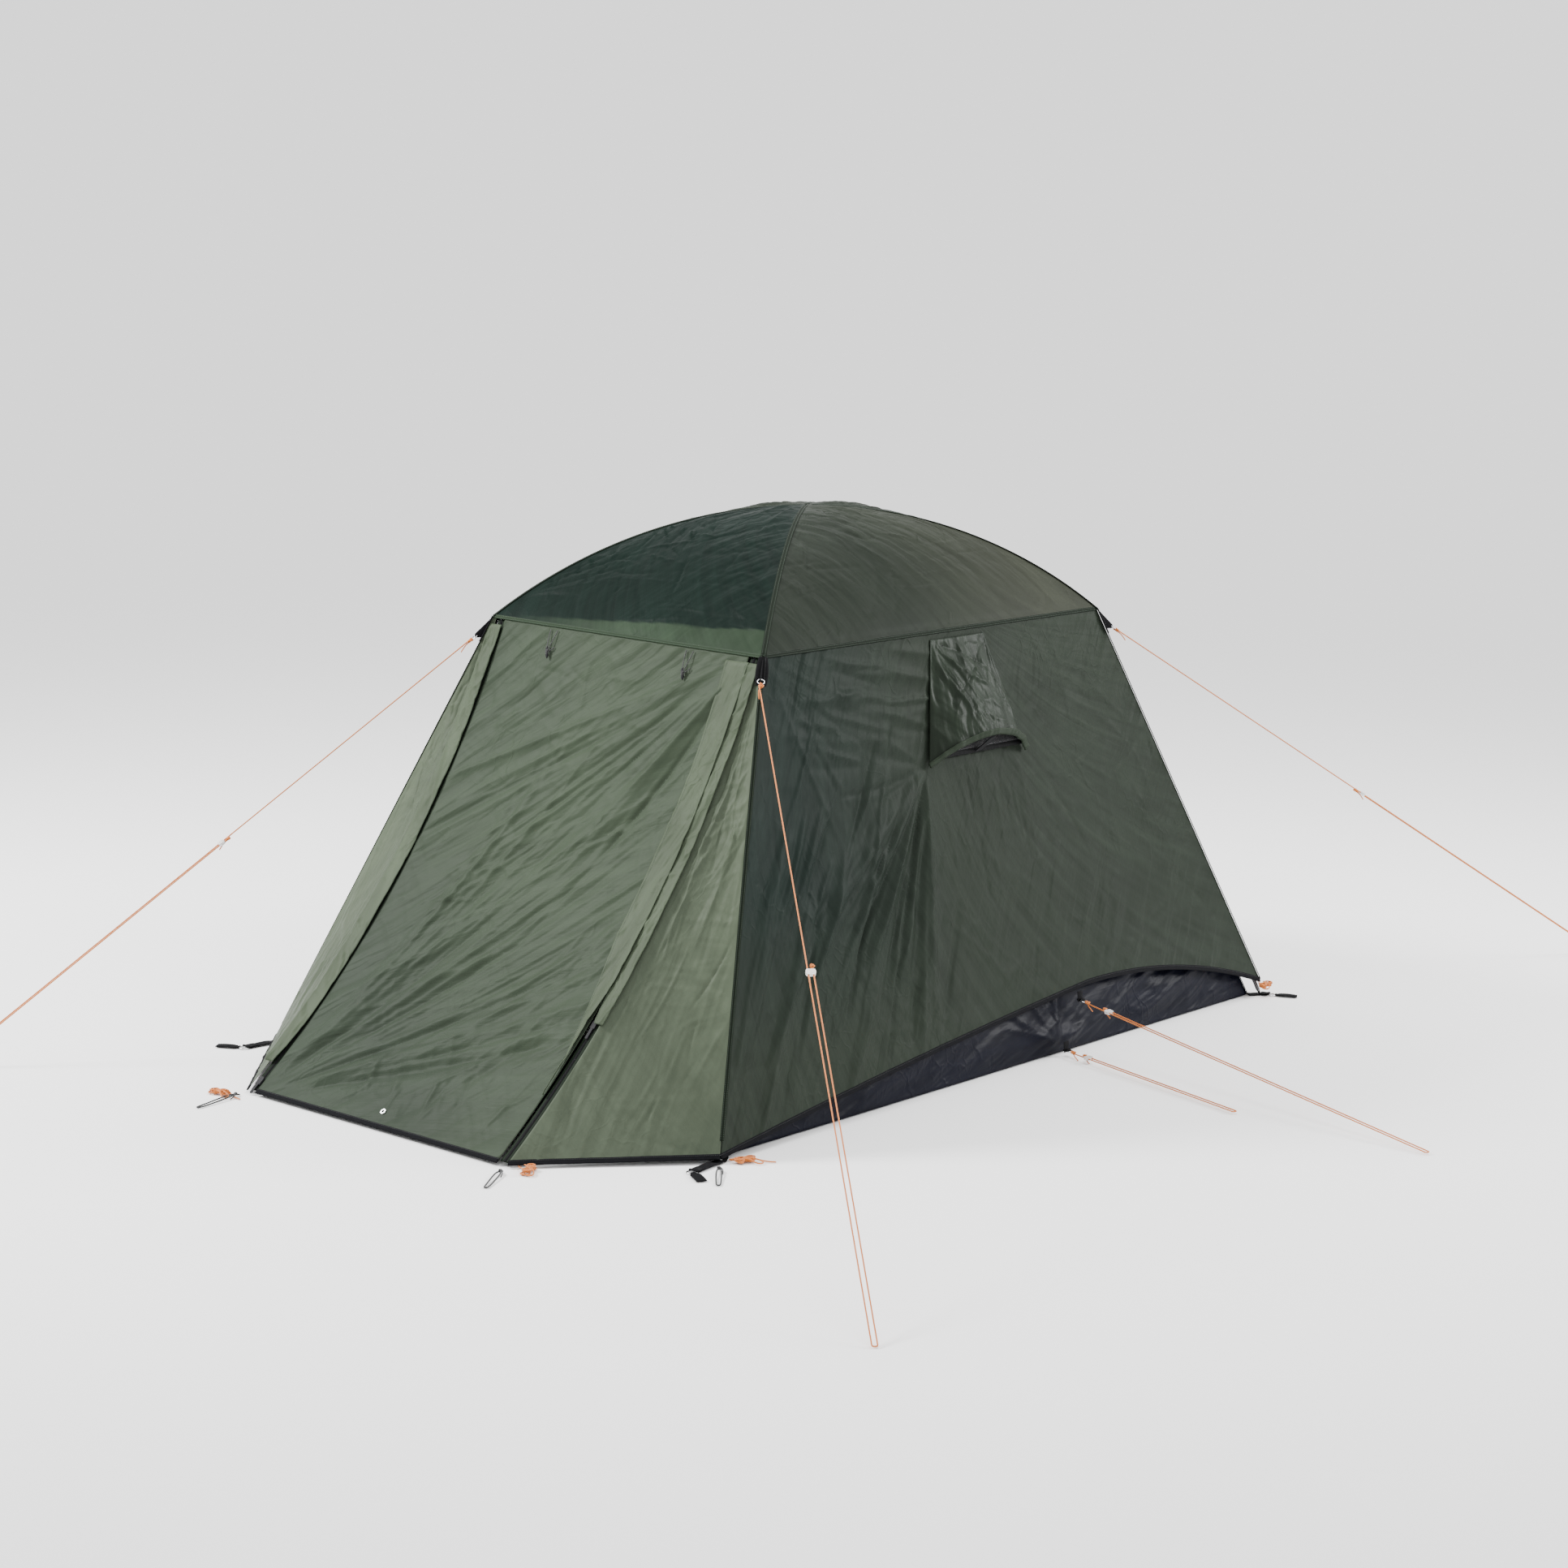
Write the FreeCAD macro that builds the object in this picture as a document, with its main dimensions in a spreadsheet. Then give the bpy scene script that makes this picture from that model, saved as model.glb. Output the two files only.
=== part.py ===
"""Two-person ridge-free dome tent: crossed pre-bent poles, fly with porch, clipped inner tent, guy lines.

Frame: X to the right, the porch door faces -Y, Z up. The ground is Z = 0 and the origin is on the
underside of the floor, at the middle of the sleeping cabin. Lengths are millimetres, angles degrees.
"""
import FreeCAD, Part
import math
import os
import Sketcher
from FreeCAD import Placement, Rotation, Vector

DOC = FreeCAD.newDocument("tent")
SUBPARTS = {}

SIZES = {
    # the fly's outer form
    "crown_height": 1300,
    "shoulder_x": 428,
    "shoulder_y": 655,
    "shoulder_height": 1034,
    "foot_reach": 1314,
    "porch_reach": 1459,
    "porch_half_width": 416,
    "door_half_width": 387,
    "door_sag": 85,
    "skin": 3,
    "seam_gap": 1.5,
    "eave_gap": 2.6,
    "corner_gap": 3.6,
    "hem_height_front": 14,
    "hem_height_peak": 161,
    "hem_height_rear": 42,
    "hem_peak_at": 335,
    "back_hem_height": 70,
    "binding_width": 10,
    "binding_thickness": 4,
    # poles
    "pole_radius": 4.75,
    "pole_bore": 3.4,
    "shock_cord_radius": 1.5,
    "pole_cover": 12.75,
    "bow_gap": 1,
    "elbow_radius": 90,
    "tip_length": 17,
    "tip_radius": 2.2,
    "clip_wall": 1.8,
    "clip_width": 12,
    "fit_clearance": 0.3,
    # inner tent
    "inner_depth": 50,
    "tub_height": 165,
    "floor_skin": 3,
    "inner_door_half_width": 330,
    "inner_door_sill": 190,
    "inner_door_top": 880,
    "inner_zip_width": 8,
    # porch zips and flaps
    "tape_depth": 4.2,
    "tape_thickness": 1.8,
    "tape_gap": 2,
    "flap_rise": 3.6,
    "flap_width": 36,
    "zip_slider_length": 22,
    "zip_slider_width": 13,
    "zip_slider_height": 5,
    # roof vent
    "vent_middle": 60,
    "vent_top_half_width": 105,
    "vent_lip_half_width": 195,
    "vent_top": 1062,
    "vent_lip": 762,
    "vent_lip_rise": 52,
    "vent_lip_stand_out": 65,
    "strut_width": 22,
    "strut_thickness": 3,
    # door furniture
    "toggle_spread": 215,
    "toggle_length": 34,
    "toggle_radius": 4,
    # corner tackle
    "webbing_width": 25,
    "webbing_thickness": 2,
    "front_strap_length": 96,
    "rear_strap_length": 16,
    "pull_tab_length": 54,
    "ring_radius": 11,
    "ring_wire": 1.8,
    "peg_loop_wire": 1.6,
    "peg_loop_width": 9,
    # guy lines
    "guy_radius": 1.6,
    "guy_bight_radius": 5.6,
    "guy_ring_radius": 8,
    "guy_ring_wire": 1.2,
    "gusset_thickness": 2,
    "gusset_drop": 46,
    "gusset_reach": 16,
    "line_lock_length": 16,
    "line_lock_width": 22,
    "line_lock_height": 7,
}


# ---------------------------------------------------------------- document helpers

def add_sizes():
    """Write every driving dimension to the sheet, one aliased cell each."""
    sheet = DOC.addObject("Spreadsheet::Sheet", "dims")
    for row, (alias, value) in enumerate(SIZES.items(), start=1):
        sheet.set(f"A{row}", alias)
        sheet.set(f"B{row}", str(value))
        sheet.setAlias(f"B{row}", alias)
    DOC.recompute()
    return sheet


SHEET = add_sizes()


def num(expression):
    """The value of an expression in the sheet's aliases."""
    return float(SHEET.evalExpression(expression))


def bind(target, **properties):
    """Tie properties of an object to expressions in the sheet's aliases."""
    for name, expression in properties.items():
        target.setExpression(name, expression)
    return target


def keep(label, part):
    """Name a finished sub-part, which is then written to its own file."""
    part.Label = label
    SUBPARTS[label] = part
    return part


def frame_of(origin, x_axis, y_axis):
    """Placement with the given origin whose local X and Y follow the two directions."""
    x_axis = Vector(x_axis).normalize()
    z_axis = x_axis.cross(Vector(y_axis)).normalize()
    return Placement(Vector(origin), Rotation(x_axis, z_axis.cross(x_axis), z_axis, "ZXY"))


def add_body(name, placement=None):
    body = DOC.addObject("PartDesign::Body", name)
    body.Placement = placement or Placement()
    return body


def add_sketch(body, role="XY_Plane"):
    sketch = body.newObject("Sketcher::SketchObject", "Sketch")
    plane = [item for item in body.Origin.OriginFeatures if item.Role == role][0]
    sketch.AttachmentSupport = (plane, "")
    sketch.MapMode = "FlatFace"
    return sketch


def fix_point(sketch, geometry, vertex, where):
    """Hold one sketch point at a pair of expressions."""
    for kind, expression in zip(("DistanceX", "DistanceY"), where):
        index = sketch.addConstraint(Sketcher.Constraint(kind, -1, 1, geometry, vertex, num(expression)))
        sketch.setExpression(f"Constraints[{index}]", expression)


def draw_outline(sketch, corners):
    """Closed outline. A corner is (x, y), or (x, y, x, y) where an arc through the second point follows."""
    points = [Vector(num(corner[0]), num(corner[1]), 0) for corner in corners]
    count = len(corners)
    edges = []
    for index, corner in enumerate(corners):
        start, end = points[index], points[(index + 1) % count]
        if len(corner) == 2:
            edges.append(sketch.addGeometry(Part.LineSegment(start, end)))
            continue
        middle = Vector(num(corner[2]), num(corner[3]), 0)
        edges.append(sketch.addGeometry(Part.Arc(start, middle, end)))
    for index, corner in enumerate(corners):
        edge, following = edges[index], edges[(index + 1) % count]
        arc = len(corner) == 4
        next_arc = len(corners[(index + 1) % count]) == 4
        end_vertex = arc_vertex(sketch, edge, points[(index + 1) % count]) if arc else 2
        start_vertex = arc_vertex(sketch, following, points[(index + 1) % count]) if next_arc else 1
        sketch.addConstraint(Sketcher.Constraint("Coincident", edge, end_vertex, following, start_vertex))
        fix_point(sketch, edge, end_vertex, corners[(index + 1) % count][:2])
        if arc:
            middle = Vector(num(corner[2]), num(corner[3]), 0)
            mark = sketch.addGeometry(Part.Point(middle), True)
            fix_point(sketch, mark, 1, corner[2:])
            sketch.addConstraint(Sketcher.Constraint("PointOnObject", mark, 1, edge))


def arc_vertex(sketch, edge, point):
    """Which end of an arc, 1 or 2, lies at the point."""
    return 1 if sketch.getPoint(edge, 1).distanceToPoint(point) < 1e-3 else 2


def panel(name, corners, thickness, placement=None, reverse=True, symmetric=False):
    """Flat piece: an outline padded by its thickness, behind its own plane unless told otherwise."""
    body = add_body(name, placement)
    sketch = add_sketch(body)
    draw_outline(sketch, corners)
    pad = body.newObject("PartDesign::Pad", "Pad")
    pad.Profile = sketch
    pad.Reversed = reverse
    if symmetric:
        pad.SideType = "Symmetric"
    bind(pad, Length=thickness)
    return body


def solid(kind, name, placement=None, **expressions):
    """Part primitive with its sizes bound to the sheet."""
    primitive = DOC.addObject(kind, name)
    bind(primitive, **expressions)
    primitive.Placement = placement or Placement()
    return primitive


def cut(base, tool, name="Cut"):
    result = DOC.addObject("Part::Cut", name)
    result.Base = base
    result.Tool = tool
    return result


def common(shapes, name="Common"):
    result = DOC.addObject("Part::MultiCommon", name)
    result.Shapes = shapes
    return result


def fuse(shapes, name="Fuse"):
    result = DOC.addObject("Part::MultiFuse", name)
    result.Shapes = shapes
    return result


def group(label, members):
    """Several identical solids that share one node."""
    result = DOC.addObject("Part::Compound", label)
    result.Links = members
    return keep(label, result)


def mirror_x(label, source):
    """The left-hand twin of a right-hand piece."""
    result = DOC.addObject("Part::Mirroring", label)
    result.Source = source
    result.Base = Vector(0, 0, 0)
    result.Normal = Vector(1, 0, 0)
    return keep(label, result)


def feature(label, shape, placement=None):
    """Piece whose shape comes from Part's own functions."""
    item = DOC.addObject("Part::Feature", label)
    item.Shape = shape
    item.Placement = placement or Placement()
    return keep(label, item)


# ---------------------------------------------------------------- derived lines of the form

HALF_DIAGONAL = "sqrt(dims.shoulder_x^2 + dims.shoulder_y^2)"
ALONG_X = f"(dims.shoulder_x / {HALF_DIAGONAL})"
ALONG_Y = f"(dims.shoulder_y / {HALF_DIAGONAL})"
FOOT_X = f"(dims.foot_reach * {ALONG_X})"
FOOT_Y = f"(dims.foot_reach * {ALONG_Y})"
ROOF_RISE = "(dims.crown_height - dims.shoulder_height)"
ROOF_RADIUS = f"(({HALF_DIAGONAL}^2 + {ROOF_RISE}^2) / (2 * {ROOF_RISE}))"
SIDE_SLOPE = f"sqrt(({FOOT_X} - dims.shoulder_x)^2 + dims.shoulder_height^2)"
BACK_SLOPE = f"sqrt(({FOOT_Y} - dims.shoulder_y)^2 + dims.shoulder_height^2)"
DOOR_RUN = "(dims.porch_reach - dims.shoulder_y)"
DOOR_CHORD = f"sqrt({DOOR_RUN}^2 + dims.shoulder_height^2)"
DOOR_RADIUS = f"(({DOOR_CHORD}^2 / 4 + dims.door_sag^2) / (2 * dims.door_sag))"

DIAGONAL = math.degrees(math.atan2(num("dims.shoulder_y"), num("dims.shoulder_x")))
ROOF_CENTRE_Z = num(f"dims.crown_height - {ROOF_RADIUS}")
CORNERS = {"front_right": (1, -1), "front_left": (-1, -1), "back_right": (1, 1), "back_left": (-1, 1)}
ALL_ROUND = 360


def diagonal_direction(corner):
    """Unit plan direction from the middle of the tent to a corner."""
    side, end = CORNERS[corner]
    return Vector(side * num(ALONG_X), end * num(ALONG_Y), 0)


def diagonal_frame(corner):
    """Placement whose XY plane is the upright plane through a corner, X outwards and Y up."""
    return frame_of((0, 0, 0), diagonal_direction(corner), (0, 0, 1))


def leg_outward(height, depth=0):
    """Distance from the middle to the leg edge at a height, a depth inside the fly's corner."""
    run = num(f"dims.foot_reach - {HALF_DIAGONAL}")
    rise = num("dims.shoulder_height")
    return num("dims.foot_reach") - height * run / rise - depth * math.hypot(run, rise) / rise


def door_arc():
    """Centre (y, z), radius, lower start angle and sweep of the porch door's hollow curve."""
    run, rise, sag = num(DOOR_RUN), num("dims.shoulder_height"), num("dims.door_sag")
    chord, radius = num(DOOR_CHORD), num(DOOR_RADIUS)
    stand_off = radius - sag
    centre_y = -num("(dims.porch_reach + dims.shoulder_y) / 2") - stand_off * rise / chord
    centre_z = rise / 2 + stand_off * run / chord
    start = math.degrees(math.atan2(-centre_z, -num("dims.porch_reach") - centre_y))
    sweep = math.degrees(2 * math.asin(chord / 2 / radius))
    return centre_y, centre_z, radius, start, sweep


DOOR_Y, DOOR_Z, DOOR_R, DOOR_START, DOOR_SWEEP = door_arc()


def door_angle_at(height):
    """Angle above the door's foot at which its outer face passes a height."""
    return math.degrees(math.asin((height - DOOR_Z) / DOOR_R)) - DOOR_START


def door_point(angle, depth=0, x=0):
    """Point on the door's curve, a depth behind its outer face."""
    turn = math.radians(DOOR_START + angle)
    reach = DOOR_R + depth
    return Vector(x, DOOR_Y + reach * math.cos(turn), DOOR_Z + reach * math.sin(turn))


# ---------------------------------------------------------------- fly

def vault_solid(depth, across, reach, name):
    """Elliptic cylinder under the roof, a depth inside it, that runs along X or along Y."""
    share = ALONG_Y if across == "Y" else ALONG_X
    ellipse = DOC.addObject("Part::Ellipse", f"{name}_section")
    bind(ellipse, MajorRadius=f"{ROOF_RADIUS} - {depth}", MinorRadius=f"({ROOF_RADIUS} - {depth}) * {share}")
    sideways = (0, 1, 0) if across == "Y" else (1, 0, 0)
    ellipse.Placement = frame_of((0, 0, ROOF_CENTRE_Z), (0, 0, 1), sideways)
    extrusion = DOC.addObject("Part::Extrusion", name)
    extrusion.Base = ellipse
    extrusion.DirMode = "Custom"
    extrusion.Dir = Vector(1, 0, 0) if across == "Y" else Vector(0, 1, 0)
    extrusion.Solid = True
    bind(extrusion, LengthFwd=reach, LengthRev=reach)
    return extrusion


def roof_gore(label, across, turn):
    """One of the four roof panels, between two poles, sewn to its neighbours over them."""
    wide, deep = ("dims.shoulder_x", "dims.shoulder_y") if across == "Y" else ("dims.shoulder_y", "dims.shoulder_x")
    outer = vault_solid("0", across, wide, f"{label}_outer")
    inner = vault_solid("dims.skin", across, f"{wide} + 1", f"{label}_inner")
    band = cut(outer, inner, f"{label}_band")
    tip = f"dims.seam_gap * {HALF_DIAGONAL} / {wide}"
    half = f"({deep} - dims.seam_gap - {tip}) * {wide} / {deep}"
    corners = [("0", f"-({tip})"), (f"-({half})", f"dims.seam_gap - {deep}"), (half, f"dims.seam_gap - {deep}")]
    below = Placement(Vector(0, 0, num("dims.shoulder_height - 4 * dims.skin")), Rotation(Vector(0, 0, 1), turn))
    wedge = panel(f"{label}_plan", corners, f"{ROOF_RISE} + 8 * dims.skin", below, reverse=False)
    return keep(label, common([band, wedge], label))


def side_wall():
    """Long wall of the fly, whose hem arches clear of the ground behind the middle."""
    foot = Vector(num(FOOT_X), 0, 0)
    slope = Vector(num(f"dims.shoulder_x - {FOOT_X}"), 0, num("dims.shoulder_height"))
    placement = frame_of(foot, (0, 1, 0), slope)
    ratio = f"({FOOT_Y} - dims.shoulder_y) / {SIDE_SLOPE}"
    front = f"-({FOOT_Y}) + dims.hem_height_front * {ratio} + dims.seam_gap"
    rear = f"{FOOT_Y} - dims.hem_height_rear * {ratio} - dims.corner_gap"
    peak, high = "dims.hem_peak_at", "dims.hem_height_peak"
    front_mid = (f"({front}) * 0.46 + {peak} * 0.54", f"dims.hem_height_front + ({high} - dims.hem_height_front) * 0.6")
    rear_mid = (f"({rear}) * 0.6 + {peak} * 0.4", f"dims.hem_height_rear + ({high} - dims.hem_height_rear) * 0.68")
    top = f"{SIDE_SLOPE} - dims.eave_gap"
    corners = [
        (front, "dims.hem_height_front", *front_mid),
        (peak, high, *rear_mid),
        (rear, "dims.hem_height_rear"),
        ("dims.shoulder_y - dims.corner_gap", top),
        ("-dims.shoulder_y + dims.seam_gap", top),
    ]
    wall = keep("fly_wall_right", panel("fly_wall_right", corners, "dims.skin", placement))
    mirror_x("fly_wall_left", wall)
    band = "dims.binding_width"
    strip = [
        (front, "dims.hem_height_front", *front_mid),
        (peak, high, *rear_mid),
        (rear, "dims.hem_height_rear"),
        (rear, f"dims.hem_height_rear - {band}", rear_mid[0], f"{rear_mid[1]} - {band}"),
        (peak, f"{high} - {band}", front_mid[0], f"{front_mid[1]} - {band}"),
        (front, f"dims.hem_height_front - {band}"),
    ]
    return panel("side_binding", strip, "dims.binding_thickness", placement)


def back_wall():
    """Short rear wall of the fly with a shallow arched hem."""
    foot = Vector(0, num(FOOT_Y), 0)
    slope = Vector(0, num(f"dims.shoulder_y - {FOOT_Y}"), num("dims.shoulder_height"))
    placement = frame_of(foot, (-1, 0, 0), slope)
    ratio = f"({FOOT_X} - dims.shoulder_x) / {BACK_SLOPE}"
    half = f"{FOOT_X} - dims.hem_height_rear * {ratio} - dims.corner_gap"
    top = f"{BACK_SLOPE} - dims.eave_gap"
    low, high = "dims.hem_height_rear", "dims.back_hem_height"
    corners = [
        (f"-({half})", low, "0", high),
        (half, low),
        ("dims.shoulder_x - dims.corner_gap", top),
        ("-dims.shoulder_x + dims.corner_gap", top),
    ]
    keep("fly_wall_back", panel("fly_wall_back", corners, "dims.skin", placement))
    band = "dims.binding_width"
    strip = [
        (f"-({half})", low, "0", high),
        (half, low),
        (half, f"{low} - {band}", "0", f"{high} - {band}"),
        (f"-({half})", f"{low} - {band}"),
    ]
    return panel("back_binding", strip, "dims.binding_thickness", placement)


def arc_strip(name, x_low, x_high, depth_low, depth_high, start, sweep):
    """Strip of the porch front: a rectangle swept round the door's curve from a start angle."""
    turn = Rotation(Vector(1, 0, 0), DOOR_START + start)
    body = add_body(name, Placement(Vector(0, DOOR_Y, DOOR_Z), turn))
    sketch = add_sketch(body)
    near, far = f"{DOOR_RADIUS} + {depth_low}", f"{DOOR_RADIUS} + {depth_high}"
    draw_outline(sketch, [(x_low, near), (x_high, near), (x_high, far), (x_low, far)])
    revolution = body.newObject("PartDesign::Revolution", "Revolution")
    revolution.Profile = sketch
    revolution.ReferenceAxis = (sketch, ["H_Axis"])
    revolution.Angle = sweep
    return body


HEM_CLEARANCE = 3.8
FOOT_HEIGHT = HEM_CLEARANCE + num("dims.binding_width")
FOOT_ANGLE = door_angle_at(FOOT_HEIGHT)
TOP_MARGIN = 0.09
FLAP_START_SHARE = 0.34


def porch_door():
    """Door panel of the porch and the binding along its foot."""
    half = "dims.door_half_width"
    sweep = DOOR_SWEEP - TOP_MARGIN - FOOT_ANGLE
    keep("porch_door", arc_strip("porch_door", f"-{half}", half, "0", "dims.skin", FOOT_ANGLE, sweep))
    foot = door_angle_at(HEM_CLEARANCE)
    keep("door_binding", arc_strip("door_binding", f"-{half}", half, "0", "dims.skin", foot, FOOT_ANGLE - foot))


def zip_tapes():
    """Zip tape and coil beside the door's right edge, and the storm flap over its upper part."""
    near, far = "dims.door_half_width + dims.tape_gap", "dims.porch_half_width - dims.tape_gap - dims.skin"
    depth = "dims.tape_depth"
    sweep = DOOR_SWEEP - TOP_MARGIN - FOOT_ANGLE
    tape = arc_strip("door_zip_right", near, far, depth, f"{depth} + dims.tape_thickness", FOOT_ANGLE, sweep)
    keep("door_zip_right", tape)
    mirror_x("door_zip_left", tape)
    start = DOOR_SWEEP * FLAP_START_SHARE
    flap = arc_strip(
        "storm_flap_right", "dims.door_half_width + 1", "dims.door_half_width + 1 + dims.flap_width",
        "-dims.flap_rise - dims.skin", "-dims.flap_rise", start, DOOR_SWEEP - 1 - start)
    keep("storm_flap_right", flap)
    mirror_x("storm_flap_left", flap)


def porch_side():
    """Side of the porch: ruled between the zip's curve and the corner of the tent."""
    low = FOOT_HEIGHT
    x = num("dims.porch_half_width")
    foot_angle = door_angle_at(low)
    top_angle = DOOR_SWEEP - TOP_MARGIN
    curve = Part.Arc(door_point(foot_angle, x=x), door_point((foot_angle + top_angle) / 2, x=x), door_point(top_angle, x=x))
    direction = diagonal_direction("front_right")
    lean = num("dims.seam_gap")
    low_end = direction * leg_outward(low) + Vector(0, -lean, low)
    high_end = direction * num(HALF_DIAGONAL) + Vector(0, -lean, num("dims.shoulder_height") - lean)
    face = Part.makeRuledSurface(curve.toShape(), Part.LineSegment(low_end, high_end).toShape())
    inward = (low_end - high_end).cross(door_point(foot_angle, x=x) - high_end).normalize()
    if inward.x > 0:
        inward = inward * -1
    panel_shape = face.extrude(inward * num("dims.skin"))
    right = feature("porch_side_right", panel_shape)
    mirror_x("porch_side_left", right)
    edge = Part.LineSegment(door_point(foot_angle, x=x), low_end).toShape()
    strip = edge.extrude(Vector(0, 0, HEM_CLEARANCE - low)).extrude(inward * num("dims.skin"))
    binding = DOC.addObject("Part::Feature", "porch_side_binding")
    binding.Shape = strip
    return binding


def hem_bindings(side_strip, back_strip, porch_strip):
    """Dark tape round the foot of the fly: two side walls, the back wall and two porch sides."""
    twins = []
    for strip in (side_strip, porch_strip):
        twin = DOC.addObject("Part::Mirroring", f"{strip.Name}_left")
        twin.Source = strip
        twin.Base = Vector(0, 0, 0)
        twin.Normal = Vector(1, 0, 0)
        twins.append(twin)
    group("fly_hem_binding", [side_strip, back_strip, porch_strip] + twins)


# ---------------------------------------------------------------- poles

def tube_arc(name, radius, placement, angle):
    """Bent hollow pole; it starts on the placement's X axis and turns about its Z axis."""
    outer = solid("Part::Torus", f"{name}_outside", placement, Radius2="dims.pole_radius")
    bore = solid("Part::Torus", f"{name}_bore", placement, Radius2="dims.pole_bore")
    for ring in (outer, bore):
        ring.Radius1 = radius
        ring.Angle3 = angle
    return cut(outer, bore, name)


def tube_line(name, placement, length):
    """Straight hollow pole along the placement's Z axis."""
    outer = solid("Part::Cylinder", f"{name}_outside", placement, Radius="dims.pole_radius")
    bore = solid("Part::Cylinder", f"{name}_bore", placement, Radius="dims.pole_bore")
    for rod in (outer, bore):
        rod.Height = length
    return cut(outer, bore, name)


def pole_route(drop):
    """Roof radius, elbow centre, tangent angle and the leg's two ends, in a corner's upright plane."""
    roof_radius = num(f"{ROOF_RADIUS} - (dims.pole_radius + dims.pole_cover)") - drop
    bend = num("dims.elbow_radius")
    run, rise = num(f"dims.foot_reach - {HALF_DIAGONAL}"), num("dims.shoulder_height")
    length = math.hypot(run, rise)
    down = Vector(run / length, -rise / length, 0)
    inward = Vector(-rise / length, -run / length, 0)
    foot = Vector(num("dims.foot_reach"), 0, 0) + inward * num("(dims.pole_radius + dims.pole_cover)")
    centre_of_roof = Vector(0, ROOF_CENTRE_Z, 0)
    line = foot + inward * bend - centre_of_roof
    along = -line.dot(down)
    closest = line + down * along
    back = math.sqrt((roof_radius - bend) ** 2 - closest.Length ** 2)
    elbow = centre_of_roof + closest - down * back
    tangent = math.degrees(math.atan2(elbow.y - ROOF_CENTRE_Z, elbow.x))
    leg_angle = math.degrees(math.atan2(-inward.y, -inward.x))
    leg_top = elbow - inward * bend
    plug = num("dims.tip_length - dims.pole_radius") * rise / length + num("dims.tip_radius") * run / length
    climb = plug + num("dims.webbing_thickness + dims.fit_clearance") - foot.y
    leg_foot = foot - down * (climb * length / rise)
    return roof_radius, elbow, tangent, leg_angle, leg_top, leg_foot, down


POLE_DROPS = {"front_left": 0, "back_right": 0, "front_right": num("(2 * dims.pole_radius + dims.bow_gap)"), "back_left": num("(2 * dims.pole_radius + dims.bow_gap)")}


def roof_poles():
    """The two long bows, which cross under the crown, one below the other."""
    for label, corner in (("roof_pole_upper", "back_right"), ("roof_pole_lower", "front_right")):
        radius, _, tangent, *_ = pole_route(POLE_DROPS[corner])
        middle = Placement(Vector(0, ROOF_CENTRE_Z, 0), Rotation(Vector(0, 0, 1), tangent))
        placement = diagonal_frame(corner).multiply(middle)
        keep(label, tube_arc(label, radius, placement, 180 - 2 * tangent))


def elbows_legs_and_tips():
    """Pre-bent elbow, straight leg and tapered end plug at each corner."""
    elbows, tips = [], []
    for corner in CORNERS:
        _, elbow, tangent, leg_angle, leg_top, leg_foot, down = pole_route(POLE_DROPS[corner])
        upright = diagonal_frame(corner)
        bend = upright.multiply(Placement(elbow, Rotation(Vector(0, 0, 1), leg_angle)))
        elbows.append(tube_arc(f"elbow_{corner}", num("dims.elbow_radius"), bend, tangent - leg_angle))
        along = upright.multiply(Placement(leg_top, Rotation(Vector(0, 0, 1), down)))
        length = (leg_foot - leg_top).Length
        keep(f"leg_pole_{corner}", tube_line(f"leg_pole_{corner}", along, length))
        end = upright.multiply(Placement(leg_foot, Rotation(Vector(0, 0, 1), down)))
        tip = solid("Part::Cone", f"tip_{corner}", end, Radius1="dims.pole_radius", Radius2="dims.tip_radius",
                    Height="dims.tip_length - dims.pole_radius")
        tips.append(tip)
    group("pole_elbows", elbows)
    group("pole_tips", tips)


def shock_cords():
    """Elastic cord inside each pole, from one leg's foot over the roof to the other's."""
    cords = []
    for first, second in (("back_right", "front_left"), ("front_right", "back_left")):
        radius, elbow, tangent, leg_angle, leg_top, leg_foot, _ = pole_route(POLE_DROPS[first])
        bend = num("dims.elbow_radius")
        upright = diagonal_frame(first)
        centre = Vector(0, ROOF_CENTRE_Z, 0)

        def at(origin, reach, angle):
            turn = math.radians(angle)
            return origin + Vector(reach * math.cos(turn), reach * math.sin(turn), 0)

        half = [
            Part.LineSegment(leg_foot, leg_top).toShape(),
            Part.Arc(leg_top, at(elbow, bend, (leg_angle + tangent) / 2), at(elbow, bend, tangent)).toShape(),
            Part.Arc(at(centre, radius, tangent), at(centre, radius, (tangent + 90) / 2), at(centre, radius, 90)).toShape(),
        ]
        arms = []
        for corner in (first, second):
            wire = Part.Wire(half)
            circle = Part.Circle(leg_foot, (leg_top - leg_foot).normalize(), num("dims.shock_cord_radius"))
            profile = Part.Wire([circle.toShape()])
            arm = wire.makePipeShell([profile], True, False)
            arm.Placement = diagonal_frame(corner)
            arms.append(arm)
        cord = DOC.addObject("Part::Feature", f"shock_cord_{first}")
        cord.Shape = arms[0].fuse(arms[1]).removeSplitter()
        cords.append(cord)
    group("shock_cords", cords)


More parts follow.
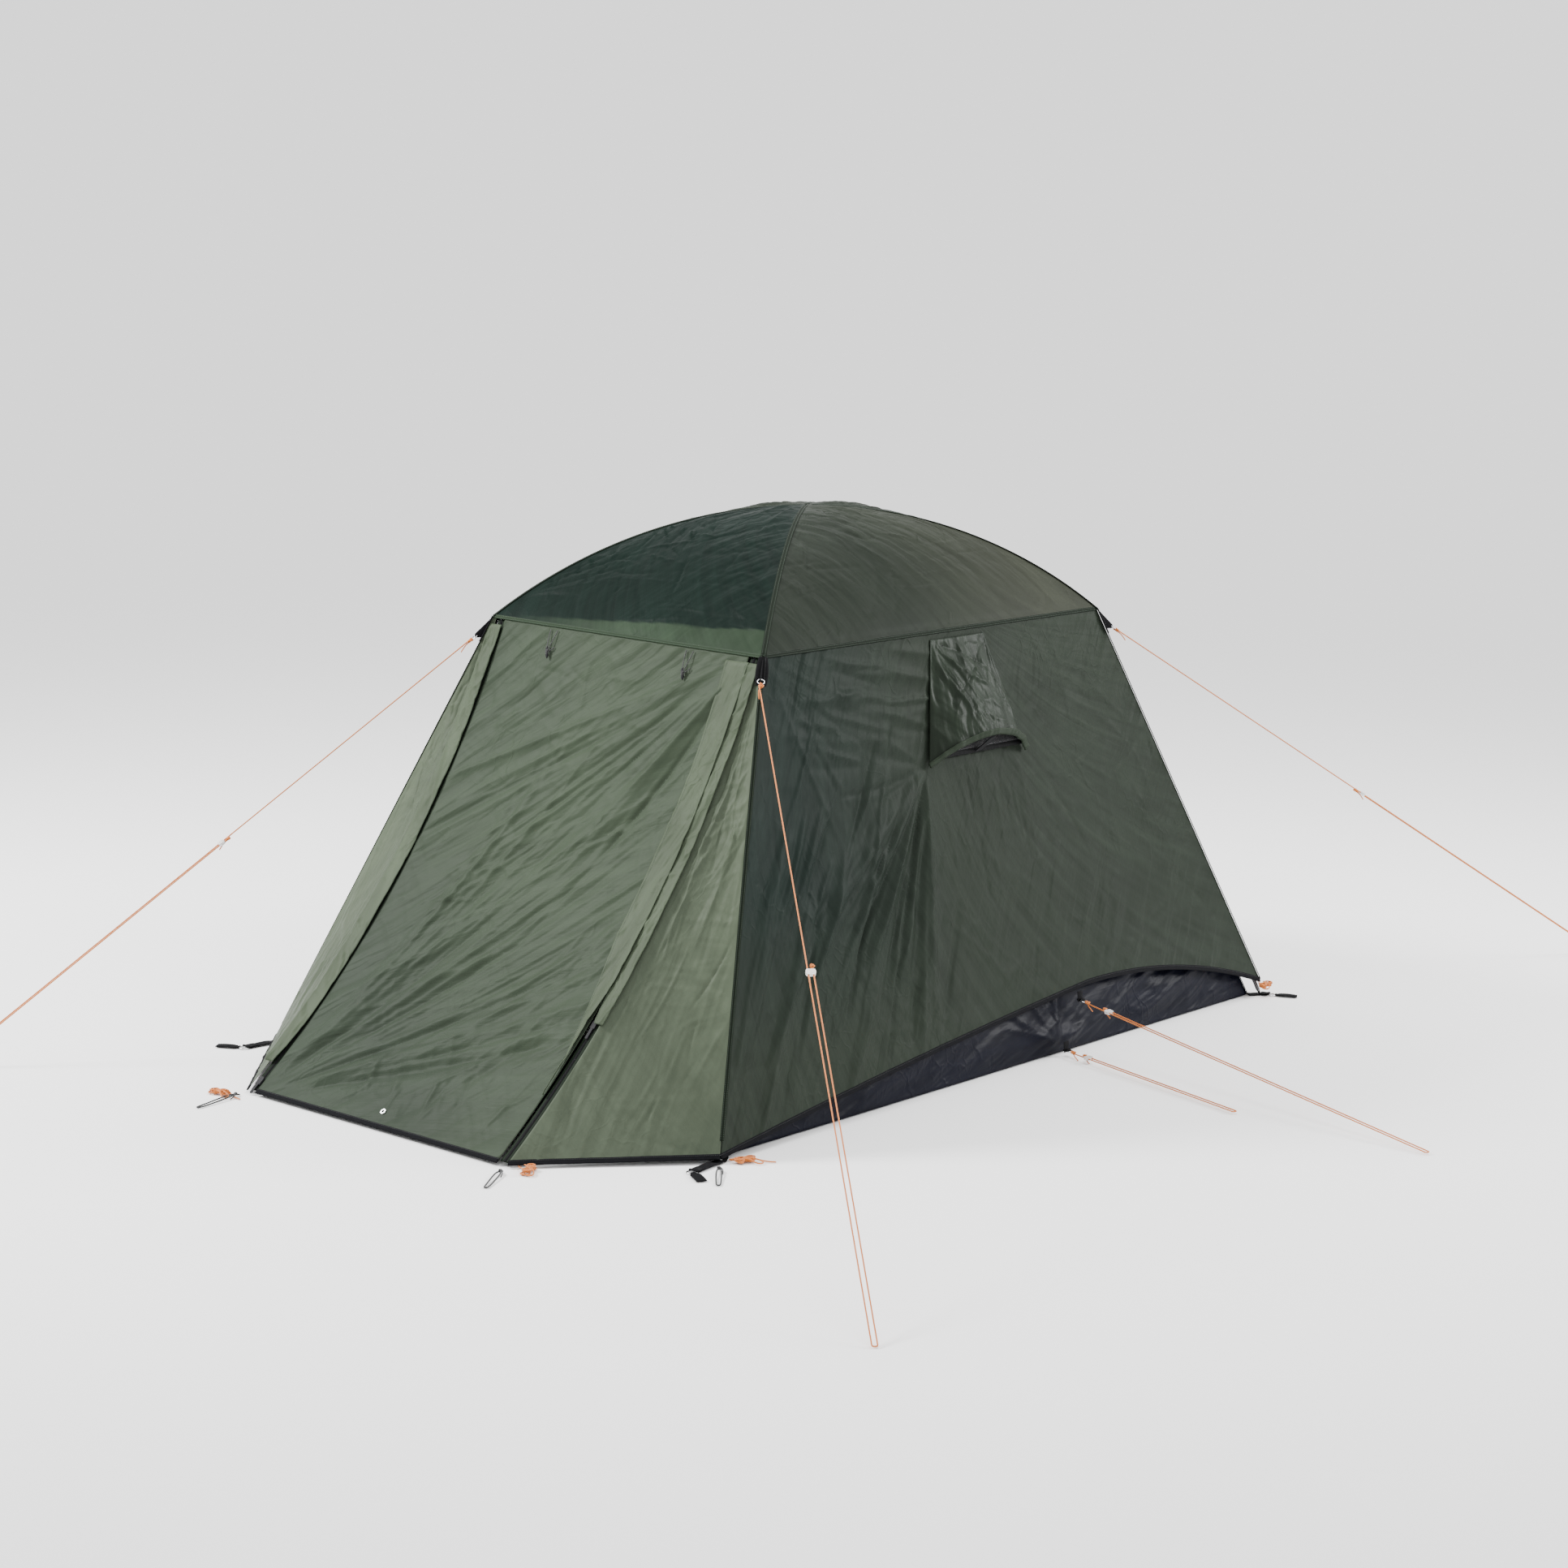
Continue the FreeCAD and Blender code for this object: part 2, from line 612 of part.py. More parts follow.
def crown_clip():
    """Plastic block that holds the two bows where they cross."""
    radius = num("dims.pole_radius + dims.fit_clearance")
    top = num("dims.crown_height - (dims.pole_radius + dims.pole_cover) + dims.pole_radius") + 1.3
    height = num("2 * dims.pole_radius + (2 * dims.pole_radius + dims.bow_gap)") + 1.3 + num("dims.clip_wall")
    side = 32
    box = solid("Part::Box", "crown_block")
    box.Length = side
    box.Width = side
    box.Height = height
    turn = Rotation(Vector(0, 0, 1), 90 - DIAGONAL / 2)
    box.Placement = Placement(Vector(0, 0, top - height), turn).multiply(Placement(Vector(-side / 2, -side / 2, 0), Rotation()))
    bores = []
    for corner in ("back_right", "front_right"):
        level = num("dims.crown_height - (dims.pole_radius + dims.pole_cover)") - POLE_DROPS[corner]
        start = diagonal_direction(corner) * -side + Vector(0, 0, level)
        bore = solid("Part::Cylinder", f"crown_bore_{corner}")
        bore.Radius = radius
        bore.Height = 2 * side
        bore.Placement = Placement(start, Rotation(Vector(0, 0, 1), diagonal_direction(corner)))
        bores.append(bore)
    keep("crown_clip", cut(box, fuse(bores, "crown_bores"), "crown_clip"))


LEG_CLIP_HEIGHTS = (300, 560, 820)
ROOF_CLIP_ANGLES = (68, 80)


def clip(name, upright, centre, along, inward, strap):
    """Clip-on hook round a pole with a short strap down to the inner tent."""
    place = upright.multiply(Placement(centre - along * num("dims.clip_width / 2"), Rotation(Vector(0, 0, 1), along)))
    collar = solid("Part::Cylinder", f"{name}_collar", place, Height="dims.clip_width",
                   Radius="dims.pole_radius + dims.fit_clearance + dims.clip_wall")
    bore = solid("Part::Cylinder", f"{name}_bore", place, Height="dims.clip_width",
                 Radius="dims.pole_radius + dims.fit_clearance")
    wall = num("dims.clip_wall")
    start = num("dims.pole_radius + dims.fit_clearance") + wall / 2
    across = frame_of(centre + inward * start, inward, along)
    corner = Placement(Vector(0, -num("dims.clip_width / 2"), -wall / 2), Rotation())
    tail = solid("Part::Box", f"{name}_strap", upright.multiply(across).multiply(corner),
                 Width="dims.clip_width", Height="dims.clip_wall")
    tail.Length = strap - start
    return fuse([cut(collar, bore, f"{name}_hook"), tail], name)


def pole_clips():
    """Every clip that hangs the inner tent from the poles."""
    clips = []
    reach = num("dims.inner_depth - (dims.pole_radius + dims.pole_cover)") - 1
    for corner in CORNERS:
        drop = POLE_DROPS[corner]
        radius, _, _, leg_angle, _, _, down = pole_route(drop)
        upright = diagonal_frame(corner)
        inward = Vector(-math.cos(math.radians(leg_angle)), -math.sin(math.radians(leg_angle)), 0)
        for height in LEG_CLIP_HEIGHTS:
            centre = Vector(leg_outward(height, num("(dims.pole_radius + dims.pole_cover)")), height, 0)
            clips.append(clip(f"leg_clip_{corner}_{height}", upright, centre, down, inward, reach))
        for angle in ROOF_CLIP_ANGLES:
            turn = math.radians(angle)
            outward = Vector(math.cos(turn), math.sin(turn), 0)
            centre = Vector(0, ROOF_CENTRE_Z, 0) + outward * radius
            along = Vector(-outward.y, outward.x, 0)
            clips.append(clip(f"roof_clip_{corner}_{angle}", upright, centre, along, outward * -1, reach - drop))
    group("pole_clips", clips)


# ---------------------------------------------------------------- inner tent

def inner_corner(depth):
    """Plan reach and height of the inner tent's shoulder, a depth inside roof and leg alike."""
    radius = num(ROOF_RADIUS) - depth
    run, rise = num(f"dims.foot_reach - {HALF_DIAGONAL}"), num("dims.shoulder_height")
    low, high = 0.0, rise
    for _ in range(60):
        middle = (low + high) / 2
        reach = leg_outward(middle, depth)
        if math.hypot(reach, middle - ROOF_CENTRE_Z) > radius:
            high = middle
        else:
            low = middle
    return leg_outward(low, depth), low


def frustum(name, depth, bottom, top, extra=0.0):
    """Four-sided block between two heights whose corners follow the legs at a depth."""
    low, high = leg_outward(bottom, depth), leg_outward(top, depth)
    x_share, y_share = num(ALONG_X), num(ALONG_Y)
    block = DOC.addObject("Part::Wedge", name)
    block.Xmin, block.Xmax = -low * x_share, low * x_share
    block.Zmin, block.Zmax = -low * y_share, low * y_share
    block.X2min, block.X2max = -high * x_share, high * x_share
    block.Z2min, block.Z2max = -high * y_share, high * y_share
    block.Ymin, block.Ymax = bottom, top + extra
    block.Placement = Placement(Vector(0, 0, 0), Rotation(Vector(1, 0, 0), 90))
    return block


def floor_tray():
    """Bathtub floor: groundsheet with raised sides."""
    depth = num("dims.inner_depth")
    skin = num("dims.floor_skin")
    top = num("dims.tub_height")
    outside = frustum("floor_outside", depth, 0, top)
    inside = frustum("floor_inside", depth + skin, skin, top + 1)
    keep("floor_tray", cut(outside, inside, "floor_tray"))


def inner_volume(name, depth, bottom, overlap):
    """Space under the inner tent's fabric: leaning walls and a vaulted roof."""
    _, shoulder = inner_corner(depth)
    walls = frustum(f"{name}_walls", depth, bottom, shoulder)
    span = f"2 * dims.shoulder_y"
    vault = common([
        vault_solid(f"{depth}", "Y", span, f"{name}_vault_x"),
        vault_solid(f"{depth}", "X", span, f"{name}_vault_y"),
    ], f"{name}_vault")
    lid = DOC.addObject("Part::Box", f"{name}_lid")
    reach = num("2 * dims.shoulder_y")
    lid.Length, lid.Width, lid.Height = reach, reach, reach
    lid.Placement = Placement(Vector(-reach / 2, -reach / 2, shoulder - overlap), Rotation())
    return fuse([walls, common([vault, lid], f"{name}_roof")], name)


def inner_front_frame():
    """Placement on the inner tent's front wall: X to the right, Y up the slope, Z outwards."""
    depth = num("dims.inner_depth")
    share = num(ALONG_Y)
    low = Vector(0, -leg_outward(0, depth) * share, 0)
    high = Vector(0, -leg_outward(100, depth) * share, 100)
    return frame_of(low, (1, 0, 0), high - low)


def inner_door_outline(inset):
    """Horseshoe door outline on the front wall: straight sill, one round top."""
    half, sill, top = "dims.inner_door_half_width", "dims.inner_door_sill", "dims.inner_door_top"
    return [
        (f"-{half} + {inset}", f"{sill} + {inset}"),
        (f"{half} - {inset}", f"{sill} + {inset}", "0", f"{top} - {inset}"),
    ]


INNER_ARC_RADIUS = "((dims.inner_door_half_width^2 + (dims.inner_door_top - dims.inner_door_sill)^2)" \
                   " / (2 * (dims.inner_door_top - dims.inner_door_sill)))"
INNER_ARC_LEVEL = f"(dims.inner_door_top - {INNER_ARC_RADIUS})"


def inner_seams(shoulder):
    """Thin slabs that part the inner tent into panels: upright over the four hips, level at the eaves."""
    reach = num("4 * dims.shoulder_y")
    gap = num("dims.seam_gap")
    corner = math.degrees(math.atan2(num(ALONG_Y), num(ALONG_X)))
    slabs = []
    for name, angle in (("hip_seam_rising", corner), ("hip_seam_falling", -corner)):
        turn = Rotation(Vector(0, 0, 1), angle)
        place = Placement(turn.multVec(Vector(-reach / 2, -gap / 2, 0)), turn)
        slabs.append(solid("Part::Box", name, place, Length="4 * dims.shoulder_y", Width="dims.seam_gap",
                           Height="dims.crown_height"))
    level = Placement(Vector(-reach / 2, -reach / 2, shoulder - gap), Rotation())
    slabs.append(solid("Part::Box", "inner_eave_seam", level, Length="4 * dims.shoulder_y",
                       Width="4 * dims.shoulder_y", Height="dims.seam_gap"))
    return slabs


def inner_canopy():
    """Breathable inner tent above the floor: its front wall with the doorway, three more walls and four roof gores."""
    depth = num("dims.inner_depth")
    bottom = num("dims.tub_height")
    skin = num("dims.skin")
    outside = inner_volume("canopy_outside", depth, bottom, 0)
    inside = inner_volume("canopy_inside", depth + skin, bottom - 1, 0.5)
    shell = cut(outside, inside, "canopy_shell")
    doorway = panel("doorway", inner_door_outline("0"), "12 * dims.skin", inner_front_frame(), symmetric=True)
    _, shoulder = inner_corner(depth)
    openings = fuse([doorway, *inner_seams(shoulder)], "canopy_openings")
    panels = cut(shell, openings, "canopy_panels")
    front = panel("canopy_front_space", [("0", "0"), (f"-2 * {FOOT_X}", f"-2 * {FOOT_Y}"), (f"2 * {FOOT_X}", f"-2 * {FOOT_Y}")],
                  f"{shoulder} - dims.seam_gap / 2", reverse=False)
    keep("inner_front", common([panels, front], "inner_front"))
    keep("inner_canopy", cut(panels, front, "inner_canopy"))


def inner_door():
    """Inner door panel, which drops inwards about its sill."""
    keep("inner_door", panel("inner_door", inner_door_outline("dims.seam_gap"), "dims.skin", inner_front_frame()))


def inner_zip():
    """Zip round the top of the inner doorway, and its slider."""
    place = inner_front_frame()
    centre = place.multVec(Vector(0, num(INNER_ARC_LEVEL), 0))
    radius = num(INNER_ARC_RADIUS)
    start = math.degrees(math.asin(num(f"(dims.inner_door_sill - {INNER_ARC_LEVEL}) / {INNER_ARC_RADIUS}"))) + 2
    turned = Placement(centre, place.Rotation.multiply(Rotation(Vector(0, 0, 1), start)))
    outer = solid("Part::Cylinder", "inner_zip_outside", turned, Height="dims.tape_thickness",
                  Radius=f"{INNER_ARC_RADIUS} + 2 + dims.inner_zip_width")
    inner = solid("Part::Cylinder", "inner_zip_inside", turned, Height="dims.tape_thickness",
                  Radius=f"{INNER_ARC_RADIUS} + 2")
    for disc in (outer, inner):
        disc.Angle = 180 - 2 * start
    keep("inner_zip", cut(outer, inner, "inner_zip"))
    lift = num("dims.tape_thickness + dims.fit_clearance + 0.2")
    body_place = Placement(centre, place.Rotation.multiply(Rotation(Vector(0, 0, 1), start + 1.5)))
    reach = radius + 2 + num("dims.inner_zip_width / 2")
    slider = panel("inner_zip_slider", [
        (f"{reach} - 5", "0"), (f"{reach} + 5", "0"), (f"{reach} + 4", "14", f"{reach}", "17"), (f"{reach} - 4", "14"),
    ], "dims.zip_slider_height", body_place.multiply(Placement(Vector(0, 0, lift), Rotation())), reverse=False)
    keep("inner_zip_slider", slider)


# ---------------------------------------------------------------- porch door furniture

ZIP_SLIDER_SHARES = {"right": 0.30, "left": 0.035}


def zip_sliders():
    """Metal slider with its pull, one on each porch zip."""
    for side, share in ZIP_SLIDER_SHARES.items():
        sign = 1 if side == "right" else -1
        angle = DOOR_SWEEP * share
        middle = num("(dims.door_half_width + dims.porch_half_width - dims.skin) / 2")
        lift = num("dims.tape_depth - dims.fit_clearance")
        point = door_point(angle, lift, sign * middle)
        up = door_point(angle + 1, lift) - door_point(angle, lift)
        place = frame_of(point, (1, 0, 0), up)
        wide, long = "dims.zip_slider_width / 2", "dims.zip_slider_length / 2"
        saddle = panel(f"zip_saddle_{side}", [
            (f"-{wide}", f"-{long}"), (wide, f"-{long}"), (wide, f"{long} * 0.4", "0", long), (f"-{wide}", f"{long} * 0.4"),
        ], "dims.zip_slider_height", place, reverse=False)
        lower = Placement(Vector(0, 0, num("dims.zip_slider_height") - 1.6), Rotation())
        pull = panel(f"zip_pull_{side}", [
            ("-3.5", f"-{long} - 24", "0", f"-{long} - 28"), ("3.5", f"-{long} - 24"), ("3.5", f"-{long} + 2"), ("-3.5", f"-{long} + 2"),
        ], "1.6", place.multiply(lower), reverse=False)
        keep(f"zip_slider_{side}", fuse([saddle, pull], f"zip_slider_{side}"))


TOGGLE_ANGLE_BELOW = 1.2


def toggles():
    """Toggle bars that hold the rolled door, hung on short loops below its top seam."""
    for side, sign in (("right", 1), ("left", -1)):
        x = sign * num("dims.toggle_spread")
        angle = DOOR_SWEEP - TOGGLE_ANGLE_BELOW
        rise = num("-dims.toggle_radius - dims.fit_clearance - 1.2")
        point = door_point(angle, rise, x)
        down = door_point(angle - 1, rise) - door_point(angle, rise)
        bar = solid("Part::Cylinder", f"toggle_bar_{side}", Placement(point, Rotation(Vector(0, 0, 1), down)),
                    Radius="dims.toggle_radius", Height="dims.toggle_length")
        rounded = DOC.addObject("Part::Fillet", f"tie_toggle_{side}")
        rounded.Base = bar
        DOC.recompute()
        rounded.Edges = [(index + 1, 1.5, 1.5) for index, edge in enumerate(bar.Shape.Edges) if edge.Closed]
        keep(f"tie_toggle_{side}", rounded)


def door_eyelet():
    """Small metal eyelet through the middle of the door's foot."""
    angle = door_angle_at(34)
    point = door_point(angle, -1.2)
    outward = door_point(angle, 0) - door_point(angle, 1)
    place = Placement(point, Rotation(Vector(0, 0, 1), outward))
    rim = solid("Part::Cylinder", "eyelet_rim", place)
    hole = solid("Part::Cylinder", "eyelet_hole", place)
    rim.Radius, hole.Radius = 7, 3.2
    rim.Height, hole.Height = 1, 1
    keep("door_eyelet", cut(rim, hole, "door_eyelet"))


# ---------------------------------------------------------------- roof vent

def side_wall_point(along, up, out=0):
    """Point on the right wall: distance behind the middle, distance up the slope, distance outwards."""
    slope = num(SIDE_SLOPE)
    up_x, up_z = num(f"(dims.shoulder_x - {FOOT_X})") / slope, num("dims.shoulder_height") / slope
    return Vector(num(FOOT_X) + up * up_x + out * up_z, along, up * up_z - out * up_x)


def vent():
    """Hood over the side vent, its mesh and the hinged strut that props it open."""
    middle = num("dims.vent_middle")
    top, lip = num("dims.vent_top") - 6, num("dims.vent_lip")
    clear = 1.2
    top_half, lip_half = num("dims.vent_top_half_width"), num("dims.vent_lip_half_width")
    upper = Part.LineSegment(side_wall_point(middle - top_half, top, clear), side_wall_point(middle + top_half, top, clear))
    lip_arc = Part.Arc(
        side_wall_point(middle - lip_half, lip, clear),
        side_wall_point(middle, lip + num("dims.vent_lip_rise"), num("dims.vent_lip_stand_out")),
        side_wall_point(middle + lip_half, lip, clear))
    face = Part.makeRuledSurface(upper.toShape(), lip_arc.toShape())
    outward = (side_wall_point(0, 0, 1) - side_wall_point(0, 0, 0)) * 1.0
    feature("vent_hood", face.extrude(outward * num("dims.skin")))
    mesh_margin = 22
    mesh = [
        (f"dims.vent_middle - dims.vent_lip_half_width + {mesh_margin}", f"dims.vent_lip + {mesh_margin}"),
        (f"dims.vent_middle + dims.vent_lip_half_width - {mesh_margin}", f"dims.vent_lip + {mesh_margin}"),
        (f"dims.vent_middle + dims.vent_top_half_width - {mesh_margin}", f"dims.vent_top - 3 * {mesh_margin}"),
        (f"dims.vent_middle - dims.vent_top_half_width + {mesh_margin}", f"dims.vent_top - 3 * {mesh_margin}"),
    ]
    origin = side_wall_point(0, 0, 0.2)
    place = frame_of(origin, (0, 1, 0), side_wall_point(0, 1, 0.2) - origin)
    keep("vent_mesh", panel("vent_mesh", mesh, "0.8", place, reverse=False))
    foot = side_wall_point(middle, lip + 14, 2.6)
    tip = side_wall_point(middle, lip + 40, num("dims.vent_lip_stand_out") - 7)
    length = (tip - foot).Length
    strut_place = frame_of(foot, (0, 1, 0), tip - foot)
    wide = "dims.strut_width / 2"
    keep("vent_strut", panel("vent_strut", [
        (f"-{wide}", "0"), (wide, "0"), (wide, f"{length} - 6", "0", f"{length}"), (f"-{wide}", f"{length} - 6"),
    ], "dims.strut_thickness", strut_place, symmetric=True))


# ---------------------------------------------------------------- corner tackle

FRONT_STRAP_TURN = -84
FRONT_TAB_TURN = -30
REAR_STRAP_TURN = 25
REAR_TAB_TURN = 28


def turned(angle, side):
    """Plan direction at an angle from +X for the right-hand side, mirrored for the left."""
    turn = math.radians(angle)
    return Vector(side * math.cos(turn), math.sin(turn), 0)


def flat_strip(name, start, direction, length, width="dims.webbing_width"):
    """Webbing strip flat on the ground from a start point."""
    across = Vector(0, 0, 1).cross(direction)
    origin = start - across * num(f"{width} / 2")
    strip = solid("Part::Box", name, frame_of(origin, direction, across), Width=width, Height="dims.webbing_thickness")
    strip.Length = length
    return strip


def corner_tackle():
    """Webbing from each floor corner past the pole's foot to a ring, with a pull tab beyond it."""
    straps, rings = [], []
    for corner, (side, end) in CORNERS.items():
        outward = diagonal_direction(corner)
        floor = outward * (leg_outward(0, num("dims.inner_depth")) + 1)
        foot = outward * leg_outward(0, num("(dims.pole_radius + dims.pole_cover)"))
        front = end < 0
        direction = turned(FRONT_STRAP_TURN if front else REAR_STRAP_TURN, side)
        tab_direction = turned(FRONT_TAB_TURN if front else REAR_TAB_TURN, side)
        length = num("dims.front_strap_length" if front else "dims.rear_strap_length")
        pad = solid("Part::Cylinder", f"grommet_pad_{corner}", Placement(foot, Rotation()),
                    Radius="dims.webbing_width / 2", Height="dims.webbing_thickness")
        pieces = [
            flat_strip(f"floor_strap_{corner}", floor, outward, (foot - floor).Length),
            flat_strip(f"ring_strap_{corner}", foot, direction, length),
            pad,
        ]
        straps.append(fuse(pieces, f"corner_strap_{corner}"))
        ring_out = num("dims.ring_radius + dims.ring_wire")
        centre = foot + direction * (length + ring_out + 0.2) + Vector(0, 0, num("dims.ring_wire"))
        rings.append(solid("Part::Torus", f"ring_{corner}", Placement(centre, Rotation()),
                           Radius1="dims.ring_radius", Radius2="dims.ring_wire"))
        tab_start = centre + tab_direction * (ring_out + 0.2)
        tab_start.z = 0
        tab = flat_strip(f"pull_tab_{corner}", tab_start, tab_direction, num("dims.pull_tab_length"))
        straps.append(tab)
    group("corner_straps", straps)
    group("corner_rings", rings)


def loop_shape(start, end, width, radius):
    """Closed round-ended loop of elastic cord between two points on the ground."""
    along = (end - start).normalize()
    across = Vector(0, 0, 1).cross(along) * (width / 2)
    corners = [start + across, end + across, end - across, start - across]
    path = Part.Wire([
        Part.LineSegment(corners[0], corners[1]).toShape(),
        Part.Arc(corners[1], end + along * (width / 2), corners[2]).toShape(),
        Part.LineSegment(corners[2], corners[3]).toShape(),
        Part.Arc(corners[3], start - along * (width / 2), corners[0]).toShape(),
    ])
    profile = Part.Wire([Part.Circle(corners[0], along, radius).toShape()])
    return path.makePipeShell([profile], True, False)


PEG_LOOP_ENDS = (
    ((742, -1128), (818, -1218)),
    ((428, -1474), (484, -1578)),
    ((-414, -1474), (-399, -1606)),
)


def peg_loops():
    """Elastic loops for the ground pegs at the porch corners and the front right corner."""
    radius, width = num("dims.peg_loop_wire"), num("dims.peg_loop_width")
    loops = []
    for index, (start, end) in enumerate(PEG_LOOP_ENDS):
        lift = Vector(0, 0, radius)
        item = DOC.addObject("Part::Feature", f"peg_loop_{index}")
        item.Shape = loop_shape(Vector(*start, 0) + lift, Vector(*end, 0) + lift, width, radius)
        loops.append(item)
    group("peg_loops", loops)


# ---------------------------------------------------------------- guy lines

GUY_PEGS = {
    "front_right": (1683, -1771),
    "front_left": (-1060, -1800),
    "back_right": (1115, 2196),
    "side_hem": (1776, 84),
    "side_floor": (1288, 54),
}
GUY_LOCK_SHARES = {"front_right": 0.485, "front_left": 0.485, "back_right": 0.485, "side_hem": 0.07, "side_floor": 0.1}
SIDE_LOOPS = {"side_hem": (697, 272, 124), "side_floor": (717, 194, 14)}


def gusset_tip(corner):
    """Eye of the webbing gusset below a shoulder, in its upright plane."""
    height = num("dims.shoulder_height - dims.gusset_drop")
    return leg_outward(height) + num("dims.gusset_reach"), height


def guy_gussets():
    """Webbing gusset below each shoulder and loop tabs on the side hem and floor side."""
    tabs = []
    for corner in CORNERS:
        reach, height = gusset_tip(corner)
        upright = diagonal_frame(corner)
        top = num("dims.shoulder_height - 4")
        outline = [
            (f"{leg_outward(top) + 2.8}", f"{top}"),
            (f"{leg_outward(height) + 3}", f"{height - 6}"),
            (f"{reach + 2}", f"{height - 6}", f"{reach + 6}", f"{height}"),
            (f"{reach + 2}", f"{height + 6}"),
        ]
        plate = panel(f"gusset_plate_{corner}", outline, "dims.gusset_thickness", upright, symmetric=True)
        eye = upright.multiply(Placement(Vector(reach, height, -num("dims.skin")), Rotation()))
        hole = solid("Part::Cylinder", f"gusset_eye_{corner}", eye, Height="2 * dims.skin", Radius="2 * dims.guy_ring_wire")
        tabs.append(cut(plate, hole, f"gusset_{corner}"))
    for name, (x, y, z) in SIDE_LOOPS.items():
        for side in (1, -1):
            box = solid("Part::Box", f"tab_{name}_{side}", Height="0.8 * dims.webbing_width", Width="dims.skin")
            box.Length = 14
            box.Placement = Placement(Vector(side * x - 7, y - 1.5, z - 6), Rotation())
            hole = solid("Part::Cylinder", f"tab_hole_{name}_{side}", Height="3 * dims.skin", Radius="2 * dims.guy_ring_wire")
            hole.Placement = Placement(Vector(side * (x + 2), y + 4.5, z), Rotation(Vector(1, 0, 0), 90))
            tabs.append(cut(box, hole, f"loop_tab_{name}_{side}"))
    group("guy_gussets", tabs)


def guy_eye(name):
    """Point where a guy line's ring hangs in its gusset or tab."""
    if name in CORNERS:
        reach, height = gusset_tip(name)
        return diagonal_frame(name).multVec(Vector(reach, height, 0))
    x, y, z = SIDE_LOOPS[name]
    return Vector(x + 2, y, z)


def guy_course(name):
    """Ring centre, knot, bight centre, line direction and sideways direction of a guy line."""
    eye = guy_eye(name)
    lift = num("2 * dims.guy_radius") + 2.6
    bight = Vector(*GUY_PEGS[name], lift)
    along = (bight - eye).normalize()
    sideways = along.cross(Vector(0, 0, 1)).normalize()
    ring = eye + along * num("dims.guy_ring_radius")
    knot = eye + along * num("2 * dims.guy_ring_radius + dims.guy_ring_wire + dims.guy_radius + 1")
    return ring, knot, bight, along, sideways


def guy_rings():
    """Wire ring in each gusset and tab; the left hem and floor tabs carry none."""
    rings = []
    for name in list(GUY_PEGS) + ["back_left"]:
        if name in GUY_PEGS:
            ring, _, _, along, sideways = guy_course(name)
        else:
            along = (diagonal_direction(name) + Vector(0, 0, -1)).normalize()
            sideways = along.cross(Vector(0, 0, 1)).normalize()
            ring = guy_eye(name) + along * num("dims.guy_ring_radius")
        rings.append(solid("Part::Torus", f"guy_ring_{name}", frame_of(ring, along, sideways),
                           Radius1="dims.guy_ring_radius", Radius2="dims.guy_ring_wire"))
    group("guy_rings", rings)


def guy_lines():
    """Taut guy lines: down to the peg's loop, round it and back up to the line lock."""
    radius = num("dims.guy_radius")
    bight_radius = num("dims.guy_bight_radius")
    for name in GUY_PEGS:
        _, knot, bight, along, sideways = guy_course(name)
        length = (bight - knot).Length
        share = GUY_LOCK_SHARES[name]
        start = knot + sideways * bight_radius
        first = bight + sideways * bight_radius
        last = bight - sideways * bight_radius
        end = last - along * (length * (1 - share) + num("dims.line_lock_length"))
        path = Part.Wire([
            Part.LineSegment(start, first).toShape(),
            Part.Arc(first, bight + along * bight_radius, last).toShape(),
            Part.LineSegment(last, end).toShape(),
        ])
        tube = path.makePipeShell([Part.Wire([Part.Circle(start, along, radius).toShape()])], True, False)
        expected = math.pi * radius ** 2 * path.Length
        print(f"guy_line_{name}: length {path.Length:.0f} mm, bight radius {bight_radius}, "
              f"volume {tube.Volume:.0f} of {expected:.0f}, low {tube.BoundBox.ZMin:.2f}")
        feature(f"guy_line_{name}", tube)


def line_locks():
    """Small sliding lock that joins the doubled part of each guy line."""
    for name in GUY_PEGS:
        _, knot, bight, along, sideways = guy_course(name)
        length = (bight - knot).Length
        centre = knot + along * (length * GUY_LOCK_SHARES[name])
        place = frame_of(centre, sideways, along)
        wide, long = "dims.line_lock_width / 2", "dims.line_lock_length / 2"
        block = panel(f"lock_block_{name}", [
            (f"-{wide} + 3", f"-{long}"), (f"{wide} - 3", f"-{long}", wide, "0"), (f"{wide} - 3", long),
            (f"-{wide} + 3", long, f"-{wide}", "0"),
        ], "dims.line_lock_height", place, symmetric=True)
        bores = []
        for sign in (1, -1):
            offset = Vector(sign * num("dims.guy_bight_radius"), -num("dims.line_lock_length"), 0)
            bore_place = place.multiply(Placement(offset, Rotation(Vector(0, 0, 1), Vector(0, 1, 0))))
            bores.append(solid("Part::Cylinder", f"lock_bore_{name}_{sign}", bore_place,
                               Radius="dims.guy_radius + dims.fit_clearance + 0.2", Height="2 * dims.line_lock_length"))
        keep(f"line_lock_{name}", cut(block, fuse(bores, f"lock_bores_{name}"), f"line_lock_{name}"))


HANKS = {
    "front_right": ((748, -1050, 0), 72),
    "porch_right": ((470, -1436, 0), 115),
    "porch_left": ((-452, -1500, 0), 20),
    "back_right": ((727, 1078, 24), 95),
}
HANK_LENGTH = 42
HANK_WIDTH = 24
HANK_THICKNESS = 13


def cord_hanks():
    """Spare cord folded into a small hank at four corners."""
    for name, ((x, y, z), angle) in HANKS.items():
        place = Placement(Vector(x, y, z), Rotation(Vector(0, 0, 1), angle))
        half, wide = HANK_LENGTH / 2, HANK_WIDTH / 2
        outline = [
            (f"-{half - wide}", f"-{wide}"), (f"{half - wide}", f"-{wide}", f"{half}", "0"),
            (f"{half - wide}", f"{wide}"), (f"-{half - wide}", f"{wide}", f"-{half}", "0"),
        ]
        keep(f"cord_hank_{name}", panel(f"cord_hank_{name}", outline, f"{HANK_THICKNESS}", place, reverse=False))


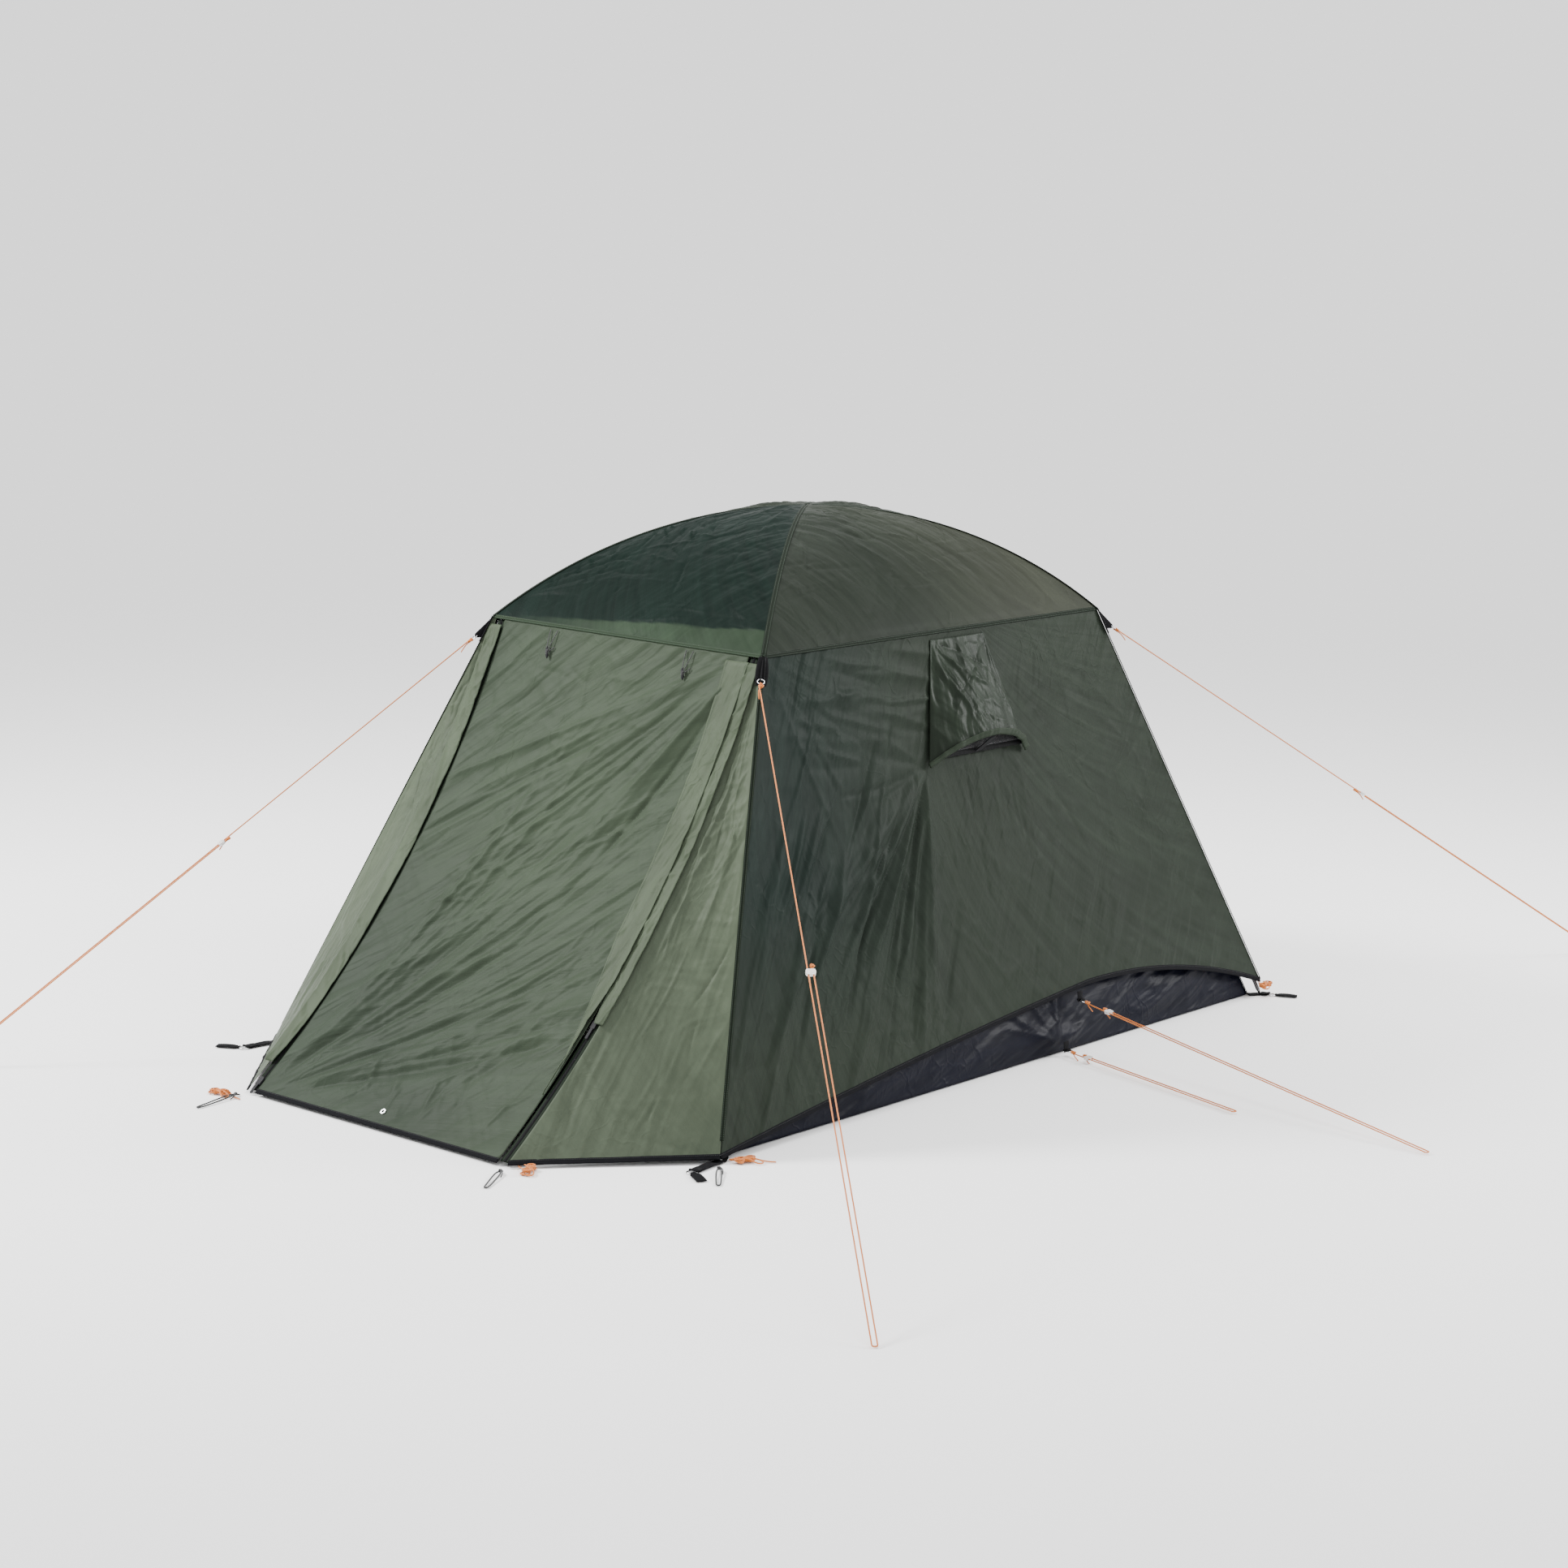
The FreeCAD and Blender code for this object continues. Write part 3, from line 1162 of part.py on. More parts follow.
# ---------------------------------------------------------------- build and write

def build():
    quarter = 90
    roof_gore("fly_roof_front", "Y", 0)
    roof_gore("fly_roof_back", "Y", 2 * quarter)
    roof_gore("fly_roof_right", "X", quarter)
    roof_gore("fly_roof_left", "X", -quarter)
    side_strip = side_wall()
    back_strip = back_wall()
    porch_door()
    zip_tapes()
    porch_strip = porch_side()
    hem_bindings(side_strip, back_strip, porch_strip)
    roof_poles()
    elbows_legs_and_tips()
    shock_cords()
    crown_clip()
    pole_clips()
    floor_tray()
    inner_canopy()
    inner_door()
    inner_zip()
    zip_sliders()
    toggles()
    door_eyelet()
    vent()
    corner_tackle()
    peg_loops()
    guy_gussets()
    guy_rings()
    guy_lines()
    line_locks()
    cord_hanks()
    DOC.recompute()


def check():
    """Stop on any object that failed to recompute and any sub-part without a sound shape."""
    for item in DOC.Objects:
        if "Invalid" in item.State or "Error" in item.State:
            raise RuntimeError(f"{item.Label} did not recompute: {item.State}")
    for label, part in SUBPARTS.items():
        if part.Shape.isNull() or not part.Shape.isValid() or not part.Shape.Solids:
            raise RuntimeError(f"{label} has no sound solid")


def write():
    os.makedirs("parts", exist_ok=True)
    for label, part in SUBPARTS.items():
        part.Shape.exportStep(os.path.join("parts", f"{label}.step"))
    print(f"{len(SUBPARTS)} sub-parts written")


build()
check()
write()
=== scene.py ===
import math

import bmesh
import bpy
import numpy as np
from mathutils import Matrix, Vector


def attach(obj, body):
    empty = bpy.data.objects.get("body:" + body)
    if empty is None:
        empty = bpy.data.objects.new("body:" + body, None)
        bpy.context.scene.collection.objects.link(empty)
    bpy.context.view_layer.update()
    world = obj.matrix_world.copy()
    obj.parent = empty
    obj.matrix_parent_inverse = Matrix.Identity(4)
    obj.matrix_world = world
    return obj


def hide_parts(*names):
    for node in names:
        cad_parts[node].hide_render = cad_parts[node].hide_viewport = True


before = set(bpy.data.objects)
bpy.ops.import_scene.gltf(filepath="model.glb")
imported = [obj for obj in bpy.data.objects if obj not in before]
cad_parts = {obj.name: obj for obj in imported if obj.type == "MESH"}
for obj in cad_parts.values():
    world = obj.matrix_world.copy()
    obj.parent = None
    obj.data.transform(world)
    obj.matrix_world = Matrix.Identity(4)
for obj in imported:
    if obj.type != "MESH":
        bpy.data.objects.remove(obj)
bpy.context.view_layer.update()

# ---------------------------------------------------------------- sizes of the tent, in metres

CROWN = 1.300
SHOULDER_X = 0.428
SHOULDER_Y = 0.655
SHOULDER_Z = 1.034
FOOT_REACH = 1.314
PORCH_REACH = 1.459
PORCH_HALF = 0.416
DOOR_HALF = 0.387
DOOR_SAG = 0.085
INNER_DEPTH = 0.050
TUB_HEIGHT = 0.165
HALF_DIAGONAL = math.hypot(SHOULDER_X, SHOULDER_Y)
ALONG_X = SHOULDER_X / HALF_DIAGONAL
ALONG_Y = SHOULDER_Y / HALF_DIAGONAL
FOOT_X = FOOT_REACH * ALONG_X
FOOT_Y = FOOT_REACH * ALONG_Y
ROOF_RISE = CROWN - SHOULDER_Z
ROOF_RADIUS = (HALF_DIAGONAL ** 2 + ROOF_RISE ** 2) / (2 * ROOF_RISE)
ROOF_CENTRE = CROWN - ROOF_RADIUS
SIDE_SLOPE = math.hypot(FOOT_X - SHOULDER_X, SHOULDER_Z)
BACK_SLOPE = math.hypot(FOOT_Y - SHOULDER_Y, SHOULDER_Z)
DOOR_CHORD = math.hypot(PORCH_REACH - SHOULDER_Y, SHOULDER_Z)
DOOR_RADIUS = (DOOR_CHORD ** 2 / 4 + DOOR_SAG ** 2) / (2 * DOOR_SAG)
DOOR_STAND = DOOR_RADIUS - DOOR_SAG
DOOR_Y = -(PORCH_REACH + SHOULDER_Y) / 2 - DOOR_STAND * SHOULDER_Z / DOOR_CHORD
DOOR_Z = SHOULDER_Z / 2 + DOOR_STAND * (PORCH_REACH - SHOULDER_Y) / DOOR_CHORD
DOOR_START = math.atan2(-DOOR_Z, -PORCH_REACH - DOOR_Y)
DOOR_SWEEP = 2 * math.asin(DOOR_CHORD / 2 / DOOR_RADIUS)
DOOR_LENGTH = DOOR_RADIUS * DOOR_SWEEP
CLOTH = 0.0009
TURN = 6.2832
UP = np.array((0.0, 0.0, 1.0))
CORNERS = {"front_right": (1, -1), "front_left": (-1, -1), "back_right": (1, 1), "back_left": (-1, 1)}


# ---------------------------------------------------------------- camera

def place_camera():
    """Camera a few metres in front of the right-hand porch corner, looking slightly down."""
    azimuth, pitch, roll = math.radians(39.76), math.radians(10.51), math.radians(1.62)
    back = Vector((math.sin(azimuth) * math.cos(pitch), -math.cos(azimuth) * math.cos(pitch), math.sin(pitch)))
    level = Vector((math.cos(azimuth), math.sin(azimuth), 0))
    upright = back.cross(level)
    right = level * math.cos(roll) + upright * math.sin(roll)
    up = upright * math.cos(roll) - level * math.sin(roll)
    data = bpy.data.cameras.new("camera")
    data.sensor_width = 36
    data.lens = 80.05
    data.clip_start = 0.05
    data.clip_end = 80
    camera = bpy.data.objects.new("camera", data)
    bpy.context.scene.collection.objects.link(camera)
    matrix = Matrix((right, up, back)).transposed().to_4x4()
    matrix.translation = Vector((5.458, -6.615, 2.190))
    camera.matrix_world = matrix
    bpy.context.scene.camera = camera


place_camera()


# ---------------------------------------------------------------- materials

def new_material(name):
    material = bpy.data.materials.new(name)
    material.use_nodes = True
    tree = material.node_tree
    tree.nodes.clear()
    output = tree.nodes.new("ShaderNodeOutputMaterial")
    shader = tree.nodes.new("ShaderNodeBsdfPrincipled")
    tree.links.new(shader.outputs[0], output.inputs[0])
    return material, tree, shader


def add_node(tree, kind, values=None, **properties):
    """A node with its properties, and its inputs set to values or linked from sockets."""
    node = tree.nodes.new("ShaderNode" + kind)
    for name, value in properties.items():
        setattr(node, name, value)
    for name, value in (values or {}).items():
        socket = node.inputs[name]
        if isinstance(value, bpy.types.NodeSocket):
            tree.links.new(value, socket)
        else:
            socket.default_value = value
    return node


def arith(tree, operation, first, second=0.5, third=None):
    values = {0: first, 1: second}
    if third is not None:
        values[2] = third
    return add_node(tree, "Math", values, operation=operation).outputs[0]


def mix_colour(tree, factor, first, second):
    node = tree.nodes.new("ShaderNodeMix")
    node.data_type = "RGBA"
    for socket, value in ((node.inputs[0], factor), (node.inputs[6], first), (node.inputs[7], second)):
        if isinstance(value, bpy.types.NodeSocket):
            tree.links.new(value, socket)
        else:
            socket.default_value = value
    return node.outputs[2]


def spread(tree, value, low, high, to_low=0.0, to_high=1.0):
    """Value between low and high rescaled, clamped at both ends."""
    node = add_node(tree, "MapRange", {0: value, 1: low, 2: high, 3: to_low, 4: to_high})
    return node.outputs[0]


def scaled(tree, vector, scale):
    return add_node(tree, "Mapping", {"Vector": vector, "Scale": scale}).outputs[0]


def noise(tree, vector, scale, detail=2.0, roughness=0.5, distortion=0.0):
    """Noise texture on a map."""
    return add_node(tree, "TexNoise", {"Vector": vector, "Scale": scale, "Detail": detail, "Roughness": roughness,
                                       "Distortion": distortion})


def set_bump(tree, shader, height, strength, distance):
    """Relief of the finish on the shader's normal."""
    bump = add_node(tree, "Bump", {"Height": height, "Strength": strength, "Distance": distance})
    tree.links.new(bump.outputs[0], shader.inputs["Normal"])


def rgba(colour):
    return (*colour, 1.0)


def coated_cloth(name, colour, roughness=0.46, shade=0.72, crinkle=1.0, gloss=0.22, painted_light_shade=None, streak=1.0, pull=None):
    """Tightly woven polyester with a thin coating: long strain streaks, scattered crinkles and a fine weave."""
    material, tree, shader = new_material(name)
    cloth = add_node(tree, "UVMap", uv_map="cloth").outputs[0]
    strain = add_node(tree, "UVMap", uv_map="strain").outputs[0]
    streaks = noise(tree, scaled(tree, strain, (30, 2.4, 1)), 1.0, 4.0, 0.55, 0.3)
    broad = noise(tree, cloth, 3.1, 3.0, 0.55, 0.8)
    patches = noise(tree, cloth, 6.5)
    warp = noise(tree, cloth, 8.0, 3.0, 0.6)
    push = add_node(tree, "VectorMath", {0: warp.outputs["Color"], "Scale": 0.16}, operation="SCALE").outputs[0]
    bent = add_node(tree, "VectorMath", {0: cloth, 1: push}, operation="ADD").outputs[0]
    creases = add_node(tree, "TexVoronoi", {"Vector": scaled(tree, bent, (9, 5, 1)), "Scale": 1.0},
                       feature="DISTANCE_TO_EDGE", voronoi_dimensions="2D")
    small = add_node(tree, "TexVoronoi", {"Vector": scaled(tree, bent, (24, 17, 1)), "Scale": 1.0},
                     feature="DISTANCE_TO_EDGE", voronoi_dimensions="2D")
    across = add_node(tree, "TexWave", {"Vector": cloth, "Scale": 260.0, "Distortion": 0.4, "Detail": 1.0},
                      wave_type="BANDS", bands_direction="X")
    along = add_node(tree, "TexWave", {"Vector": cloth, "Scale": 260.0, "Distortion": 0.4, "Detail": 1.0},
                     wave_type="BANDS", bands_direction="Y")
    weave = arith(tree, "MULTIPLY", across.outputs["Fac"], along.outputs["Fac"])
    crease_height = arith(tree, "MULTIPLY", spread(tree, creases.outputs["Distance"], 0.0, 0.09, 1.0, 0.0),
                          spread(tree, patches.outputs["Fac"], 0.50, 0.70, 0.0, 0.45))
    small_height = arith(tree, "MULTIPLY", spread(tree, small.outputs["Distance"], 0.0, 0.12, 1.0, 0.0),
                         spread(tree, broad.outputs["Fac"], 0.50, 0.70, 0.0, 0.30))
    folds = arith(tree, "MULTIPLY_ADD", streaks.outputs["Fac"], 1.7 * streak, arith(tree, "ADD", crease_height, small_height))
    ridges = None
    if pull:
        wobble = add_node(tree, "VectorMath", {0: broad.outputs["Color"], "Scale": 0.055}, operation="SCALE").outputs[0]
        wavy = add_node(tree, "VectorMath", {0: cloth, 1: wobble}, operation="ADD").outputs[0]
        direction, strength = pull
        turned = add_node(tree, "VectorRotate", {"Vector": wavy, "Angle": -math.radians(direction)},
                          rotation_type="Z_AXIS").outputs[0]
        wide, narrow = (noise(tree, scaled(tree, turned, (length, width, 1)), 1.0, 2.0, 0.45).outputs["Fac"]
                        for length, width in ((1.3, 17.0), (2.4, 44.0)))
        mask = noise(tree, cloth, 2.3, 1.0).outputs["Fac"]
        ridges = arith(tree, "MULTIPLY_ADD", narrow, 0.34, spread(tree, wide, 0.34, 0.70))
        ridges = arith(tree, "MULTIPLY", ridges, spread(tree, mask, 0.36, 0.60, 0.25, 1.0))
        folds = arith(tree, "MULTIPLY_ADD", ridges, strength, folds)
    bump = add_node(tree, "Bump", {"Height": folds, "Strength": 0.60 * crinkle, "Distance": 0.0040})
    fine = add_node(tree, "Bump", {"Height": weave, "Strength": 0.10, "Distance": 0.0003, "Normal": bump.outputs[0]})
    tree.links.new(fine.outputs[0], shader.inputs["Normal"])
    # Painted shade and sheen on the folds: the colour darkens and pales along the strain streaks, mixed with a random
    # broad tone.
    dark = tuple(channel * shade for channel in colour)
    tone_and_painted_shading = arith(tree, "MULTIPLY_ADD", streaks.outputs["Fac"], 0.60, arith(tree, "MULTIPLY", broad.outputs["Fac"], 0.50))
    base = mix_colour(tree, spread(tree, tone_and_painted_shading, 0.38, 0.72), rgba(dark), rgba(colour))
    # Painted highlight on the ridges of the pull folds, used where the panel has painted light and shade.
    if ridges:
        tone_and_painted_shading = arith(tree, "MULTIPLY_ADD", ridges, 0.22, arith(tree, "MULTIPLY", tone_and_painted_shading, 0.80))
    # Painted light and shade: where the panel marks it, the colour turns to a paler or darker copy, itself streaked.
    if painted_light_shade:
        area = add_node(tree, "Attribute", attribute_name="painted_light_shade").outputs["Fac"]
        base = mix_colour(tree, area, base, mix_colour(tree, spread(tree, tone_and_painted_shading, 0.38, 0.72),
                                                       rgba(tuple(channel * shade for channel in painted_light_shade)), rgba(painted_light_shade)))
    # The weave's own pattern, its tops paler and its hollows darker as painted light and shade.
    threads = spread(tree, weave, 0.1, 0.9, 0.92, 1.06)
    base = add_node(tree, "VectorMath", {0: base, "Scale": threads}, operation="SCALE").outputs[0]
    tree.links.new(base, shader.inputs["Base Color"])
    rough = arith(tree, "MULTIPLY_ADD", broad.outputs["Fac"], 0.16, roughness - 0.08)
    tree.links.new(rough, shader.inputs["Roughness"])
    shader.inputs["Specular IOR Level"].default_value = gloss
    return material


def woven_tape(name, colour, rib=520.0, twill=True):
    """Dense ribbed tape or webbing, its ribs across the run of the tape."""
    material, tree, shader = new_material(name)
    cloth = add_node(tree, "UVMap", uv_map="cloth").outputs[0]
    ribs = add_node(tree, "TexWave", {"Vector": cloth, "Scale": rib, "Distortion": 0.3, "Detail": 1.0},
                    wave_type="BANDS", bands_direction="DIAGONAL" if twill else "Y")
    threads = add_node(tree, "TexWave", {"Vector": cloth, "Scale": rib * 0.9, "Distortion": 0.2},
                       wave_type="BANDS", bands_direction="X")
    height = arith(tree, "ADD", ribs.outputs["Fac"], threads.outputs["Fac"])
    fuzz = noise(tree, cloth, 180.0, 3.0)
    set_bump(tree, shader, height, 0.5, 0.0005)
    # Painted highlight on the tops of the ribs, mixed with a random fuzz.
    light = tuple(min(1.0, channel * 1.4 + 0.001) for channel in colour)
    tone_and_painted_shading = arith(tree, "MULTIPLY", fuzz.outputs["Fac"], spread(tree, height, 0.2, 1.8, 0.35, 1.0))
    tree.links.new(mix_colour(tree, tone_and_painted_shading, rgba(colour), rgba(light)), shader.inputs["Base Color"])
    shader.inputs["Roughness"].default_value = 0.75
    shader.inputs["Specular IOR Level"].default_value = 0.06
    return material


def braided_cord(name, colour, fleck=(0.9, 0.45, 0.2), twist=950.0):
    """Braided cord: crossing strands on its own length and girth, with a pale fleck."""
    material, tree, shader = new_material(name)
    cloth = add_node(tree, "UVMap", uv_map="cloth").outputs[0]
    parts = add_node(tree, "SeparateXYZ", {0: cloth})
    girth, run = parts.outputs[0], parts.outputs[1]
    strands = []
    for sign in (1, -1):
        phase = arith(tree, "MULTIPLY_ADD", girth, sign * TURN * 4, arith(tree, "MULTIPLY", run, twist))
        strands.append(arith(tree, "SINE", phase))
    height = arith(tree, "MAXIMUM", strands[0], strands[1])
    set_bump(tree, shader, height, 0.7, 0.0004)
    fibres = noise(tree, scaled(tree, cloth, (6, 700, 1)), 1.0)
    # Painted shade in the grooves between the strands; the pale fleck is the cord's own.
    dark = tuple(channel * 0.55 for channel in colour)
    base = mix_colour(tree, spread(tree, height, -0.2, 1.0), rgba(dark), rgba(colour))
    base = mix_colour(tree, spread(tree, fibres.outputs["Fac"], 0.62, 0.7), base, rgba(fleck))
    tree.links.new(base, shader.inputs["Base Color"])
    shader.inputs["Roughness"].default_value = 0.62
    shader.inputs["Sheen Weight"].default_value = 0.2
    return material


def moulded_plastic(name, colour, roughness, clear=0.0):
    """Moulded plastic with a faint grain and a broad paler mottle."""
    material, tree, shader = new_material(name)
    place = add_node(tree, "TexCoord").outputs["Object"]
    texture = noise(tree, place, 420.0, 3.0, 0.6)
    broad = noise(tree, place, 22.0)
    set_bump(tree, shader, texture.outputs["Fac"], 0.18, 0.0004)
    light = tuple(min(1.0, channel * 1.5 + 0.01) for channel in colour)
    tree.links.new(mix_colour(tree, broad.outputs["Fac"], rgba(colour), rgba(light)), shader.inputs["Base Color"])
    tree.links.new(arith(tree, "MULTIPLY_ADD", texture.outputs["Fac"], 0.2, roughness - 0.1), shader.inputs["Roughness"])
    shader.inputs["Specular IOR Level"].default_value = 0.5 if clear else 0.12
    shader.inputs["Transmission Weight"].default_value = clear
    return material


def drawn_metal(name, colour, roughness=0.24):
    """Plated or anodised wire and tube with fine draw marks."""
    material, tree, shader = new_material(name)
    place = add_node(tree, "TexCoord").outputs["Object"]
    marks = noise(tree, scaled(tree, place, (1, 1, 0.05)), 900.0)
    cloud = noise(tree, place, 35.0, 3.0)
    set_bump(tree, shader, marks.outputs["Fac"], 0.12, 0.0002)
    dark = tuple(channel * 0.72 for channel in colour)
    tree.links.new(mix_colour(tree, cloud.outputs["Fac"], rgba(dark), rgba(colour)), shader.inputs["Base Color"])
    tree.links.new(arith(tree, "MULTIPLY_ADD", cloud.outputs["Fac"], 0.2, roughness - 0.08), shader.inputs["Roughness"])
    shader.inputs["Metallic"].default_value = 1.0
    return material


def glass_fibre(name, colour):
    """Glass fibre tube: lengthwise fibres under a glossy resin skin."""
    material, tree, shader = new_material(name)
    place = add_node(tree, "TexCoord").outputs["Object"]
    fibres = noise(tree, scaled(tree, place, (600, 600, 14)), 1.0, 3.0)
    light = tuple(channel * 2.2 + 0.01 for channel in colour)
    tree.links.new(mix_colour(tree, fibres.outputs["Fac"], rgba(colour), rgba(light)), shader.inputs["Base Color"])
    set_bump(tree, shader, fibres.outputs["Fac"], 0.1, 0.0002)
    shader.inputs["Roughness"].default_value = 0.28
    shader.inputs["Coat Weight"].default_value = 0.3
    return material


def fine_net(name, colour):
    """Fine knitted net: holes are the transparent part of the pattern."""
    material, tree, shader = new_material(name)
    cloth = add_node(tree, "UVMap", uv_map="cloth").outputs[0]
    cells = add_node(tree, "TexVoronoi", {"Vector": cloth, "Scale": 620.0, "Randomness": 0.25},
                     feature="DISTANCE_TO_EDGE", voronoi_dimensions="2D")
    thread = spread(tree, cells.outputs["Distance"], 0.12, 0.2, 1.0, 0.62)
    tree.links.new(thread, shader.inputs["Alpha"])
    set_bump(tree, shader, thread, 0.6, 0.0004)
    dots = noise(tree, cloth, 40.0)
    light = tuple(channel * 2 for channel in colour)
    tree.links.new(mix_colour(tree, dots.outputs["Fac"], rgba(colour), rgba(light)), shader.inputs["Base Color"])
    shader.inputs["Roughness"].default_value = 0.8
    return material


def thread_material(name, colour):
    """Sewing thread, slightly paler on its strands."""
    material, tree, shader = new_material(name)
    place = add_node(tree, "TexCoord").outputs["Object"]
    twist = noise(tree, place, 1600.0)
    light = tuple(min(1.0, channel * 1.7 + 0.01) for channel in colour)
    tree.links.new(mix_colour(tree, twist.outputs["Fac"], rgba(colour), rgba(light)), shader.inputs["Base Color"])
    shader.inputs["Roughness"].default_value = 0.6
    return material


# Panel colours are partly the fabric's own and partly painted light and shade: the door, porch sides and storm flaps
# are paler as painted light shining through their single layer, and the front gore is darker as painted shade.
ROOF_FRONT = coated_cloth("roof_front_cloth", (0.0052, 0.0118, 0.0090), roughness=0.46, shade=0.62, gloss=0.03, streak=0.3,
                      crinkle=0.9, painted_light_shade=(0.027, 0.043, 0.026), pull=(62, 3.0))
ROOF_SIDE = coated_cloth("roof_side_cloth", (0.0185, 0.0238, 0.0175), roughness=0.48, shade=0.70, gloss=0.035, streak=0.3,
                     crinkle=0.9, painted_light_shade=(0.0370, 0.0410, 0.0300), pull=(118, 3.4))
WALL = coated_cloth("wall_cloth", (0.0215, 0.0280, 0.0205), roughness=0.50, shade=0.68, gloss=0.04, streak=0.35, crinkle=0.9,
                    painted_light_shade=(0.0105, 0.0175, 0.0150), pull=(57, 4.2))
DOOR = coated_cloth("door_cloth", (0.0420, 0.0570, 0.0365), roughness=0.52, shade=0.72, gloss=0.05, streak=0.8, crinkle=0.9,
                    painted_light_shade=(0.0310, 0.0415, 0.0290), pull=(47, 4.2))
PORCH = coated_cloth("porch_side_cloth", (0.0640, 0.0800, 0.0550), roughness=0.52, shade=0.80, gloss=0.05, streak=0.4,
                     painted_light_shade=(0.092, 0.116, 0.076), pull=(76, 3.4))
FLAP = coated_cloth("storm_flap_cloth", (0.0660, 0.0850, 0.0550), roughness=0.52, shade=0.66, gloss=0.05, streak=0.5,
                    pull=(70, 4.0))
HOOD = coated_cloth("vent_hood_cloth", (0.0205, 0.0285, 0.0195), roughness=0.40, shade=0.45, gloss=0.07, streak=0.5,
                    pull=(78, 5.0))
PIPING = coated_cloth("piping_cloth", (0.0230, 0.0320, 0.0210), roughness=0.50, shade=0.80, gloss=0.05, crinkle=0.4)
# Zip guard cloth: darker partly as its own colour and partly as painted shade of the recess under the storm flaps.
ZIP_GUARD_SHADED = coated_cloth("zip_guard_cloth", (0.0130, 0.0200, 0.0125), roughness=0.55, shade=0.75, gloss=0.03, crinkle=0.6)
SEAM = coated_cloth("seam_cloth", (0.0105, 0.0150, 0.0100), roughness=0.56, shade=0.70, gloss=0.03, crinkle=0.5, streak=0.3)
# Front eave seam: a paler copy of the seam cloth, as painted light that matches the painted light band above the front
# eave.
SEAM_PAINTED_LIGHT = coated_cloth("seam_cloth_painted_light", (0.0240, 0.0380, 0.0220), roughness=0.56, shade=0.75, gloss=0.03, crinkle=0.5,
                         streak=0.3)
TUB = coated_cloth("tub_cloth", (0.0050, 0.0056, 0.0115), roughness=0.42, shade=0.55, gloss=0.06, streak=0.4, pull=(20, 5.0))
CABIN = coated_cloth("cabin_cloth", (0.30, 0.31, 0.27), roughness=0.6, shade=0.86, crinkle=0.6)
BLACK_TAPE = woven_tape("black_tape", (0.0042, 0.0043, 0.0055))
WEBBING = woven_tape("black_webbing", (0.0055, 0.0055, 0.0062), rib=300.0, twill=False)
ZIP_TAPE = woven_tape("zip_tape_cloth", (0.0060, 0.0064, 0.0064), rib=640.0)
ORANGE = braided_cord("orange_cord", (0.66, 0.165, 0.000), fleck=(0.80, 0.27, 0.005))
ELASTIC = braided_cord("elastic_cord", (0.004, 0.004, 0.005), fleck=(0.008, 0.008, 0.008), twist=1500.0)
NYLON = moulded_plastic("black_nylon", (0.006, 0.006, 0.007), roughness=0.62)
CLEAR = moulded_plastic("clear_plastic", (0.82, 0.78, 0.74), roughness=0.25, clear=0.45)
STEEL = drawn_metal("plated_steel", (0.66, 0.66, 0.67))
ALLOY = drawn_metal("alloy_tube", (0.55, 0.56, 0.58), roughness=0.32)
FIBRE = glass_fibre("pole_fibre", (0.018, 0.018, 0.020))
NET = fine_net("vent_net", (0.010, 0.010, 0.011))
THREAD = thread_material("green_thread", (0.028, 0.044, 0.030))
BLACK_THREAD = thread_material("black_thread", (0.02, 0.02, 0.02))


# ---------------------------------------------------------------- pieces

def link_piece(name, mesh, material, body, slot, replaced=()):
    """Put a finished mesh in the scene on its body."""
    piece = bpy.data.objects.new(name, mesh)
    bpy.context.scene.collection.objects.link(piece)
    mesh.materials.clear()
    mesh.materials.append(material)
    mesh.shade_smooth()
    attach(piece, body)
    if replaced:
        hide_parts(*replaced)
    return piece


def paint_node(node, material):
    """Give a CAD node that keeps its own shape a better finish."""
    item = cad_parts[node]
    for index in range(max(1, len(item.data.materials))):
        if index < len(item.material_slots):
            item.material_slots[index].material = material
        else:
            item.data.materials.append(material)


# ---------------------------------------------------------------- cords

def nurbs_points(points, name):
    """Points along a smooth open NURBS route with the given control points."""
    curve = bpy.data.curves.new(name, "CURVE")
    curve.dimensions = "3D"
    curve.resolution_u = 14
    spline = curve.splines.new("NURBS")
    spline.points.add(len(points) - 1)
    for item, point in zip(spline.points, points):
        item.co = (*point, 1)
    spline.order_u = 3
    spline.use_endpoint_u = True
    holder = bpy.data.objects.new(name, curve)
    mesh = bpy.data.meshes.new_from_object(holder)
    route = np.array([vertex.co[:] for vertex in mesh.vertices])
    bpy.data.meshes.remove(mesh)
    bpy.data.objects.remove(holder)
    bpy.data.curves.remove(curve)
    return route


def unit_rows(vectors):
    """Rows of vectors brought to unit length."""
    return vectors / np.linalg.norm(vectors, axis=1)[:, None]


def even_steps(route, step):
    """The same route at even spacing."""
    lengths = np.r_[0, np.cumsum(np.linalg.norm(np.diff(route, axis=0), axis=1))]
    count = max(2, int(round(lengths[-1] / step)))
    marks = np.linspace(0, lengths[-1], count + 1)
    return np.stack([np.interp(marks, lengths, route[:, axis]) for axis in range(3)], axis=1), lengths[-1]


def tube_frames(path):
    """Two unit directions across a path at each point, carried along without twist."""
    tangents = unit_rows(np.gradient(path, axis=0))
    side = np.cross(tangents[0], (0.0, 0.0, 1.0))
    if np.linalg.norm(side) < 1e-6:
        side = np.array((1.0, 0.0, 0.0))
    sides = []
    for tangent in tangents:
        side = side - tangent * np.dot(side, tangent)
        side /= np.linalg.norm(side)
        sides.append(side)
    sides = np.array(sides)
    return sides, np.cross(tangents, sides)


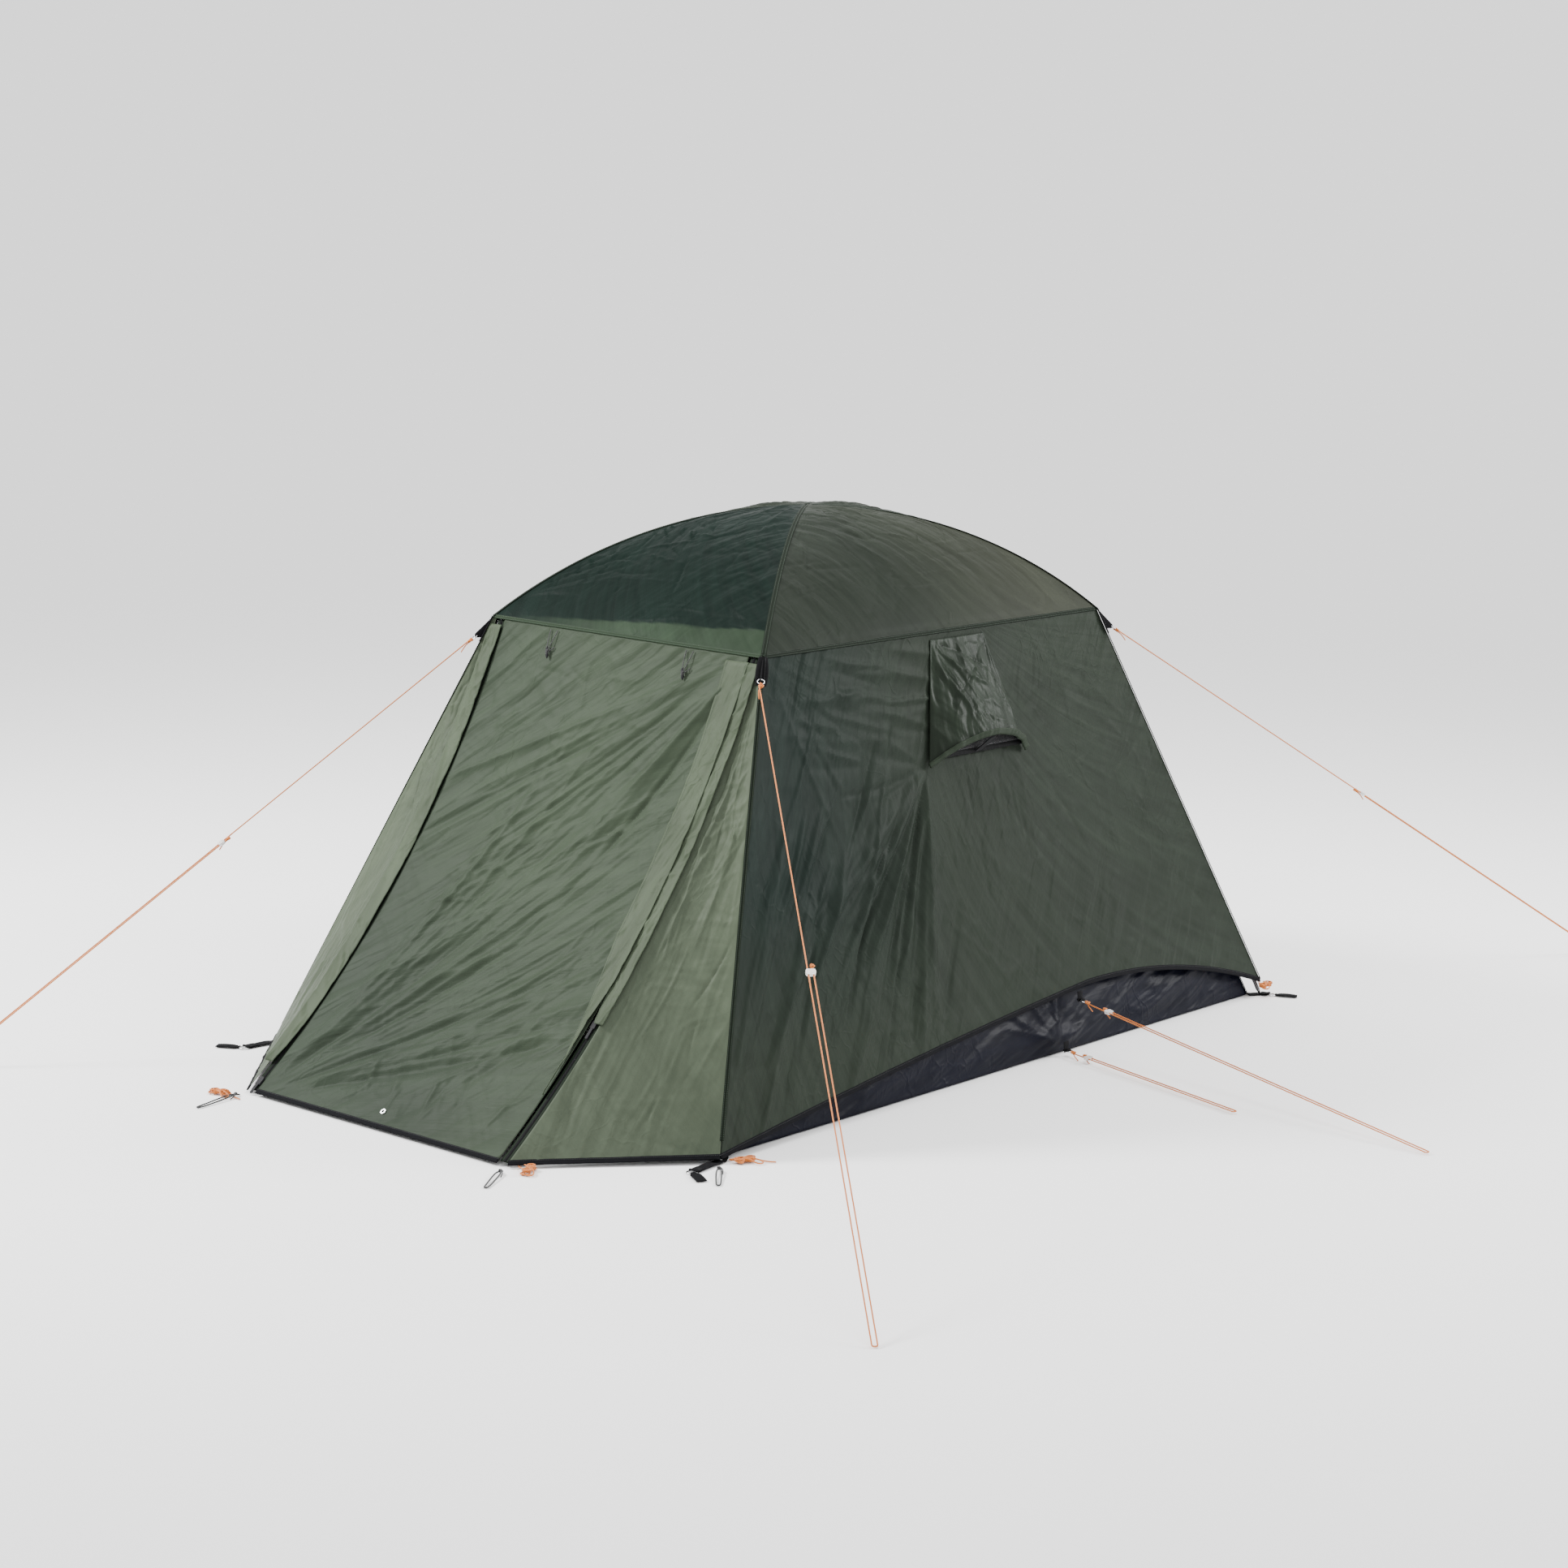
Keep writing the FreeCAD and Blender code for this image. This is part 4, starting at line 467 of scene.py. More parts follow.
def add_tube(builder, path, radius, segments=8):
    """Tube along a path added to the mesh builder, with girth and run in its map."""
    sides, ups = tube_frames(path)
    lengths = np.r_[0, np.cumsum(np.linalg.norm(np.diff(path, axis=0), axis=1))]
    base = len(builder["points"])
    for index, point in enumerate(path):
        for turn in range(segments):
            angle = 2 * math.pi * turn / segments
            reach = sides[index] * math.cos(angle) + ups[index] * math.sin(angle)
            builder["points"].append(tuple(point + reach * radius))
    for index in range(len(path) - 1):
        first, second = base + index * segments, base + (index + 1) * segments
        for turn in range(segments):
            other = (turn + 1) % segments
            builder["faces"].append([first + turn, first + other, second + other, second + turn])
            low, high = turn / segments, (turn + 1) / segments
            builder["map"].append([(low, lengths[index]), (high, lengths[index]), (high, lengths[index + 1]),
                                   (low, lengths[index + 1])])
    for index, order in ((0, reversed(range(segments))), (len(path) - 1, range(segments))):
        builder["faces"].append([base + index * segments + turn for turn in order])
        builder["map"].append([(0.5, lengths[index])] * segments)


def new_builder():
    return {"points": [], "faces": [], "map": []}


def built_mesh(builder, name):
    """Mesh of a builder's points and faces, with its map."""
    mesh = bpy.data.meshes.new(name)
    mesh.from_pydata(builder["points"], [], builder["faces"])
    layer = mesh.uv_layers.new(name="cloth")
    flat = np.array([corner for face in builder["map"] for corner in face], dtype=np.float32)
    layer.data.foreach_set("uv", flat.ravel())
    strain = mesh.uv_layers.new(name="strain")
    strain.data.foreach_set("uv", flat.ravel())
    mesh.validate()
    return mesh


def made_piece(builder, name, material, body, slot, replaced=()):
    """Piece from a builder's mesh."""
    return link_piece(name, built_mesh(builder, name), material, body, slot, replaced)


GUY_PEGS = {
    "front_right": (1.683, -1.771),
    "front_left": (-1.060, -1.800),
    "back_right": (1.115, 2.196),
    "side_hem": (1.776, 0.084),
    "side_floor": (1.288, 0.054),
}
GUY_LOCK_SHARES = {"front_right": 0.485, "front_left": 0.485, "back_right": 0.485, "side_hem": 0.07, "side_floor": 0.1}
SIDE_LOOPS = {"side_hem": (0.697, 0.272, 0.124), "side_floor": (0.717, 0.194, 0.014)}
GUY_RADIUS = 0.0016
BIGHT_RADIUS = 0.0056
LOCK_LENGTH = 0.016
RING_RADIUS = 0.008
RING_WIRE = 0.0012
GUSSET_DROP = 0.046
GUSSET_REACH = 0.016


def leg_outward(height, depth=0.0):
    """Distance from the middle to a leg edge at a height, a depth inside the corner."""
    run = FOOT_REACH - HALF_DIAGONAL
    return FOOT_REACH - height * run / SHOULDER_Z - depth * math.hypot(run, SHOULDER_Z) / SHOULDER_Z


def guy_eye(name):
    """Place where a guy line's ring is sewn on."""
    if name in CORNERS:
        height = SHOULDER_Z - GUSSET_DROP
        reach = leg_outward(height) + GUSSET_REACH
        side, end = CORNERS[name]
        return Vector((side * ALONG_X * reach, end * ALONG_Y * reach, height))
    x, y, z = SIDE_LOOPS[name]
    return Vector((x + 0.002, y, z))


def guy_course(name):
    """Knot, bight centre, line direction and sideways direction of a guy line."""
    eye = guy_eye(name)
    bight = Vector((*GUY_PEGS[name], 2 * GUY_RADIUS + 0.0026))
    along = (bight - eye).normalized()
    sideways = along.cross(Vector((0, 0, 1))).normalized()
    knot = eye + along * (2 * RING_RADIUS + RING_WIRE + GUY_RADIUS + 0.001)
    return knot, bight, along, sideways


def knot_turns(builder, centre, along, sideways, size, radius):
    """Small tight knot: three turns of cord about the line and one crossing loop, with a short tail."""
    centre, along, sideways = np.array(centre), np.array(along), np.array(sideways)
    up = np.cross(along, sideways)
    steps = np.linspace(0, 3 * 2 * math.pi, 50)
    reach = radius * 1.75
    coil = [centre + sideways * math.cos(t) * reach + up * math.sin(t) * reach + along * (t / (6 * math.pi) - 0.5) * size
            for t in steps]
    add_tube(builder, np.array(coil), radius * 0.9, 7)
    steps = np.linspace(0, 2 * math.pi, 26)
    loop = [centre + along * math.cos(t) * size * 0.62 + sideways * math.sin(t) * reach * 1.5
            + up * math.sin(2 * t) * reach * 0.9 for t in steps]
    add_tube(builder, np.array(loop), radius * 0.9, 7)
    start = centre + along * size * 0.2 + up * reach
    tail = nurbs_points([start, start + sideways * 0.006 + along * 0.006,
                         start + sideways * 0.009 + along * 0.016 - np.array((0, 0, 0.004)),
                         start + sideways * 0.008 + along * 0.026 - np.array((0, 0, 0.01))], "tail")
    add_tube(builder, even_steps(tail, 0.002)[0], radius * 0.85, 7)


def rest_on_ground(builder):
    """Flatten whatever would sink into the ground."""
    builder["points"] = [(x, y, max(z, 0.0002)) for x, y, z in builder["points"]]


def lay_guy_lines():
    """Taut guy lines: from the knot to the peg's bight and back up to the line lock."""
    for name in GUY_PEGS:
        knot, bight, along, sideways = guy_course(name)
        share = GUY_LOCK_SHARES[name]
        length = (bight - knot).length
        out = sideways * BIGHT_RADIUS
        near = along * (12 * GUY_RADIUS)
        beyond = along * BIGHT_RADIUS * 1.15
        back_end = bight - out - along * (length * (1 - share) + LOCK_LENGTH)
        route = [knot + out, knot + out + near, bight + out - near, bight + out, bight + out + beyond,
                 bight - out + beyond, bight - out, bight - out - near, back_end + near, back_end]
        path, run = even_steps(nurbs_points(route, "guy_route"), 0.004)
        builder = new_builder()
        add_tube(builder, path, GUY_RADIUS, 8)
        line = made_piece(builder, f"cord_guy_{name}", ORANGE, "frame", "orange_cord",
                          (f"guy_line_{name}",))
        knots = new_builder()
        knot_turns(knots, knot + along * 0.001, along, sideways, 0.011, GUY_RADIUS)
        rest_on_ground(knots)
        tied = made_piece(knots, f"guy_knot_{name}", ORANGE, "frame", "orange_cord")
        ends = new_builder()
        knot_turns(ends, back_end - along * 0.003, along, sideways, 0.006, GUY_RADIUS)
        rest_on_ground(ends)
        stopper = made_piece(ends, f"guy_end_{name}", ORANGE, "frame", "orange_cord")


lay_guy_lines()


# ---------------------------------------------------------------- cloth surfaces

def hashed(xi, yi, seed):
    """Repeatable value from -1 to 1 at whole-number places."""
    value = (xi.astype(np.int64) * 374761393 + yi.astype(np.int64) * 668265263 + seed * 974634777) & 0xFFFFFFFF
    value = ((value ^ (value >> 13)) * 1274126177) & 0xFFFFFFFF
    value = (value ^ (value >> 16)) & 0xFFFFFFFF
    return value / 2147483647.5 - 1.0


def cloth_noise(x, y, seed):
    """Smooth noise from -1 to 1 with features one unit apart."""
    xi, yi = np.floor(x), np.floor(y)
    fx, fy = x - xi, y - yi
    fx = fx * fx * fx * (fx * (fx * 6 - 15) + 10)
    fy = fy * fy * fy * (fy * (fy * 6 - 15) + 10)
    corner = [hashed(xi + dx, yi + dy, seed) for dy in (0, 1) for dx in (0, 1)]
    low = corner[0] + (corner[1] - corner[0]) * fx
    high = corner[2] + (corner[3] - corner[2]) * fx
    return low + (high - low) * fy


def crumple(a, b, seed, size=0.09, octaves=3, stretch=(1.0, 1.0), turn=0.0):
    """Creased, crumpled relief from 0 to 1: sharp ridges between facets."""
    ca, sa = math.cos(turn), math.sin(turn)
    x = (a * ca + b * sa) / size * stretch[0]
    y = (b * ca - a * sa) / size * stretch[1]
    wx = cloth_noise(x * 0.7 + 11, y * 0.7, seed + 5) * 0.8
    wy = cloth_noise(x * 0.7, y * 0.7 + 23, seed + 6) * 0.8
    total, weight, scale = np.zeros_like(a), 0.0, 1.0
    for octave in range(octaves):
        ridge = 1 - np.abs(cloth_noise((x + wx) * scale, (y + wy) * scale, seed + 17 * octave))
        total += ridge ** 2.5 / scale ** 0.85
        weight += 1 / scale ** 0.85
        scale *= 2.1
    return total / weight


def one_fold(a, b, start, end, half_width, height, bow):
    """One strain fold between two places, tapering to nothing at both ends."""
    ax, ay = start
    dx, dy = end[0] - ax, end[1] - ay
    length = math.hypot(dx, dy)
    ux, uy = dx / length, dy / length
    s = ((a - ax) * ux + (b - ay) * uy) / length
    d = -(a - ax) * uy + (b - ay) * ux - bow * 4 * s * (1 - s) * length
    inside = np.clip(s, 0, 1)
    taper = np.sin(np.pi * inside) ** 0.7
    spread_out = half_width * (0.55 + 0.75 * np.sin(np.pi * inside))
    return height * taper * np.exp(-2.4 * np.abs(d / spread_out) ** 1.25)


def fan_of_folds(a, b, origin, first, last, count, near, far, half_width, height, seed, bow=0.05):
    """Folds that run out from one place between two directions, in degrees."""
    rng = np.random.default_rng(seed)
    relief = np.zeros_like(a)
    for index in range(count):
        share = (index + rng.uniform(-0.35, 0.35)) / (count - 1)
        angle = math.radians(first + (last - first) * share)
        low = near * rng.uniform(0.5, 1.5)
        high = far * rng.uniform(0.45, 1.05)
        if high < low * 1.3:
            continue
        start = (origin[0] + low * math.cos(angle), origin[1] + low * math.sin(angle))
        end = (origin[0] + high * math.cos(angle), origin[1] + high * math.sin(angle))
        tall = height * rng.uniform(0.35, 1.15) * rng.choice((1, 1, -1))
        relief += one_fold(a, b, start, end, half_width * rng.uniform(0.55, 1.4), tall, bow * rng.uniform(-1, 1))
    return relief


def scattered_folds(a, b, area, angle, spread_angle, count, length, half_width, height, seed, bow=0.06):
    """Folds scattered over a box of cloth, all near one direction, in degrees."""
    rng = np.random.default_rng(seed)
    relief = np.zeros_like(a)
    for _ in range(count):
        centre = (rng.uniform(area[0], area[1]), rng.uniform(area[2], area[3]))
        turn = math.radians(angle + rng.normal(0, spread_angle))
        half = length * rng.uniform(0.4, 1.2) / 2
        start = (centre[0] - half * math.cos(turn), centre[1] - half * math.sin(turn))
        end = (centre[0] + half * math.cos(turn), centre[1] + half * math.sin(turn))
        tall = height * rng.uniform(0.3, 1.1) * rng.choice((1, 1, -1))
        relief += one_fold(a, b, start, end, half_width * rng.uniform(0.5, 1.5), tall, bow * rng.uniform(-1, 1))
    return relief


def add_folds(relief, a, b, *rows):
    """Relief with groups of folds added, each row a kind of group and its measures."""
    for kind, *measures in rows:
        relief = relief + kind(a, b, *measures)
    return relief


def edge_ease(distance, over):
    """0 at a sewn edge, rising smoothly to 1 a distance inside it."""
    t = np.clip(distance / over, 0, 1)
    return t * t * (3 - 2 * t)


def grid_normals(points, flip):
    """Outward direction at each place of a grid."""
    normals = np.cross(np.gradient(points, axis=1), np.gradient(points, axis=0))
    size = np.linalg.norm(normals, axis=2, keepdims=True)
    size[size < 1e-12] = 1
    return normals / size * (-1 if flip else 1)


def grid_mesh(name, points, cloth_map, strain_map, painted_light_shade=None, flip=False):
    """Closed thin sheet from a grid of outer points, with both maps."""
    rows, columns = points.shape[:2]
    inner = points - grid_normals(points, flip) * CLOTH
    count = rows * columns
    vertices = np.concatenate([points.reshape(-1, 3), inner.reshape(-1, 3)])
    index = np.arange(count).reshape(rows, columns)
    quads = np.stack([index[:-1, :-1], index[:-1, 1:], index[1:, 1:], index[1:, :-1]], axis=-1).reshape(-1, 4)
    back = quads[:, ::-1] + count
    ring = np.concatenate([index[0, :-1], index[:-1, -1], index[-1, :0:-1], index[:0:-1, 0]])
    following = np.roll(ring, -1)
    rim = np.stack([following, ring, ring + count, following + count], axis=-1)
    faces = np.concatenate([quads, back, rim])
    if flip:
        faces = faces[:, ::-1]
    mesh = bpy.data.meshes.new(name)
    mesh.vertices.add(len(vertices))
    mesh.vertices.foreach_set("co", vertices.astype(np.float32).ravel())
    mesh.loops.add(faces.size)
    mesh.loops.foreach_set("vertex_index", faces.astype(np.int32).ravel())
    mesh.polygons.add(len(faces))
    mesh.polygons.foreach_set("loop_start", (np.arange(len(faces)) * 4).astype(np.int32))
    for label, values in (("cloth", cloth_map), ("strain", strain_map)):
        layer = mesh.uv_layers.new(name=label)
        per_vertex = np.concatenate([values.reshape(-1, 2)] * 2)
        layer.data.foreach_set("uv", per_vertex[faces.ravel()].astype(np.float32).ravel())
    # Share of painted light and shade at each point.
    if painted_light_shade is not None:
        attribute = mesh.attributes.new("painted_light_shade", "FLOAT", "POINT")
        attribute.data.foreach_set("value", np.concatenate([painted_light_shade.ravel()] * 2).astype(np.float32))
    mesh.update(calc_edges=True)
    mesh.validate()
    tidy = bmesh.new()
    tidy.from_mesh(mesh)
    bmesh.ops.remove_doubles(tidy, verts=tidy.verts, dist=0.00005)
    tidy.to_mesh(mesh)
    tidy.free()
    return mesh


def sheet_piece(name, node, surface, shape, relief, strain, material, slot, body="frame", painted_light_shade=None, flip=False,
                offset=0.0):
    """One sewn panel: its surface, the relief of its folds, its maps, its node and its size before sewing."""
    columns, rows = shape
    u, v = np.meshgrid(np.linspace(0, 1, columns), np.linspace(0, 1, rows))
    points, a, b = surface(u, v)
    lift = relief(a, b, u, v) + offset
    points = points + grid_normals(points, flip) * lift[..., None]
    points[..., 2] = np.maximum(points[..., 2], 0.0012)
    cloth_map = np.stack([a, b], axis=-1)
    strain_map = strain(a, b)
    # Painted light and shade over the panel, where it has any.
    shade = painted_light_shade(a, b, u, v) if painted_light_shade else None
    mesh = grid_mesh(name, points, cloth_map, strain_map, shade, flip)
    piece = link_piece(name, mesh, material, body, slot, (node,))
    return piece, points


def strain_from(focus):
    """Map whose second axis runs outwards from a place, as strain lines do."""
    def strain(a, b):
        dx, dy = a - focus[0], b - focus[1]
        radius = np.hypot(dx, dy) + 0.25
        return np.stack([np.arctan2(dy, dx) * (radius * 0.5 + 0.35), radius], axis=-1)
    return strain


def strain_along(angle):
    """Map whose second axis runs in one direction, in degrees."""
    turn = math.radians(angle)

    def strain(a, b):
        return np.stack([-a * math.sin(turn) + b * math.cos(turn), a * math.cos(turn) + b * math.sin(turn)], axis=-1)
    return strain


def arc_through(a, first, middle, last):
    """Height at a of the circular arc through three places."""
    (x1, y1), (x2, y2), (x3, y3) = first, middle, last
    d = 2 * (x1 * (y2 - y3) + x2 * (y3 - y1) + x3 * (y1 - y2))
    s1, s2, s3 = x1 * x1 + y1 * y1, x2 * x2 + y2 * y2, x3 * x3 + y3 * y3
    cx = (s1 * (y2 - y3) + s2 * (y3 - y1) + s3 * (y1 - y2)) / d
    cy = (s1 * (x3 - x2) + s2 * (x1 - x3) + s3 * (x2 - x1)) / d
    radius = math.hypot(x1 - cx, y1 - cy)
    return cy + math.copysign(1, y2 - cy) * np.sqrt(np.maximum(radius ** 2 - (a - cx) ** 2, 0))


HEM_FRONT, HEM_PEAK, HEM_REAR, HEM_PEAK_AT = 0.014, 0.161, 0.042, 0.335
SIDE_RATIO = (FOOT_Y - SHOULDER_Y) / SIDE_SLOPE
HEM_START = -FOOT_Y + HEM_FRONT * SIDE_RATIO + 0.0015
HEM_END = FOOT_Y - HEM_REAR * SIDE_RATIO - 0.0036


def side_hem(a):
    """Height up the slope of the side wall's hem."""
    front = arc_through(a, (HEM_START, HEM_FRONT),
                        (HEM_START * 0.46 + HEM_PEAK_AT * 0.54, HEM_FRONT + (HEM_PEAK - HEM_FRONT) * 0.6),
                        (HEM_PEAK_AT, HEM_PEAK))
    rear = arc_through(a, (HEM_PEAK_AT, HEM_PEAK), (HEM_END * 0.6 + HEM_PEAK_AT * 0.4, HEM_REAR + (HEM_PEAK - HEM_REAR) * 0.68),
                       (HEM_END, HEM_REAR))
    return np.where(a < HEM_PEAK_AT, front, rear)


SIDE_UP = np.array(((SHOULDER_X - FOOT_X) / SIDE_SLOPE, 0.0, SHOULDER_Z / SIDE_SLOPE))
SIDE_OUT = np.array((SHOULDER_Z / SIDE_SLOPE, 0.0, (FOOT_X - SHOULDER_X) / SIDE_SLOPE))


def side_place(a, b, out=0.0, side=1):
    """Point on a side wall: along, up the slope and out of it."""
    out = np.asarray(out, dtype=float)
    points = np.stack([FOOT_X + b * SIDE_UP[0] + out * SIDE_OUT[0], a + 0 * b, b * SIDE_UP[2] + out * SIDE_OUT[2]], axis=-1)
    points[..., 0] *= side
    return points


def side_surface(side):
    def surface(u, v):
        b = HEM_FRONT + (SIDE_SLOPE - HEM_FRONT) * v
        for _ in range(4):
            a = -(FOOT_Y - b * SIDE_RATIO) + 0.0012 + (2 * (FOOT_Y - b * SIDE_RATIO) - 0.0040) * u
            low = side_hem(np.clip(a, HEM_START, HEM_END))
            b = low + (SIDE_SLOPE - 0.0016 - low) * v
        return side_place(a, b, 0.0, side), a, b
    return surface


VENT_MIDDLE, VENT_TOP_HALF, VENT_LIP_HALF = 0.060, 0.105, 0.195
VENT_TOP, VENT_LIP = 1.062, 0.762


def right_wall_relief(a, b, u, v):
    left, right, top = u, 1 - u, 1 - v
    width = 2 * (FOOT_Y - b * SIDE_RATIO)
    ease = edge_ease(left * width, 0.05) * edge_ease(right * width, 0.035) * edge_ease(top * SIDE_SLOPE, 0.022)
    hold = 0.25 + 0.75 * edge_ease((b - side_hem(np.clip(a, HEM_START, HEM_END))), 0.06)
    relief = -0.010 * np.sin(np.pi * u) ** 0.8 * np.sin(np.pi * np.clip(v, 0, 1)) ** 0.7
    corner = (VENT_MIDDLE - VENT_LIP_HALF, VENT_LIP)
    relief = add_folds(
        relief, a, b,
        (fan_of_folds, corner, 210, 258, 26, 0.02, 0.95, 0.020, 0.0100, 11, 0.02),
        (fan_of_folds, corner, 150, 206, 6, 0.02, 0.35, 0.014, 0.0045, 12),
        (scattered_folds, (-0.92, -0.22, 0.16, 0.78), 56, 4, 44, 0.50, 0.018, 0.0088, 13, 0.03),
        (scattered_folds, (-0.58, -0.12, 0.78, 1.06), -8, 6, 26, 0.26, 0.015, 0.0052, 14, 0.04),
        (scattered_folds, (-0.10, 0.24, 0.48, 0.72), 89, 3, 18, 0.24, 0.007, 0.0020, 15, 0.02),
        (scattered_folds, (0.28, 0.80, 0.25, 0.95), 70, 22, 12, 0.35, 0.016, 0.0018, 16, 0.05),
        (scattered_folds, (-1.0, 0.9, 0.12, 0.35), 14, 14, 16, 0.40, 0.020, 0.0018, 17, 0.05),
        (fan_of_folds, (0.655, SIDE_SLOPE), 205, 262, 9, 0.05, 0.55, 0.014, 0.0022, 18),
        (fan_of_folds, (-0.655, SIDE_SLOPE), 282, 338, 9, 0.05, 0.50, 0.012, 0.0030, 19),
        (fan_of_folds, (1.07, 0.05), 118, 172, 8, 0.05, 0.45, 0.014, 0.0018, 20))
    relief += 0.0024 * (crumple(a, b, 21, 0.11, 3, (1.0, 0.5), 0.9) - 0.4)
    return relief * ease * hold


def left_wall_relief(a, b, u, v):
    width = 2 * (FOOT_Y - b * SIDE_RATIO)
    ease = edge_ease(u * width, 0.05) * edge_ease((1 - u) * width, 0.035) * edge_ease((1 - v) * SIDE_SLOPE, 0.022)
    hold = 0.25 + 0.75 * edge_ease((b - side_hem(np.clip(a, HEM_START, HEM_END))), 0.06)
    relief = -0.010 * np.sin(np.pi * u) ** 0.8 * np.sin(np.pi * v) ** 0.7
    relief = add_folds(
        relief, a, b,
        (fan_of_folds, (-0.655, SIDE_SLOPE), 262, 335, 14, 0.05, 0.8, 0.018, 0.0045, 31),
        (fan_of_folds, (0.655, SIDE_SLOPE), 205, 275, 12, 0.05, 0.7, 0.016, 0.0036, 32),
        (fan_of_folds, (-1.07, 0.03), 12, 60, 12, 0.05, 0.8, 0.018, 0.0036, 33),
        (scattered_folds, (-0.5, 0.5, 0.2, 0.9), 84, 16, 20, 0.4, 0.016, 0.0022, 34),
        (scattered_folds, (-0.5, 0.5, 0.93, 1.05), 2, 5, 14, 0.25, 0.009, 0.0018, 35))
    relief += 0.0022 * (crumple(a, b, 36, 0.13, 3) - 0.4)
    return relief * ease * hold


def back_surface(u, v):
    ratio = (FOOT_X - SHOULDER_X) / BACK_SLOPE
    b = 0.042 + (BACK_SLOPE - 0.042) * v
    half_low = FOOT_X - 0.042 * ratio - 0.0036
    for _ in range(4):
        half = FOOT_X - b * ratio - 0.0022
        a = -half + 2 * half * u
        low = arc_through(np.clip(a, -half_low, half_low), (-half_low, 0.042), (0, 0.070), (half_low, 0.042))
        b = low + (BACK_SLOPE - 0.0016 - low) * v
    points = np.stack([-a, FOOT_Y + b * (SHOULDER_Y - FOOT_Y) / BACK_SLOPE, b * SHOULDER_Z / BACK_SLOPE], axis=-1)
    return points, a, b


def back_wall_relief(a, b, u, v):
    width = 2 * (FOOT_X - b * (FOOT_X - SHOULDER_X) / BACK_SLOPE)
    ease = edge_ease(u * width, 0.04) * edge_ease((1 - u) * width, 0.04) * edge_ease((1 - v) * BACK_SLOPE, 0.022)
    relief = -0.009 * np.sin(np.pi * u) * np.sin(np.pi * v) ** 0.7
    relief = add_folds(
        relief, a, b,
        (fan_of_folds, (-0.428, BACK_SLOPE), 262, 330, 10, 0.05, 0.8, 0.016, 0.0040, 41),
        (fan_of_folds, (0.428, BACK_SLOPE), 210, 278, 10, 0.05, 0.8, 0.016, 0.0040, 42),
        (fan_of_folds, (-0.70, 0.05), 15, 68, 9, 0.05, 0.7, 0.016, 0.0030, 43),
        (fan_of_folds, (0.70, 0.05), 112, 165, 9, 0.05, 0.7, 0.016, 0.0030, 44),
        (scattered_folds, (-0.3, 0.3, 0.1, 1.0), 86, 14, 14, 0.4, 0.014, 0.0020, 45))
    relief += 0.0022 * (crumple(a, b, 46, 0.12, 3) - 0.4)
    return relief * ease * (0.3 + 0.7 * edge_ease(v * BACK_SLOPE, 0.06))


def roof_surface(across, sign, depth=0.0):
    """Roof gore that faces along Y or X; a is across the gore, b is the distance down from the crown."""
    share = ALONG_Y if across == "Y" else ALONG_X
    radius = ROOF_RADIUS - depth
    ratio = SHOULDER_X / SHOULDER_Y if across == "Y" else SHOULDER_Y / SHOULDER_X
    reach = SHOULDER_Y if across == "Y" else SHOULDER_X

    def surface(u, v):
        limit = math.asin(min(1.0, (reach - 0.0012 - depth * 0.6) / (radius * share)))
        angle = limit * (0.004 + 0.996 * v)
        away = radius * share * np.sin(angle)
        height = ROOF_CENTRE + radius * np.cos(angle)
        a = (2 * u - 1) * np.maximum(away * ratio - 0.0012, 0.0004)
        b = radius * angle * (0.5 + 0.5 * share)
        if across == "Y":
            points = np.stack([a * -sign, sign * away, height], axis=-1)
        else:
            points = np.stack([sign * away, a * sign, height], axis=-1)
        return points, a * 1.0, -b
    return surface


def gore_relief(seed, length, width):
    """Relief of a roof gore: pulled in over the middle, crumpled below the crown, streaked above the eave."""
    def relief(a, b, u, v):
        span = np.maximum(2 * width * v, 0.001)
        ease = edge_ease(u * span, 0.028) * edge_ease((1 - u) * span, 0.028) * edge_ease((1 - v) * length, 0.02)
        ease *= edge_ease(v * length, 0.10)
        shape = -0.012 * np.sin(np.pi * u) ** 0.9 * np.sin(np.pi * v) ** 0.8
        shape = add_folds(
            shape, a, b,
            (scattered_folds, (-width * 0.8, width * 0.8, -length, -length * 0.72), 2, 5, 18, width * 0.6, 0.010, 0.0024,
             seed, 0.05),
            (fan_of_folds, (-width, -length), 8, 58, 8, 0.04, 0.38, 0.013, 0.0030, seed + 1),
            (fan_of_folds, (width, -length), 122, 172, 8, 0.04, 0.38, 0.013, 0.0030, seed + 2),
            (fan_of_folds, (0, 0), 238, 302, 11, 0.06, 0.34, 0.012, 0.0032, seed + 3),
            (scattered_folds, (-width * 0.5, width * 0.5, -length * 0.8, -length * 0.2), 60, 40, 22, 0.16, 0.008, 0.0032,
             seed + 4, 0.05),
            (scattered_folds, (-width * 0.8, -width * 0.05, -length * 0.95, -length * 0.15), 128, 16, 46, 0.09, 0.006, 0.0030,
             seed + 6, 0.12))
        upper = 0.35 + 0.65 * edge_ease((0.8 - v) * length, 0.2)
        shape += 0.0046 * (crumple(a, b, seed + 5, 0.070, 3, (1.0, 0.6), 0.6) - 0.42) * upper
        return shape * ease
    return relief


def door_place(x, run, out=0.0):
    """Point on the porch door: across, distance up its curve and out of it."""
    turn = DOOR_START + run / DOOR_RADIUS
    reach = DOOR_RADIUS - out
    return np.stack([x + 0 * run, DOOR_Y + reach * np.cos(turn), DOOR_Z + reach * np.sin(turn)], axis=-1)


DOOR_FOOT = 0.0175
DOOR_HEAD = DOOR_LENGTH - 0.004


def door_surface(u, v):
    a = -DOOR_HALF + 2 * DOOR_HALF * u
    b = DOOR_FOOT + (DOOR_HEAD - DOOR_FOOT) * v
    return door_place(a, b), a, b


